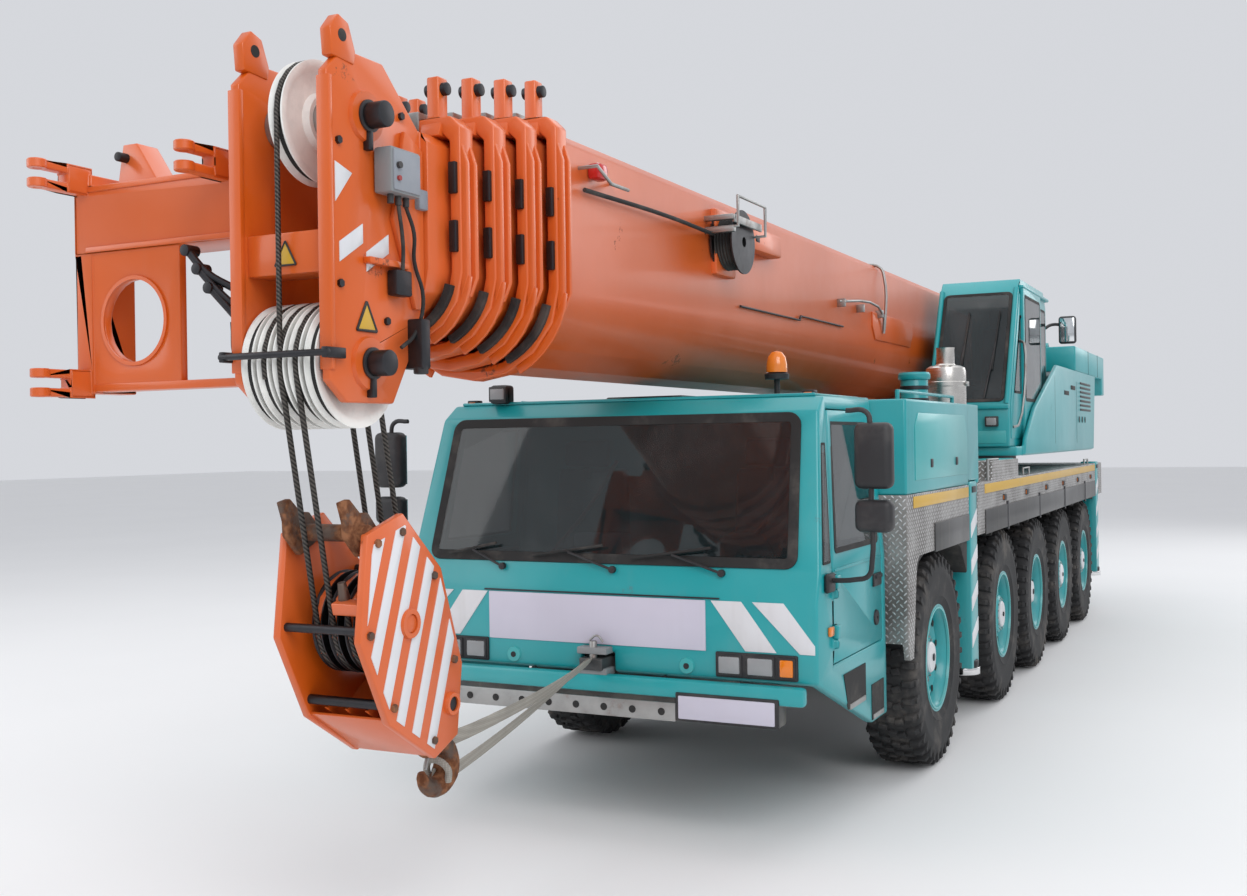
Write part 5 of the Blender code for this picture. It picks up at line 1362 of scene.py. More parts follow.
# ---- deck, engine bay and outriggers -------------------------------------------------------
@dataclass
class Carrier(Glazed):
    """The chequered deck and skirts, engine cover, silencer and outriggers."""

    skirt_x: float = 1.375
    stripe_z: Pair = (1.695, 1.765)
    dark_z: Pair = (1.39, 1.575)

    def deck(self) -> None:
        """The deck with its stripe, dark skirts, lockers, rails and rear lamps."""
        parts: Parts = []
        for side, _ in SIDES:
            x0, x1 = sorted((side * (self.skirt_x - 0.004), side * (self.skirt_x + 0.005)))
            runs = ((1.47, 3.03), (3.62, 10.28)) if side > 0 else ((1.47, 3.30), (3.66, 10.55))
            for a, b in runs:
                parts.append(
                    self.slab("yellow_paint", (x0, a, self.stripe_z[0]), (x1, b, self.stripe_z[1]), 0.002)
                )
                parts.append(
                    self.slab(
                        "hood_black", (x0, max(a, 2.0), self.dark_z[0]),
                        (x1 + side * 0.004, b, self.dark_z[1]), 0.006
                    )
                )
            for s in (4.5, 6.1, 7.7, 9.3):
                parts.append(
                    self.slab("dark_steel", (x0, s, 1.37), (x1 + side * 0.008, s + 0.05, 1.60), 0.004)
                )
            for s in (4.35, 5.4, 6.5, 7.6, 8.7, 9.8):
                parts += self.lamp(
                    (x0, s, 1.61), (x1 + side * 0.012, s + 0.09, 1.66), "amber_lens", "black_plastic", 0.008
                )
            arch = [
                (1.475, 1.16), (1.62, 1.36), (1.95, 1.455), (2.45, 1.455), (2.80, 1.36), (3.0, 1.16),
                (3.02, 1.57), (1.475, 1.57)
            ]
            x2, x3 = sorted((side * 1.02, side * 1.368))
            parts.append(self.side("black_rubber", arch, x2, x3, 0.01))
            for centre in (4.505, 6.16, 7.82, 9.475):
                liner = [
                    (centre - 0.62, 1.36), (centre - 0.35, 1.45), (centre + 0.35, 1.45),
                    (centre + 0.62, 1.36), (centre + 0.62, 1.40), (centre + 0.35, 1.49),
                    (centre - 0.35, 1.49), (centre - 0.62, 1.40)
                ]
                parts.append(self.side("black_rubber", liner, x2, x3, 0.003))
            a, b = sorted((side * 1.08, side * 1.34))
            parts.append(self.slab("light_teal_paint", (a, 4.42, 1.785), (b, 5.13, 1.935), 0.02))
            parts.append(
                self.rod("chrome", (side * 1.22, 4.02, 1.862), (side * 1.22, 4.36, 1.862), 0.07, 28, 0.012)
            )
            parts.append(
                self.run(
                    "zinc",
                    [
                        (side * 1.33, 3.98, 1.78), (side * 1.33, 3.98, 1.94), (side * 1.33, 4.38, 1.94),
                        (side * 1.33, 4.38, 1.78)
                    ],
                    0.012, False
                )
            )
            for s in (5.5, 9.6):
                parts.append(
                    self.run(
                        "zinc",
                        [
                            (side * 1.34, s, 1.78), (side * 1.34, s, 1.84), (side * 1.34, s + 0.3, 1.84),
                            (side * 1.34, s + 0.3, 1.78)
                        ],
                        0.010, False
                    )
                )
            a, b = sorted((side * 0.80, side * 1.30))
            parts.append(self.slab("black_plastic", (a, 10.945, 1.42), (b, 10.975, 1.60), 0.01))
            for index, lens in enumerate(("red_lens", "amber_lens", "clear_lens", "red_lens")):
                near = side * (0.83 + 0.115 * index)
                far = side * (0.93 + 0.115 * index)
                parts.append(
                    self.slab(lens, (min(near, far), 10.96, 1.45), (max(near, far), 10.985, 1.57), 0.008)
                )
            parts.append(self.slab("black_rubber", (a, 10.93, 0.82), (b, 10.945, 1.40), 0.004))
        parts.append(self.slab("panel_paint", (-0.26, 10.95, 1.46), (0.26, 10.962, 1.57), 0.006))
        for s in (3.5, 5.6, 9.2):
            parts.append(self.slab("dark_steel", (-1.36, s, 1.781), (1.36, s + 0.006, 1.785), 0.001))
        self.shop.dress("carrier_deck", "chequer_plate", 0.005, parts)

    def hood(self) -> None:
        """The engine cover with its doors, louvres, grab bar and air intake."""
        parts: Parts = []
        for side, _ in SIDES:
            x0, x1 = sorted((side * (self.skirt_x - 0.004), side * (self.skirt_x + 0.006)))
            panel = [(1.52, 1.86), (3.0, 1.86), (3.0, 2.12), (2.92, 2.27), (1.60, 2.27), (1.52, 2.19)]
            parts.append(self.side("light_teal_paint", panel, x0, x1, 0.004))
            for s in (1.9, 2.62):
                parts.append(
                    self.slab("dark_steel", (x0, s, 1.93), (x1 + side * 0.006, s + 0.06, 1.985), 0.006)
                )
            for s in (1.38, 1.46, 3.05):
                parts.append(
                    self.slab("dark_steel", (x0, s, 1.80), (x1 - side * 0.006, s + 0.004, 2.33), 0.001)
                )
            for index in range(9):
                s = 1.62 + 0.15 * index
                a, b = sorted((side * 0.55, side * 1.20))
                parts.append(self.slab("black_rubber", (a, s, 2.349), (b, s + 0.05, 2.356), 0.002))
            parts.append(
                self.run(
                    "teal_paint",
                    [
                        (side * 1.30, 1.42, 2.35), (side * 1.30, 1.42, 2.40), (side * 1.30, 2.9, 2.40),
                        (side * 1.30, 2.9, 2.35)
                    ],
                    0.014, False
                )
            )
        parts.append(self.slab("teal_paint", (-0.40, 1.40, 2.348), (0.40, 3.2, 2.365), 0.01))
        cap = [(0.112, 0.0), (0.118, 0.012), (0.118, 0.036), (0.108, 0.052), (0.01, 0.058), (0.01, 0.0)]
        parts.append(self.put("teal_paint", turned("cap", cap, self.shop.at(0.95, 3.25, 2.545), Axis.Z, 36)))
        band = [(0.103, 0.0), (0.106, 0.004), (0.106, 0.024), (0.103, 0.028), (0.09, 0.028), (0.09, 0.0)]
        for z in (2.38, 2.47):
            parts.append(
                self.put("dark_steel", turned("band", band, self.shop.at(0.95, 3.25, z), Axis.Z, 36))
            )
        self.shop.dress("engine_hood", "teal_paint", 0.016, parts)

    def silencer(self) -> None:
        """The upright stainless silencer: rolled seams, bands, bolts and a flared outlet."""
        x, s = 1.085, 3.68
        can = [(0.138, 1.785), (0.150, 1.80), (0.150, 1.95), (0.1545, 1.955), (0.1545, 1.985), (0.150, 1.99), (0.150, 2.50),
               (0.1545, 2.505), (0.1545, 2.535), (0.150, 2.54), (0.150, 2.615), (0.143, 2.642), (0.118, 2.658), (0.078, 2.664),
               (0.068, 2.675), (0.066, 2.785), (0.070, 2.797), (0.060, 2.797), (0.057, 2.70), (0.02, 2.66), (0.02, 1.785)]
        centre = self.shop.at(x, s, 0.0)
        parts = [self.put("stainless", turned("can", can, centre, Axis.Z, 64, 28))]
        for z in (1.97, 2.52):
            parts.append(
                self.slab("zinc", (x + 0.145, s - 0.03, z - 0.018), (x + 0.17, s + 0.03, z + 0.018), 0.004)
            )
            parts.append(self.rod("zinc", (x + 0.158, s - 0.045, z), (x + 0.158, s + 0.045, z), 0.007, 10))
        parts.append(
            self.slab("stainless", (x - 0.155, s - 0.012, 2.02), (x - 0.140, s + 0.012, 2.48), 0.003)
        )
        self.shop.fit("exhaust_silencer_finished", "carrier", parts, "exhaust_silencer")

    def outriggers(self) -> None:
        """The four beams with striped columns, and the chromed jacks with feet."""
        for place in ("front", "rear"):
            for side, name in SIDES:
                node = f"outrigger_{place}_{name}_beam"
                low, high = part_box(node)
                s0, s1 = low.y - self.shop.front, high.y - self.shop.front
                x0, x1 = sorted((side * 1.371, side * 1.379))
                parts: Parts = []
                for index in range(4):
                    z = 0.62 + 0.26 * index
                    slant = [
                        (s0 + 0.012, z), (s0 + 0.012, z + 0.10), (s1 - 0.012, z + 0.20),
                        (s1 - 0.012, z + 0.10)
                    ]
                    parts.append(self.side("white_paint", slant, x0, x1, 0.001))
                parts.append(
                    self.slab(
                        "teal_paint", (side * 1.20, s0 - 0.004, 1.70), (side * 1.378, s1 + 0.004, 1.79), 0.01
                    )
                )
                parts.append(
                    self.slab(
                        "dark_steel", (x0, s0 + 0.05, 1.72), (x1 + side * 0.006, s1 - 0.05, 1.765), 0.004
                    )
                )
                collar = [
                    (0.098, 0.472), (0.104, 0.478), (0.104, 0.515), (0.098, 0.52), (0.082, 0.52),
                    (0.082, 0.472)
                ]
                centre = self.shop.at(side * 1.29, (s0 + s1) / 2, 0.0)
                parts.append(self.put("dark_steel", turned("collar", collar, centre, Axis.Z, 32)))
                self.shop.dress(node, "teal_paint", 0.008, parts)
                self.shop.dress(node.replace("beam", "jack"), "chrome", 0.004)

    def chassis(self) -> None:
        """The frame, the engine and the hoses between them."""
        parts: Parts = []
        for side, _ in SIDES:
            for z, r in ((1.10, 0.018), (1.16, 0.014), (1.22, 0.012)):
                parts.append(
                    self.run(
                        "black_rubber",
                        [
                            (side * 0.46, 1.5, z), (side * 0.47, 4.0, z + 0.01),
                            (side * 0.46, 7.0, z - 0.01), (side * 0.46, 10.2, z)
                        ],
                        r
                    )
                )
            tank = [(0.20, -0.32), (0.215, -0.30), (0.215, 0.30), (0.20, 0.32), (0.01, 0.33), (0.01, -0.33)]
            body = turned("tank", tank, (side * 0.74, self.shop.y(5.66), 1.14), Axis.Y, 40)
            parts.append(self.put("frame_grey", body))
        self.shop.dress("chassis_frame", "frame_grey", 0.008, parts)
        engine = [self.slab("dark_steel", (-0.28, 1.75, 2.198), (0.28, 2.8, 2.26), 0.02)]
        for index in range(6):
            engine.append(
                self.rod("zinc", (0.34, 1.80 + 0.17 * index, 2.0), (0.46, 1.80 + 0.17 * index, 2.12), 0.02)
            )
        engine.append(
            self.run("dark_steel", [(0.46, 1.75, 2.10), (0.50, 2.2, 2.14), (0.46, 2.8, 2.10)], 0.045)
        )
        self.shop.dress("engine_block", "forged_iron", 0.02, engine)

    def build(self) -> None:
        """Make the carrier."""
        self.chassis()
        self.deck()
        self.hood()
        self.silencer()
        self.outriggers()


# ---- upper works ---------------------------------------------------------------------------
@dataclass
class Upper(Glazed):
    """The slewing upper: covers, counterweight, winch, driver's cab and lift cylinder."""

    cab_x: Pair = (0.56, 1.265)
    screen_low: Pair = (5.30, 2.39)
    screen_high: Pair = (5.85, 3.45)

    def frame(self) -> None:
        """The slewing platform with its side covers, vents, steps and hoses."""
        parts: Parts = []
        for side, _ in SIDES:
            x0, x1 = sorted((side * 1.338, side * 1.349))
            for s, z in ((8.05, 2.55), (8.55, 2.62)):
                parts.append(self.slab("black_rubber", (x0, s, z), (x1, s + 0.34, z + 0.045), 0.004))
            for s in (9.2, 9.45, 9.70):
                parts.append(self.rod("black_rubber", (x0, s, 2.30), (x1, s, 2.30), 0.035))
            for s in (7.4, 9.0):
                parts.append(
                    self.slab("dark_steel", (x0, s, 2.04), (x1 - side * 0.003, s + 0.005, 2.72), 0.001)
                )
            for index in range(7):
                parts.append(
                    self.slab(
                        "black_plastic", (x0, 9.3, 2.40 + 0.05 * index),
                        (x1 + side * 0.002, 10.2, 2.425 + 0.05 * index), 0.004
                    )
                )
            parts.append(
                self.run(
                    "black_rubber",
                    [
                        (side * 0.62, 6.4, 2.03), (side * 0.66, 7.2, 2.20), (side * 0.60, 8.2, 2.12),
                        (side * 0.58, 9.0, 2.40)
                    ],
                    0.022
                )
            )
            parts.append(
                self.run(
                    "black_rubber",
                    [(side * 0.70, 6.4, 2.03), (side * 0.74, 7.4, 2.12), (side * 0.68, 8.4, 2.08)], 0.016
                )
            )
        parts.append(self.rod("zinc", (-0.62, 10.30, 3.05), (0.62, 10.30, 3.05), 0.055, 28, 0.006))
        for side, _ in SIDES:
            parts.append(
                self.rod(
                    "dark_steel", (side * 0.56, 10.30, 3.05), (side * 0.60, 10.30, 3.05), 0.12, 28, 0.008
                )
            )
        ring = [(0.93, 1.872), (0.95, 1.88), (0.95, 1.925), (0.93, 1.935), (0.86, 1.935), (0.86, 1.872)]
        parts.append(self.put("dark_steel", turned("ring", ring, self.shop.at(0.0, 7.35, 0.0), Axis.Z, 72)))
        parts.append(self.slab("grey_plastic", (-1.25, 6.5, 2.03), (-0.70, 7.3, 2.30), 0.03))
        parts.append(self.slab("teal_paint", (-1.28, 7.5, 2.03), (-0.66, 10.3, 2.50), 0.03))
        self.shop.dress("superstructure_frame", "teal_paint", 0.010, parts)

    def weight(self) -> None:
        """The counterweight with its joints, lifting lugs and tail lamps."""
        parts: Parts = []
        for s in (10.1, 11.0):
            for side, _ in SIDES:
                x0, x1 = sorted((side * 1.336, side * 1.343))
                parts.append(self.slab("dark_steel", (x0, s, 2.845), (x1, s + 0.005, 3.115), 0.001))
        for side, _ in SIDES:
            for s in (9.6, 11.2):
                eye = [(0.055, -0.012), (0.055, 0.012), (0.032, 0.012), (0.032, -0.012)]
                parts.append(
                    self.put("teal_paint", turned("eye", eye, self.shop.at(side * 0.95, s, 3.15), Axis.X, 28))
                )
            parts.append(
                self.slab(
                    "red_lens", (side * 1.0 - 0.07, 11.925, 2.70), (side * 1.0 + 0.07, 11.945, 2.76), 0.008
                )
            )
            slant = [(side * 0.50, 2.66), (side * 0.58, 2.66), (side * 0.70, 3.08), (side * 0.62, 3.08)]
            parts.append(self.face("white_paint", slant if side > 0 else slant[::-1], 11.925, 11.935, 0.001))
        self.shop.dress("counterweight", "teal_paint", 0.016, parts)

    def winch(self) -> None:
        """The hoist drum with wound rope, flanges and a motor end."""
        centre = self.shop.at(0.0, 10.52, 2.21)
        flange = [(0.175, 0.470), (0.175, 0.495), (0.168, 0.499), (0.05, 0.499), (0.05, 0.470)]
        drum = [(0.10, 0.47)]
        for index in range(42):
            along = 0.455 - index * 0.0217
            drum += [(0.142, along), (0.150, along - 0.0108)]
        drum += [(0.142, -0.468), (0.10, -0.47), (0.05, -0.47), (0.05, 0.47)]
        parts = [self.put("wire_rope", turned("wound_rope", drum, centre, Axis.X, 40, 50))]
        for sign in (1, -1):
            disc = turned("flange", [(r, sign * a) for r, a in flange], centre, Axis.X, 48)
            parts.append(self.put("orange_paint", disc))
        for index in range(6):
            turn = math.tau * index / 6
            y, z = centre[1] + 0.11 * math.cos(turn), centre[2] + 0.11 * math.sin(turn)
            parts.append(self.put("zinc", bar("bolt", (-0.4995, y, z), (0.4995, y, z), 0.010, 6)))
        self.shop.fit("main_winch_finished", "main_winch", parts, "main_winch")

    def cab(self) -> None:
        """The driver's cab with its glass, wipers, lamps, rails and mirror."""
        x0, x1 = self.cab_x
        (s0, z0), (s1, z1) = self.screen_low, self.screen_high
        slope = Vector((s1 - s0, z1 - z0)).normalized()
        out = Vector((-slope.y, slope.x)) * 0.009
        a, b = Vector((s0, z0)) + slope * 0.035 + out, Vector((s0, z0)) + slope * 1.165 + out
        parts = self.window(
            [(x0 + 0.045, a.x, a.y), (x1 - 0.045, a.x, a.y), (x1 - 0.045, b.x, b.y), (x0 + 0.045, b.x, b.y)],
            0.03, 0.05
        )
        side_x = x1 + 0.005
        parts += self.window(
            [(side_x, 6.90, 2.58), (side_x, 7.33, 2.58), (side_x, 7.33, 3.37), (side_x, 6.90, 3.37)], 0.025,
            0.04
        )
        inner = x0 - 0.005
        parts += self.window(
            [(inner, 7.28, 2.66), (inner, 6.02, 2.66), (inner, 6.02, 3.37), (inner, 7.28, 3.37)], 0.025, 0.04
        )
        parts += self.window(
            [
                (x0 + 0.07, 6.07, 3.556), (x1 - 0.07, 6.07, 3.556), (x1 - 0.07, 6.93, 3.556),
                (x0 + 0.07, 6.93, 3.556)
            ],
            0.03, 0.05
        )
        for x in (x0 + 0.02, x1 - 0.02):
            parts.append(
                self.rod("teal_paint", (x, s0 - 0.012, z0 + 0.01), (x, s1 - 0.002, z1 + 0.01), 0.022, 12)
            )
        parts.append(self.slab("teal_paint", (x0, s0 - 0.03, 2.36), (x1, s0 + 0.03, 2.405), 0.012))
        for x in (0.78, 1.05):
            low = Vector((s0, z0)) + slope * 0.06 + out * 3
            high = Vector((s0, z0)) + slope * 0.62 + out * 2.6
            parts.append(
                self.run("black_plastic", [(x, low.x, low.y), (x + 0.06, high.x, high.y)], 0.007, False)
            )
            blade = Vector((s0, z0)) + slope * 0.95 + out * 2.4
            mid = Vector((s0, z0)) + slope * 0.35 + out * 2.2
            parts.append(
                self.run(
                    "black_rubber", [(x + 0.045, mid.x, mid.y), (x + 0.075, blade.x, blade.y)], 0.008, False
                )
            )
        for x in (0.68, 1.12):
            parts += self.lamp((x - 0.055, s0 - 0.05, 2.205), (x + 0.055, s0, 2.295), "clear_lens")
        parts.append(
            self.slab("light_teal_paint", (x0 + 0.03, s0 - 0.006, 2.06), (x1 - 0.03, s0 + 0.01, 2.17), 0.006)
        )
        parts.append(
            self.run(
                "zinc",
                [
                    (x1 + 0.012, 5.42, 2.20), (x1 + 0.05, 5.46, 2.22), (x1 + 0.05, 5.80, 2.95),
                    (x1 + 0.012, 5.84, 2.98)
                ],
                0.012
            )
        )
        parts.append(
            self.side(
                "teal_paint", [(5.36, 2.40), (5.86, 3.41), (5.90, 3.41), (5.90, 2.10), (5.36, 2.10)],
                x1 - 0.002, x1 + 0.008, 0.003
            )
        )
        corner = [(x1 + 0.012, 5.50, 2.50), (x1 + 0.012, 5.86, 2.50), (x1 + 0.012, 5.86, 3.22)]
        parts += self.window(corner, 0.022, 0.015, thickness=0.008)
        arm = [(x1 - 0.02, 7.42, 3.20), (x1 + 0.05, 7.55, 3.25), (x1 + 0.16, 7.60, 3.24)]
        parts.append(self.run("black_plastic", arm, 0.016))
        parts.append(
            self.put(
                "black_plastic",
                block("mirror", *self.shop.spread((x1 + 0.10, 7.54, 3.05), (x1 + 0.27, 7.62, 3.33)), 0.03, 4)
            )
        )
        parts.append(self.slab("mirror_glass", (x1 + 0.115, 7.535, 3.07), (x1 + 0.255, 7.545, 3.31), 0.004))
        parts.append(self.slab("black_plastic", (0.70, 7.395, 2.35), (1.15, 7.42, 2.85), 0.02))
        parts.append(
            self.run(
                "black_rubber",
                [(0.75, 7.41, 2.4), (0.80, 7.52, 2.9), (0.9, 7.56, 3.0), (1.0, 7.50, 2.7), (1.05, 7.41, 2.4)],
                0.02
            )
        )
        parts.append(self.slab("dash_plastic", (x0 + 0.06, 5.42, 2.40), (x0 + 0.20, 5.72, 2.85), 0.02))
        parts.append(self.slab("zinc", (x1 - 0.05, 5.85, 2.015), (x1 + 0.07, 6.55, 2.03), 0.004))
        self.shop.dress("crane_cab", "teal_paint", 0.012, parts)
        door_x = 1.302
        extra = self.window(
            [(door_x, 5.945, 2.435), (door_x, 6.805, 2.435), (door_x, 6.805, 3.405), (door_x, 5.945, 3.405)],
            0.03, 0.045, thickness=0.008
        )
        extra.append(self.slab("black_plastic", (1.297, 6.70, 2.28), (1.315, 6.78, 2.40), 0.01))
        self.shop.dress("crane_cab_door", "teal_paint", 0.004, extra)
        seat = [self.slab("seat_cloth", (0.76, 7.08, 3.21), (1.06, 7.16, 3.40), 0.035)]
        for x in (0.67, 1.15):
            seat.append(self.slab("black_plastic", (x - 0.04, 6.55, 2.62), (x + 0.04, 6.90, 2.68), 0.02))
            seat.append(self.rod("black_rubber", (x, 6.60, 2.67), (x, 6.58, 2.86), 0.014))
        self.shop.dress("crane_seat", "seat_cloth", 0.04, seat)

    def lift(self) -> None:
        """The lift cylinder with its gland, bands and oil pipes."""
        foot, eye = Vector(self.shop.at(0.0, 8.60, 2.16)), Vector(self.shop.at(0.0, 4.70, 2.30))
        way = (eye - foot).normalized()
        up = Vector((1, 0, 0)).cross(way) * -1
        parts: Parts = []
        for start in (0.35, 1.6, 2.9):
            p = foot + way * start
            parts.append(self.put("dark_steel", bar("band", p, p + way * 0.05, 0.128, 32, 0.004)))
        for side, _ in SIDES:
            shift = Vector((side * 0.06, 0, 0)) + up * 0.135
            points = [tuple(foot + way * d + shift) for d in (0.25, 1.5, 3.2)]
            parts.append(self.put("zinc", pipe("oil_pipe", points, 0.011)))
        self.shop.dress("lift_cylinder_barrel", "orange_paint", 0.006, parts)
        self.shop.dress("lift_cylinder_rod", "chrome", 0.004)

    def build(self) -> None:
        """Make the upper works."""
        self.frame()
        self.weight()
        self.winch()
        self.cab()
        self.lift()


# ---- boom ----------------------------------------------------------------------------------
@dataclass
class Boom(Glazed):
    """The five boom sections with their collars, shoes, ears, reel and pipes."""

    half: float = 0.42
    top: float = 3.545
    bottom: float = 2.45
    step: float = 0.038
    front: float = -1.20
    pitch: float = 0.20
    depth: float = 0.10

    def belly(self, inset: float, extra: float, first: float, last: float, steps: int = 8) -> list[Pair]:
        """Points of the rounded belly between two angles in degrees, as (x, z)."""
        half = self.half - inset + extra
        low = self.bottom + inset - extra
        level = low + half * 0.86
        points = []
        for index in range(steps + 1):
            turn = math.radians(first + (last - first) * index / steps)
            points.append((half * math.cos(turn), level - (level - low) * math.sin(turn)))
        return points

    def collar(self, number: int) -> Parts:
        """What stands on the collar of section `number`: ribs, shoes, pads, ears' pin and bolts."""
        inset = self.step * number
        s = self.front - self.pitch * number
        outer = self.half - inset + 0.04
        level = self.bottom + inset + (self.half - inset) * 0.86
        parts: Parts = []
        for side, _ in SIDES:
            shoe = self.belly(inset, 0.012, 12, 62) + self.belly(inset, -0.022, 62, 12)
            shoe = [(side * x, z) for x, z in shoe]
            parts.append(
                self.face("black_rubber", shoe if side > 0 else shoe[::-1], s - 0.028, s + 0.004, 0.003)
            )
            rib = [
                (side * (outer - 0.01), level - 0.10), (side * (outer + 0.024), level - 0.02),
                (side * (outer + 0.024), self.top - inset - 0.16),
                (side * (outer - 0.01), self.top - inset - 0.05)
            ]
            parts.append(
                self.face("orange_paint", rib if side > 0 else rib[::-1], s + 0.006, s + 0.034, 0.004)
            )
            parts.append(
                self.face("orange_paint", rib if side > 0 else rib[::-1], s + 0.066, s + 0.094, 0.004)
            )
            arc = self.belly(inset, 0.072, 2, 60, 6) + self.belly(inset, 0.034, 60, 2, 6)
            arc = [(side * x, z) for x, z in arc]
            parts.append(
                self.face("orange_paint", arc if side > 0 else arc[::-1], s + 0.010, s + 0.030, 0.003)
            )
            for z in (level + 0.08, level + 0.32):
                a, b = sorted((side * (outer - 0.05), side * (outer - 0.014)))
                parts.append(self.slab("dark_steel", (a, s - 0.020, z), (b, s + 0.004, z + 0.13), 0.005))
            ear = 0.32 - inset
            parts.append(
                self.rod(
                    "dark_steel", (side * (ear - 0.05), s + 0.045, self.top - inset + 0.165),
                    (side * (ear + 0.055), s + 0.045, self.top - inset + 0.165), 0.027, 20, 0.004
                )
            )
            boss = [
                (s + 0.0, self.top - inset + 0.02), (s + 0.09, self.top - inset + 0.02),
                (s + 0.11, self.top - inset - 0.04), (s - 0.02, self.top - inset - 0.04)
            ]
            a, b = sorted((side * (ear - 0.05), side * (ear + 0.05)))
            parts.append(self.side("orange_paint", boss, a, b, 0.006))
            parts.append(
                self.slab(
                    "zinc",
                    (min(side * (ear - 0.16), side * (ear - 0.06)), s - 0.006, self.top - inset - 0.02),
                    (max(side * (ear - 0.16), side * (ear - 0.06)), s + 0.08, self.top - inset + 0.075),
                    0.008
                )
            )
            parts += [
                self.rod(
                    "zinc", (side * (ear - 0.11), s - 0.012, self.top - inset + 0.03),
                    (side * (ear - 0.11), s - 0.004, self.top - inset + 0.03), 0.014, 6
                )
            ]
        return parts

    def reel(self) -> Parts:
        """The hose reel on the base section's left side, in its silver guard."""
        centre = self.shop.at(0.50, 0.82, 3.27)
        coil: list[Pair] = [(0.06, 0.05)]
        for index in range(6):
            coil += [(0.150, 0.045 - index * 0.018), (0.160, 0.036 - index * 0.018)]
        coil += [(0.06, -0.062)]
        parts = [self.put("black_rubber", turned("coil", coil, centre, Axis.X, 48, 50))]
        for along in (-0.070, 0.056):
            disc = [(0.185, along), (0.185, along + 0.010), (0.03, along + 0.014), (0.03, along)]
            parts.append(self.put("dark_steel", turned("disc", disc, centre, Axis.X, 48)))
        for dz in (0.06, 0.13):
            parts.append(
                self.slab("zinc", (0.41, 0.60 - 0.02, 3.27 + dz - 0.03), (0.60, 0.62, 3.27 + dz), 0.005)
            )
        guard = [
            (0.42, 0.60, 3.33), (0.62, 0.60, 3.33), (0.62, 0.60, 3.50), (0.62, 1.04, 3.50),
            (0.62, 1.04, 3.33), (0.42, 1.04, 3.33)
        ]
        parts.append(self.run("zinc", guard, 0.010, False))
        parts.append(self.slab("zinc", (0.585, 0.60, 3.355), (0.60, 1.04, 3.40), 0.004))
        parts.append(self.slab("orange_paint", (0.38, 0.68, 3.08), (0.455, 0.98, 3.46), 0.012))
        parts.append(self.slab("orange_paint", (0.40, 1.09, 3.28), (0.50, 1.67, 3.42), 0.016))
        parts.append(self.slab("dark_steel", (0.498, 1.20, 3.33), (0.505, 1.26, 3.37), 0.004))
        return parts

    def fittings(self) -> Parts:
        """Pipes, brackets, the lamp guard and the lift bracket on the base section."""
        x = self.half
        parts = [self.run("zinc", [(x + 0.03, 4.27, 2.98), (x + 0.04, 4.27, 3.05), (x + 0.04, 4.27, 3.45), (x + 0.01, 4.27, 3.52), (x - 0.15, 4.27, 3.56)], 0.012)]
        parts.append(
            self.run(
                "zinc",
                [
                    (x + 0.02, 3.10, 3.14), (x + 0.05, 3.12, 3.14), (x + 0.05, 4.20, 3.12),
                    (x + 0.03, 4.27, 3.0)
                ],
                0.010
            )
        )
        parts.append(
            self.run(
                "black_rubber", [(x + 0.02, -0.9, 3.30), (x + 0.035, 0.0, 3.31), (x + 0.035, 0.62, 3.30)],
                0.011
            )
        )
        parts.append(
            self.run(
                "dark_steel",
                [
                    (x + 0.012, 1.1, 2.93), (x + 0.014, 2.2, 2.93), (x + 0.014, 2.22, 2.96),
                    (x + 0.012, 3.2, 2.96)
                ],
                0.007, False
            )
        )
        for s in (3.1, 3.6, 4.15):
            parts.append(self.slab("zinc", (x - 0.004, s, 3.10), (x + 0.06, s + 0.03, 3.16), 0.004))
        for side, _ in SIDES:
            a, b = sorted((side * (x - 0.01), side * (x + 0.014)))
            doubler = [(4.10, 2.92), (5.22, 2.92), (5.30, 3.02), (5.30, 3.14), (4.02, 3.14), (4.02, 3.02)]
            parts.append(self.side("orange_paint", doubler, a, b, 0.005))
            parts.append(self.slab("orange_paint", (a, 8.6, 2.95), (b, 9.9, 3.25), 0.008))
            parts.append(
                self.rod("dark_steel", (side * 0.10, 4.70, 2.30), (side * 0.19, 4.70, 2.30), 0.05, 24, 0.006)
            )
        lamp = [
            (0.38, -0.92, 3.40), (0.52, -0.92, 3.40), (0.52, -0.78, 3.34), (0.52, -0.60, 3.34),
            (0.38, -0.60, 3.40)
        ]
        parts.append(self.run("zinc", lamp, 0.009, False))
        parts.append(self.slab("red_lens", (0.42, -0.84, 3.36), (0.49, -0.74, 3.44), 0.02))
        for s in (0.4, 2.4, 4.4, 6.4, 8.4):
            for side, _ in SIDES:
                parts.append(
                    self.slab(
                        "orange_paint", (side * 0.26 - 0.03, s, self.top - 0.004),
                        (side * 0.26 + 0.03, s + 0.12, self.top + 0.03), 0.008
                    )
                )
        parts.append(
            self.run(
                "black_rubber",
                [
                    (-0.18, -0.6, self.top + 0.02), (-0.18, 3.0, self.top + 0.018),
                    (-0.18, 9.5, self.top + 0.02)
                ],
                0.014
            )
        )
        return parts

    def build(self) -> None:
        """Dress the base and the three inner sections with collars."""
        self.shop.dress(
            "boom_base_section", "orange_paint", 0.010, [*self.collar(0), *self.reel(), *self.fittings()]
        )
        for number in (1, 2, 3):
            self.shop.dress(f"boom_section_{number}", "orange_paint", 0.008, self.collar(number))


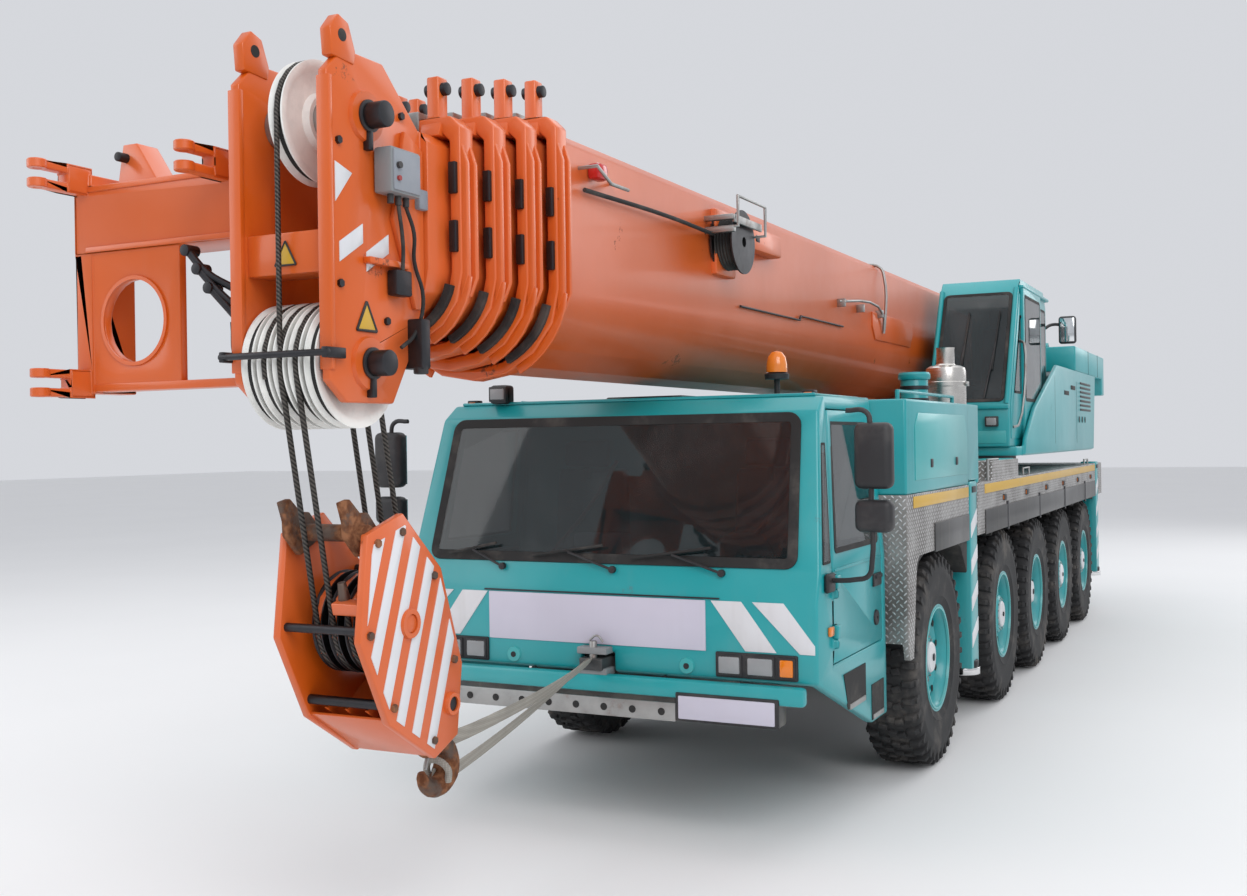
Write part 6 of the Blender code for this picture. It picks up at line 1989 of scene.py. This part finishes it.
# ---- boom head -----------------------------------------------------------------------------
def clipped(outline: list[Pair], normal: Pair, limit: float) -> list[Pair]:
    """The part of a convex outline where the point times `normal` is under `limit`."""
    kept: list[Pair] = []
    for index, here in enumerate(outline):
        last = outline[index - 1]
        a = last[0] * normal[0] + last[1] * normal[1] - limit
        b = here[0] * normal[0] + here[1] * normal[1] - limit
        if (a <= 0) != (b <= 0):
            t = a / (a - b)
            kept.append((last[0] + (here[0] - last[0]) * t, last[1] + (here[1] - last[1]) * t))
        if b <= 0:
            kept.append(here)
    return kept


def shrunk(outline: list[Pair], by: float) -> list[Pair]:
    """A convex outline drawn in towards its middle."""
    x, y = (sum(p[i] for p in outline) / len(outline) for i in (0, 1))
    return [(x + (a - x) * (1 - by), y + (b - y) * (1 - by)) for a, b in outline]


@dataclass
class Head(Glazed):
    """The boom head: cheek plates, sheaves, pins, junction box, marks and the jib adapter."""

    front: float = -2.50
    plate: float = 0.23
    lower: Pair = (-2.275, 2.43)
    upper: Pair = (-2.275, 3.37)
    pitch: float = 0.075

    def sheave(self, radius: float, width: float, hub: float) -> list[Pair]:
        """A grooved wheel's profile."""
        w, r = width / 2, radius
        return [(r, w), (r, w - 0.007), (r - 0.022, 0.005), (r - 0.022, -0.005), (r, 0.007 - w), (r, -w), (r - 0.03, -w),
                (r - 0.042, 0.010 - w), (0.115, 0.010 - w), (0.104, -hub), (0.057, -hub), (0.057, hub), (0.104, hub),
                (0.115, w - 0.010), (r - 0.042, w - 0.010), (r - 0.03, w)]

    def sheaves(self) -> None:
        """The five lower wheels and the single top one."""
        parts: Parts = []
        for index in range(5):
            x = (index - 2) * self.pitch
            centre = self.shop.at(x, *self.lower)
            parts.append(
                self.put(
                    "sheave_nylon",
                    turned("sheave", self.sheave(0.245, 0.056, 0.036), centre, Axis.X, 72, 40)
                )
            )
            groove = [
                (0.2245, 0.0075), (0.2300, 0.012), (0.2300, -0.012), (0.2245, -0.0075), (0.20, -0.004),
                (0.20, 0.004)
            ]
            parts.append(self.put("black_rubber", turned("groove", groove, centre, Axis.X, 72, 40)))
        self.shop.fit("head_sheaves_finished", "head_sheaves", parts, "head_sheaves")
        centre = self.shop.at(0.0, *self.upper)
        parts = [self.put("sheave_nylon", turned("sheave", self.sheave(0.24, 0.066, 0.05), centre, Axis.X, 72, 40))]
        collar = [(0.085, 0.188), (0.085, 0.05), (0.057, 0.05), (0.057, 0.188)]
        for sign in (1, -1):
            parts.append(
                self.put("zinc", turned("spacer", [(r, sign * a) for r, a in collar], centre, Axis.X, 40))
            )
        groove = [
            (0.2195, 0.0075), (0.2240, 0.012), (0.2240, -0.012), (0.2195, -0.0075), (0.20, -0.004),
            (0.20, 0.004)
        ]
        parts.append(self.put("black_rubber", turned("groove", groove, centre, Axis.X, 72, 40)))
        self.shop.fit("top_sheave_finished", "top_sheave", parts, "top_sheave")

    def marks(self, x: float, side: int) -> Parts:
        """White slants and a blank yellow triangle on a cheek plate's outer face."""
        x0, x1 = sorted((x - side * 0.002, x + side * 0.003))
        wedge = [(-2.46, 3.02), (-2.46, 3.17), (-2.36, 3.14)]
        flag = [(-2.05, 3.02), (-1.98, 2.96), (-1.98, 2.88), (-2.10, 2.99)]
        parts = [self.side("white_paint", shape, x0, x1, 0.001) for shape in (wedge, flag)]
        for a, b, z in ((-2.44, -2.30, 2.80), (-2.28, -2.14, 2.78)):
            slant = [(a, z), (a, z + 0.075), (b, z + 0.16), (b, z + 0.085)]
            parts.append(self.side("white_paint", slant, x0, x1, 0.001))
        triangle = [(-2.345, 2.555), (-2.225, 2.555), (-2.285, 2.665)]
        parts.append(self.side("yellow_paint", triangle, x0, x1 + side * 0.001, 0.001))
        border_radius, face = 0.0055, x + side * 0.003
        for start, end in zip(triangle, triangle[1:] + triangle[:1]):
            parts.append(self.rod("black_plastic", (face, *start), (face, *end), border_radius, 8))
        return parts

    def cheeks(self) -> None:
        """The head's plates with their rims, lugs, cross box, pins and electrics."""
        parts: Parts = []
        for side, _ in SIDES:
            x = side * self.plate
            a, b = sorted((x - side * 0.045, x + side * 0.005))
            inner, outer = sorted((x, x + side * 0.03))
            for s, z, r in ((*self.upper, 0.10), (*self.lower, 0.105)):
                boss = [(r, 0.0), (r - 0.006, 0.016), (r * 0.55, 0.018), (r * 0.55, 0.0)]
                piece = turned("boss", [(p, side * q) for p, q in boss], self.shop.at(x, s, z), Axis.X, 40)
                parts.append(self.put("orange_paint", piece))
                parts.append(self.rod("dark_steel", (x, s, z), (x + side * 0.105, s, z), 0.050, 32, 0.006))
                parts.append(
                    self.rod(
                        "black_plastic", (x + side * 0.018, s, z), (x + side * 0.030, s, z), 0.062, 32, 0.003
                    )
                )
                parts.append(
                    self.slab(
                        "dark_steel", (inner, s - 0.014, z - 0.13), (outer, s + 0.014, z - 0.055), 0.004
                    )
                )
            lug = [
                (self.front + 0.03, 3.56), (self.front + 0.02, 3.66), (self.front + 0.07, 3.72),
                (self.front + 0.13, 3.70), (self.front + 0.17, 3.60), (self.front + 0.16, 3.55)
            ]
            parts.append(self.side("orange_paint", lug, a, b, 0.006))
            parts.append(
                self.rod(
                    "black_rubber", (b + 0.001, self.front + 0.09, 3.645),
                    (a - 0.001, self.front + 0.09, 3.645), 0.024, 20
                )
            )
            parts.append(
                self.side(
                    "orange_paint",
                    [
                        (self.front - 0.004, 2.40), (self.front + 0.02, 2.40), (self.front + 0.02, 3.48),
                        (self.front - 0.004, 3.48)
                    ],
                    a - 0.006 if side < 0 else a, b if side < 0 else b + 0.006, 0.003
                )
            )
            parts.append(
                self.side(
                    "orange_paint",
                    [(-2.13, 3.00), (-1.99, 2.66), (-1.93, 2.66), (-1.93, 3.30), (-2.05, 3.36)], inner,
                    outer - 0.008 if side > 0 else outer, 0.005
                )
            )
            for s, z in ((-2.44, 2.72), (-2.44, 3.25), (-2.16, 2.60), (-2.05, 3.42)):
                parts.append(self.rod("dark_steel", (x, s, z), (x + side * 0.013, s, z), 0.016, 6))
            parts += self.marks(x, side)
        parts.append(self.slab("orange_paint", (-0.192, -2.465, 2.765), (0.192, -2.30, 2.925), 0.010))
        parts.append(
            self.face("yellow_paint", [(-0.05, 2.80), (0.05, 2.80), (0.0, 2.89)], -2.470, -2.463, 0.001)
        )
        for corner in (
            ((-0.05, 2.80), (0.05, 2.80)), ((0.05, 2.80), (0.0, 2.89)), ((0.0, 2.89), (-0.05, 2.80))
        ):
            parts.append(
                self.rod(
                    "black_plastic", (corner[0][0], -2.469, corner[0][1]),
                    (corner[1][0], -2.469, corner[1][1]), 0.004, 8
                )
            )
        parts.append(self.rod("dark_steel", (-0.26, -2.545, 2.46), (0.26, -2.545, 2.46), 0.013, 16, 0.003))
        for side, _ in SIDES:
            parts.append(
                self.slab(
                    "dark_steel", (side * 0.245 - 0.012, -2.555, 2.44), (side * 0.245 + 0.012, -2.44, 2.48),
                    0.004
                )
            )
        box_x = self.plate + 0.006
        parts.append(self.slab("grey_paint", (box_x, -2.235, 3.085), (box_x + 0.085, -2.045, 3.262), 0.010))
        parts.append(
            self.slab("grey_plastic", (box_x + 0.083, -2.225, 3.095), (box_x + 0.092, -2.055, 3.252), 0.004)
        )
        parts.append(
            self.rod("black_plastic", (box_x + 0.09, -2.20, 3.19), (box_x + 0.105, -2.20, 3.19), 0.013)
        )
        parts.append(self.rod("red_paint", (box_x + 0.09, -2.20, 3.14), (box_x + 0.102, -2.20, 3.14), 0.010))
        for s in (-2.19, -2.14, -2.09):
            parts.append(
                self.rod("black_plastic", (box_x + 0.045, s, 3.088), (box_x + 0.045, s, 3.05), 0.013)
            )
        parts.append(self.slab("grey_plastic", (box_x, -1.99, 3.06), (box_x + 0.04, -1.93, 3.14), 0.006))
        parts.append(self.slab("dark_steel", (box_x, -2.16, 2.70), (box_x + 0.05, -2.06, 2.80), 0.008))
        parts.append(
            self.slab("orange_paint", (self.plate, -2.30, 2.81), (box_x + 0.03, -2.05, 2.835), 0.004)
        )
        parts.append(
            self.run(
                "black_rubber",
                [
                    (box_x + 0.045, -2.09, 3.05), (box_x + 0.06, -2.06, 2.95), (box_x + 0.03, -2.02, 2.85),
                    (box_x + 0.05, -1.99, 2.70), (box_x + 0.03, -2.02, 2.56), (box_x + 0.02, -2.10, 2.50)
                ],
                0.008
            )
        )
        parts.append(
            self.run(
                "black_rubber",
                [(box_x + 0.045, -2.14, 3.05), (box_x + 0.05, -2.12, 2.90), (box_x + 0.04, -2.11, 2.80)],
                0.008
            )
        )
        parts.append(self.rod("dark_steel", (-0.19, -2.04, 3.46), (0.19, -2.04, 3.46), 0.022, 20, 0.004))
        parts.append(self.slab("dark_steel", (0.20, -2.02, 2.42), (0.30, -1.96, 2.62), 0.01))
        parts.append(self.rod("black_plastic", (0.27, -1.99, 2.40), (0.27, -1.99, 2.56), 0.03, 20, 0.006))
        self.shop.dress("boom_section_4", "orange_paint", 0.007, parts)

    def adapter(self) -> None:
        """The jib adapter with its fork eyes, ribs, pins and folded levers."""
        parts: Parts = []
        for x, z in ((-1.27, 3.27), (-1.27, 2.40), (-0.45, 3.25)):
            for dz in (0.04, -0.04):
                eye = [
                    (0.036, dz - 0.019), (0.040, dz - 0.015), (0.040, dz + 0.015), (0.036, dz + 0.019),
                    (0.018, dz + 0.019), (0.018, dz - 0.019)
                ]
                parts.append(
                    self.put("orange_paint", turned("fork_eye", eye, self.shop.at(x, -2.52, z), Axis.Z, 28))
                )
        hole = [(0.190, -0.004), (0.190, 0.004), (0.174, 0.004), (0.174, -0.004)]
        parts.append(
            self.put("orange_paint", turned("hole_rim", hole, self.shop.at(-0.98, -2.288, 2.66), Axis.Y, 48))
        )
        for z in (2.975, 3.235):
            parts.append(
                self.slab("orange_paint", (-1.25, -2.298, z - 0.012), (-0.26, -2.284, z + 0.012), 0.004)
            )
        parts.append(self.slab("orange_paint", (-0.30, -2.30, 2.93), (-0.232, -2.04, 3.28), 0.01))
        parts.append(self.rod("dark_steel", (-1.06, -2.29, 3.36), (-1.06, -2.06, 3.36), 0.020, 20, 0.003))
        for index, (x, z) in enumerate(((-0.62, 2.92), (-0.56, 2.84), (-0.50, 2.76))):
            parts.append(
                self.run(
                    "dark_steel",
                    [(x, -2.34, z), (x + 0.10, -2.33, z - 0.10), (x + 0.20, -2.30, z - 0.16 - 0.03 * index)],
                    0.016
                )
            )
            parts.append(self.rod("dark_steel", (x, -2.36, z), (x, -2.29, z), 0.024, 16, 0.003))
        parts.append(
            self.run(
                "black_rubber", [(-0.42, -2.30, 2.62), (-0.36, -2.34, 2.45), (-0.33, -2.30, 2.38)], 0.012
            )
        )
        parts.append(self.slab("orange_paint", (-1.30, -2.288, 2.365), (-0.26, -2.20, 2.40), 0.006))
        self.shop.dress("jib_adapter", "orange_paint", 0.006, parts)

    def top_fall(self) -> None:
        """The rope from the boom's top over the top wheel and down to the lower ones."""
        s, z = self.upper
        radius = 0.231
        points = [self.shop.at(0.0, -1.93, 3.575)]
        for degrees in (75, 60, 45, 30, 15, 0, -15, -30, -45, -60, -75, -90):
            turn = math.radians(degrees)
            points.append(self.shop.at(0.0, s + radius * math.sin(turn), z + radius * math.cos(turn)))
        points.append(self.shop.at(0.0, s - radius, 3.0))
        points.append(self.shop.at(0.0, self.lower[0] - 0.232, 2.50))
        points[1:3] = []
        rope = self.put("wire_rope", pipe("head_rope", points, 0.0105, False, False, 4))
        guide = self.put(
            "dark_steel",
            bar("guide", self.shop.at(-0.10, -1.925, 3.552), self.shop.at(0.10, -1.925, 3.552), 0.018, 20)
        )
        self.shop.fit("head_rope", "boom_4", [rope, guide])

    def build(self) -> None:
        """Make the head."""
        self.cheeks()
        self.sheaves()
        self.adapter()
        self.top_fall()


# ---- hook block ----------------------------------------------------------------------------
@dataclass
class Block(Assembly):
    """The striped hook block with its wheels, falls of rope, hook and slings."""

    pin: Pair = (-2.0198, 1.4063)
    head_pin: Pair = (-2.275, 2.43)
    tilt: float = 34.0
    plate_x: float = 0.215
    outline: tuple[Pair, ...] = ((-0.006, 0.451), (0.224, 0.382), (0.304, 0.038), (0.193, -0.389), (-0.007, -0.612),
                                 (-0.183, -0.574), (-0.326, -0.237), (-0.277, 0.141))

    def place(self, s: float, z: float) -> Pair:
        """World (s, z) of a place in the leaning block's own frame."""
        lean = math.radians(self.tilt)
        return (
            self.pin[0] + s * math.cos(lean) - z * math.sin(lean),
            self.pin[1] + s * math.sin(lean) + z * math.cos(lean)
        )

    def stripes(self, side: int) -> Parts:
        """White slanting bands on a side plate."""
        border = shrunk([self.place(*p) for p in self.outline], 0.09)
        lean = math.radians(19.5)
        normal = (math.cos(lean), -math.sin(lean))
        middle = self.pin[0] * normal[0] + self.pin[1] * normal[1]
        parts = []
        x0, x1 = sorted((side * (self.plate_x - 0.002), side * (self.plate_x + 0.0035)))
        for index in range(-3, 3):
            low = middle + 0.118 * index + 0.035
            band = clipped(clipped(border, normal, low + 0.058), (-normal[0], -normal[1]), -low)
            if len(band) > 2:
                parts.append(self.side("white_paint", band, x0, x1, 0.001))
        return parts

    def body(self) -> None:
        """The block's plates, rims, wheels, cross pins, guard and top bracket."""
        parts: Parts = []
        for side, _ in SIDES:
            parts += self.stripes(side)
            x = side * self.plate_x
            for s, z, r in ((0.0, 0.0, 0.062), (0.03, -0.47, 0.05)):
                place = self.place(s, z)
                ring = [(r, 0.0), (r - 0.004, 0.016), (r * 0.62, 0.016), (r * 0.62, 0.0)]
                parts.append(
                    self.put(
                        "orange_paint",
                        turned("boss", [(p, side * q) for p, q in ring], self.shop.at(x, *place), Axis.X, 32)
                    )
                )
                parts.append(
                    self.rod(
                        "orange_paint" if r > 0.06 else "dark_steel", (x - side * 0.01, *place),
                        (x + side * 0.010, *place), r * 0.6, 24, 0.003
                    )
                )
            for s, z in (
                (0.17, 0.33), (0.24, 0.05), (0.15, -0.33), (-0.15, -0.50), (-0.27, -0.20), (-0.22, 0.13),
                (0.02, 0.39)
            ):
                place = self.place(s, z)
                parts.append(self.rod("forged_iron", (x, *place), (x + side * 0.014, *place), 0.017, 6))
        for s, z, r in (
            (0.19, 0.30, 0.020), (0.255, 0.06, 0.018), (0.17, -0.33, 0.018), (-0.15, -0.48, 0.022),
            (-0.28, -0.18, 0.020), (-0.22, 0.15, 0.018)
        ):
            place = self.place(s, z)
            parts.append(
                self.rod("dark_steel", (-self.plate_x + 0.02, *place), (self.plate_x - 0.02, *place), r, 16)
            )
        belly = [self.place(s, z) for s, z in ((0.288, 0.02), (0.300, 0.02), (0.190, -0.385), (0.178, -0.38))]
        parts.append(self.side("orange_paint", belly, -0.19, 0.19, 0.003))
        front = [
            self.place(s, z) for s,
            z in ((-0.318, -0.225), (-0.304, -0.225), (-0.172, -0.545), (-0.186, -0.560))
        ]
        parts.append(self.side("orange_paint", front, -0.19, 0.19, 0.003))
        for x in (-0.10, 0.0, 0.10):
            rib = [
                self.place(s, z) for s, z in ((-0.30, -0.20), (-0.24, -0.22), (-0.12, -0.52), (-0.17, -0.55))
            ]
            parts.append(self.side("orange_paint", rib, x - 0.006, x + 0.006, 0.002))
        for index in (-1, 0, 1):
            centre = self.shop.at(index * 0.08, *self.pin)
            wheel = [
                (0.206, 0.024), (0.206, 0.018), (0.186, 0.004), (0.186, -0.004), (0.206, -0.018),
                (0.206, -0.024), (0.17, -0.024), (0.05, -0.024), (0.05, 0.024), (0.17, 0.024)
            ]
            parts.append(self.put("dark_steel", turned("wheel", wheel, centre, Axis.X, 56, 40)))
        bracket = [
            self.place(s, z) for s,
            z in (
                (-0.03, 0.36), (0.13, 0.34), (0.11, 0.47), (0.07, 0.50), (0.05, 0.58), (0.00, 0.60),
                (-0.02, 0.52), (-0.05, 0.47)
            )
        ]
        for x in (-0.165, 0.125):
            parts.append(self.side("forged_iron", bracket, x, x + 0.030, 0.006))
        parts.append(
            self.rod(
                "forged_iron", (-0.19, *self.place(0.03, 0.43)), (0.19, *self.place(0.03, 0.43)), 0.034, 20,
                0.006
            )
        )
        self.shop.dress("hook_block", "orange_paint", 0.006, parts)

    def falls(self) -> None:
        """The rope's falls between the head and the block, as it is rove."""
        way = Vector((self.head_pin[0] - self.pin[0], self.head_pin[1] - self.pin[1]))
        length = way.length
        up = way.normalized()
        out = Vector((up.y, -up.x))
        points: list[Point] = []

        def mark(x: float, s: float, z: float) -> None:
            """Add a point from the falls' own frame."""
            here = Vector(self.pin) + out * s + up * z
            points.append(self.shop.at(x, here.x, here.y))

        top, low = 0.2345, 0.1965
        for index, x in enumerate((-0.08, 0.0, 0.08)):
            head_x = (index - 1) * 0.075
            for step in range(13):
                turn = math.pi * step / 12
                mark(head_x, -top * math.cos(turn), length + top * math.sin(turn))
            for step in range(13):
                turn = math.pi * step / 12
                mark(x, low * math.cos(turn), -low * math.sin(turn))
        mark(0.08, -low, 0.13)
        rope = self.put("wire_rope", pipe("falls", points, 0.0115, False, False, 4))
        end = Vector(self.pin) - out * low + up * 0.12
        start = Vector(self.pin) - out * low + up * 0.24
        socket = self.put(
            "forged_iron",
            bar(
                "socket", self.shop.at(0.08, start.x, start.y), self.shop.at(0.08, end.x, end.y), 0.016, 20,
                0.003, 0.030
            )
        )
        self.shop.fit("hoist_rope_finished", "hook_block", [rope, socket], "hoist_rope")

    def hook(self) -> None:
        """The forged hook with its nut and safety catch, and two flat slings to the hitch."""
        nut = self.place(0.0, -0.605), self.place(0.0, -0.66)
        parts = [self.rod("forged_iron", (0.0, *nut[0]), (0.0, *nut[1]), 0.058, 8, 0.006)]
        crook, radii = [], []
        for degrees, radius in (
            (95, 0.036), (75, 0.040), (50, 0.042), (20, 0.046), (-10, 0.052), (-40, 0.058), (-70, 0.060),
            (-100, 0.054), (-130, 0.046), (-160, 0.036), (-190, 0.026), (-205, 0.016)
        ):
            turn = math.radians(degrees)
            crook.append(
                self.shop.at(0.0, *self.place(0.098 * math.cos(turn), -0.83 + 0.098 * math.sin(turn)))
            )
            radii.append(radius)
        crook.insert(0, self.shop.at(0.0, *self.place(0.0, -0.66)))
        radii.insert(0, 0.036)
        parts.append(self.put("forged_iron", tapered("crook", crook, radii)))
        parts.append(
            self.run(
                "zinc", [(0.0, *self.place(0.03, -0.735)), (0.0, *self.place(-0.06, -0.80))], 0.010, False
            )
        )
        self.shop.fit("hook_finished", "hook", parts, "hook")
        seat = self.place(0.0, -0.925)
        strands: Parts = []
        for x, lift, sag in ((0.04, 0.17, 0.010), (-0.03, -0.02, 0.030)):
            strands.append(self.put("sling_cloth", strap([
                self.shop.at(
                    x * 0.3, seat[0] - 0.06, seat[1] + 0.055 + lift * 0.8
                ), self.shop.at(x, seat[0] + 0.02, seat[1] + lift), self.shop.at(
                    x * 1.4, seat[0] * 0.66, seat[1] * 0.66 + 0.32 + lift * 0.7 - sag
                ),
                self.shop.at(
                    x * 1.2, seat[0] * 0.33, seat[1] * 0.33 + 0.64 + lift * 0.3 - sag
                ), self.shop.at(x * 0.3, -0.075, 0.955)], 0.085)))
        loop = self.run(
            "sling_cloth",
            [
                (0.05, seat[0] - 0.02, seat[1]), (0.055, seat[0] - 0.03, seat[1] + 0.06),
                (0.0, seat[0] - 0.055, seat[1] + 0.10), (-0.055, seat[0] - 0.03, seat[1] + 0.06),
                (-0.05, seat[0] - 0.02, seat[1])
            ],
            0.016
        )
        self.shop.fit("tie_slings", "hook_block", [*strands, loop])

    def build(self) -> None:
        """Make the block, its rope, its hook and the slings."""
        self.body()
        self.falls()
        self.hook()


def tapered(name: str, points: list[Point], radii: list[float]) -> bpy.types.Object:
    """A bent bar whose thickness changes from point to point."""
    deselect()
    curve = bpy.data.curves.new(name, "CURVE")
    curve.dimensions, curve.bevel_depth, curve.bevel_resolution = "3D", 1.0, 5
    curve.use_fill_caps, curve.resolution_u = True, 6
    spline = curve.splines.new("BEZIER")
    spline.bezier_points.add(len(points) - 1)
    for knot, point, radius in zip(spline.bezier_points, points, radii):
        knot.co, knot.radius = point, radius
        knot.handle_left_type = knot.handle_right_type = "AUTO"
    piece = bpy.data.objects.new(name, curve)
    bpy.context.scene.collection.objects.link(piece)
    choose(piece)
    bpy.ops.object.convert(target="MESH")
    return soften(mend(settle(bpy.context.object, name)), 0.0)


def strap(points: list[Point], width: float, thickness: float = 0.007) -> bpy.types.Object:
    """A flat woven strap along points, its width upright, twisting a little."""
    deselect()
    bpy.ops.mesh.primitive_grid_add(x_subdivisions=len(points) - 1, y_subdivisions=2, size=1.0)
    piece = bpy.context.object
    count = len(points)
    for index, vertex in enumerate(piece.data.vertices):
        row, column = index // count, index % count
        twist = math.radians(20 + 7 * column)
        across = Vector((math.sin(twist) * 0.5, 0.0, math.cos(twist))) * (row / 2 - 0.5) * width
        vertex.co = Vector(points[column]) + across
    settle(piece, "strap")
    choose(piece)
    wall = piece.modifiers.new("Thickness", "SOLIDIFY")
    wall.thickness, wall.offset = thickness, 0.0
    bpy.ops.object.modifier_apply(modifier=wall.name)
    smooth = piece.modifiers.new("Smooth", "SUBSURF")
    smooth.levels = smooth.render_levels = 2
    bpy.ops.object.modifier_apply(modifier=smooth.name)
    return soften(mend(piece), 0.0)


@dataclass
class Plain(Assembly):
    """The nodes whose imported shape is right, rounded and painted."""

    finishes: dict[str, str] = field(default_factory=lambda: {
        "chassis_frame": "frame_grey", "engine_block": "forged_iron", "crane_seat": "seat_cloth",
        "cab_seats": "seat_cloth", "cab_dashboard": "dash_plastic", "carrier_deck": "chequer_plate",
        "engine_hood": "teal_paint", "exhaust_silencer": "stainless", "carrier_cab": "teal_paint",
        "mirror_left": "black_plastic", "mirror_right": "black_plastic", "crane_cab": "teal_paint",
        "crane_cab_door": "teal_paint", "superstructure_frame": "teal_paint", "counterweight": "teal_paint",
        "main_winch": "dark_steel", "lift_cylinder_barrel": "orange_paint", "lift_cylinder_rod": "chrome",
        "jib_adapter": "orange_paint", "head_sheaves": "sheave_nylon", "top_sheave": "sheave_nylon",
        "hook_block": "orange_paint", "hoist_rope": "wire_rope", "hook": "forged_iron"})

    def build(self) -> None:
        """Dress every node that no other class has replaced."""
        for node, piece in sorted(self.shop.nodes.items()):
            if piece.hide_render:
                continue
            finish = self.finishes.get(node, "teal_paint")
            if node.startswith("boom"):
                finish = "orange_paint"
            if node.endswith("_jack"):
                finish = "chrome"
            self.shop.dress(node, finish)


def main() -> None:
    """Build the crane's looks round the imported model."""
    logging.basicConfig(level=logging.INFO, format="%(name)s: %(message)s")
    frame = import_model()
    deselect()
    shop = Workshop(frame)
    for assembly in (Studio, RunningGear, CarrierCab, Carrier, Upper, Boom, Head, Block, Plain):
        assembly(shop).build()
    deselect()
    LOG.info("%d pieces", shop.count)


if __name__ == "__main__":
    main()
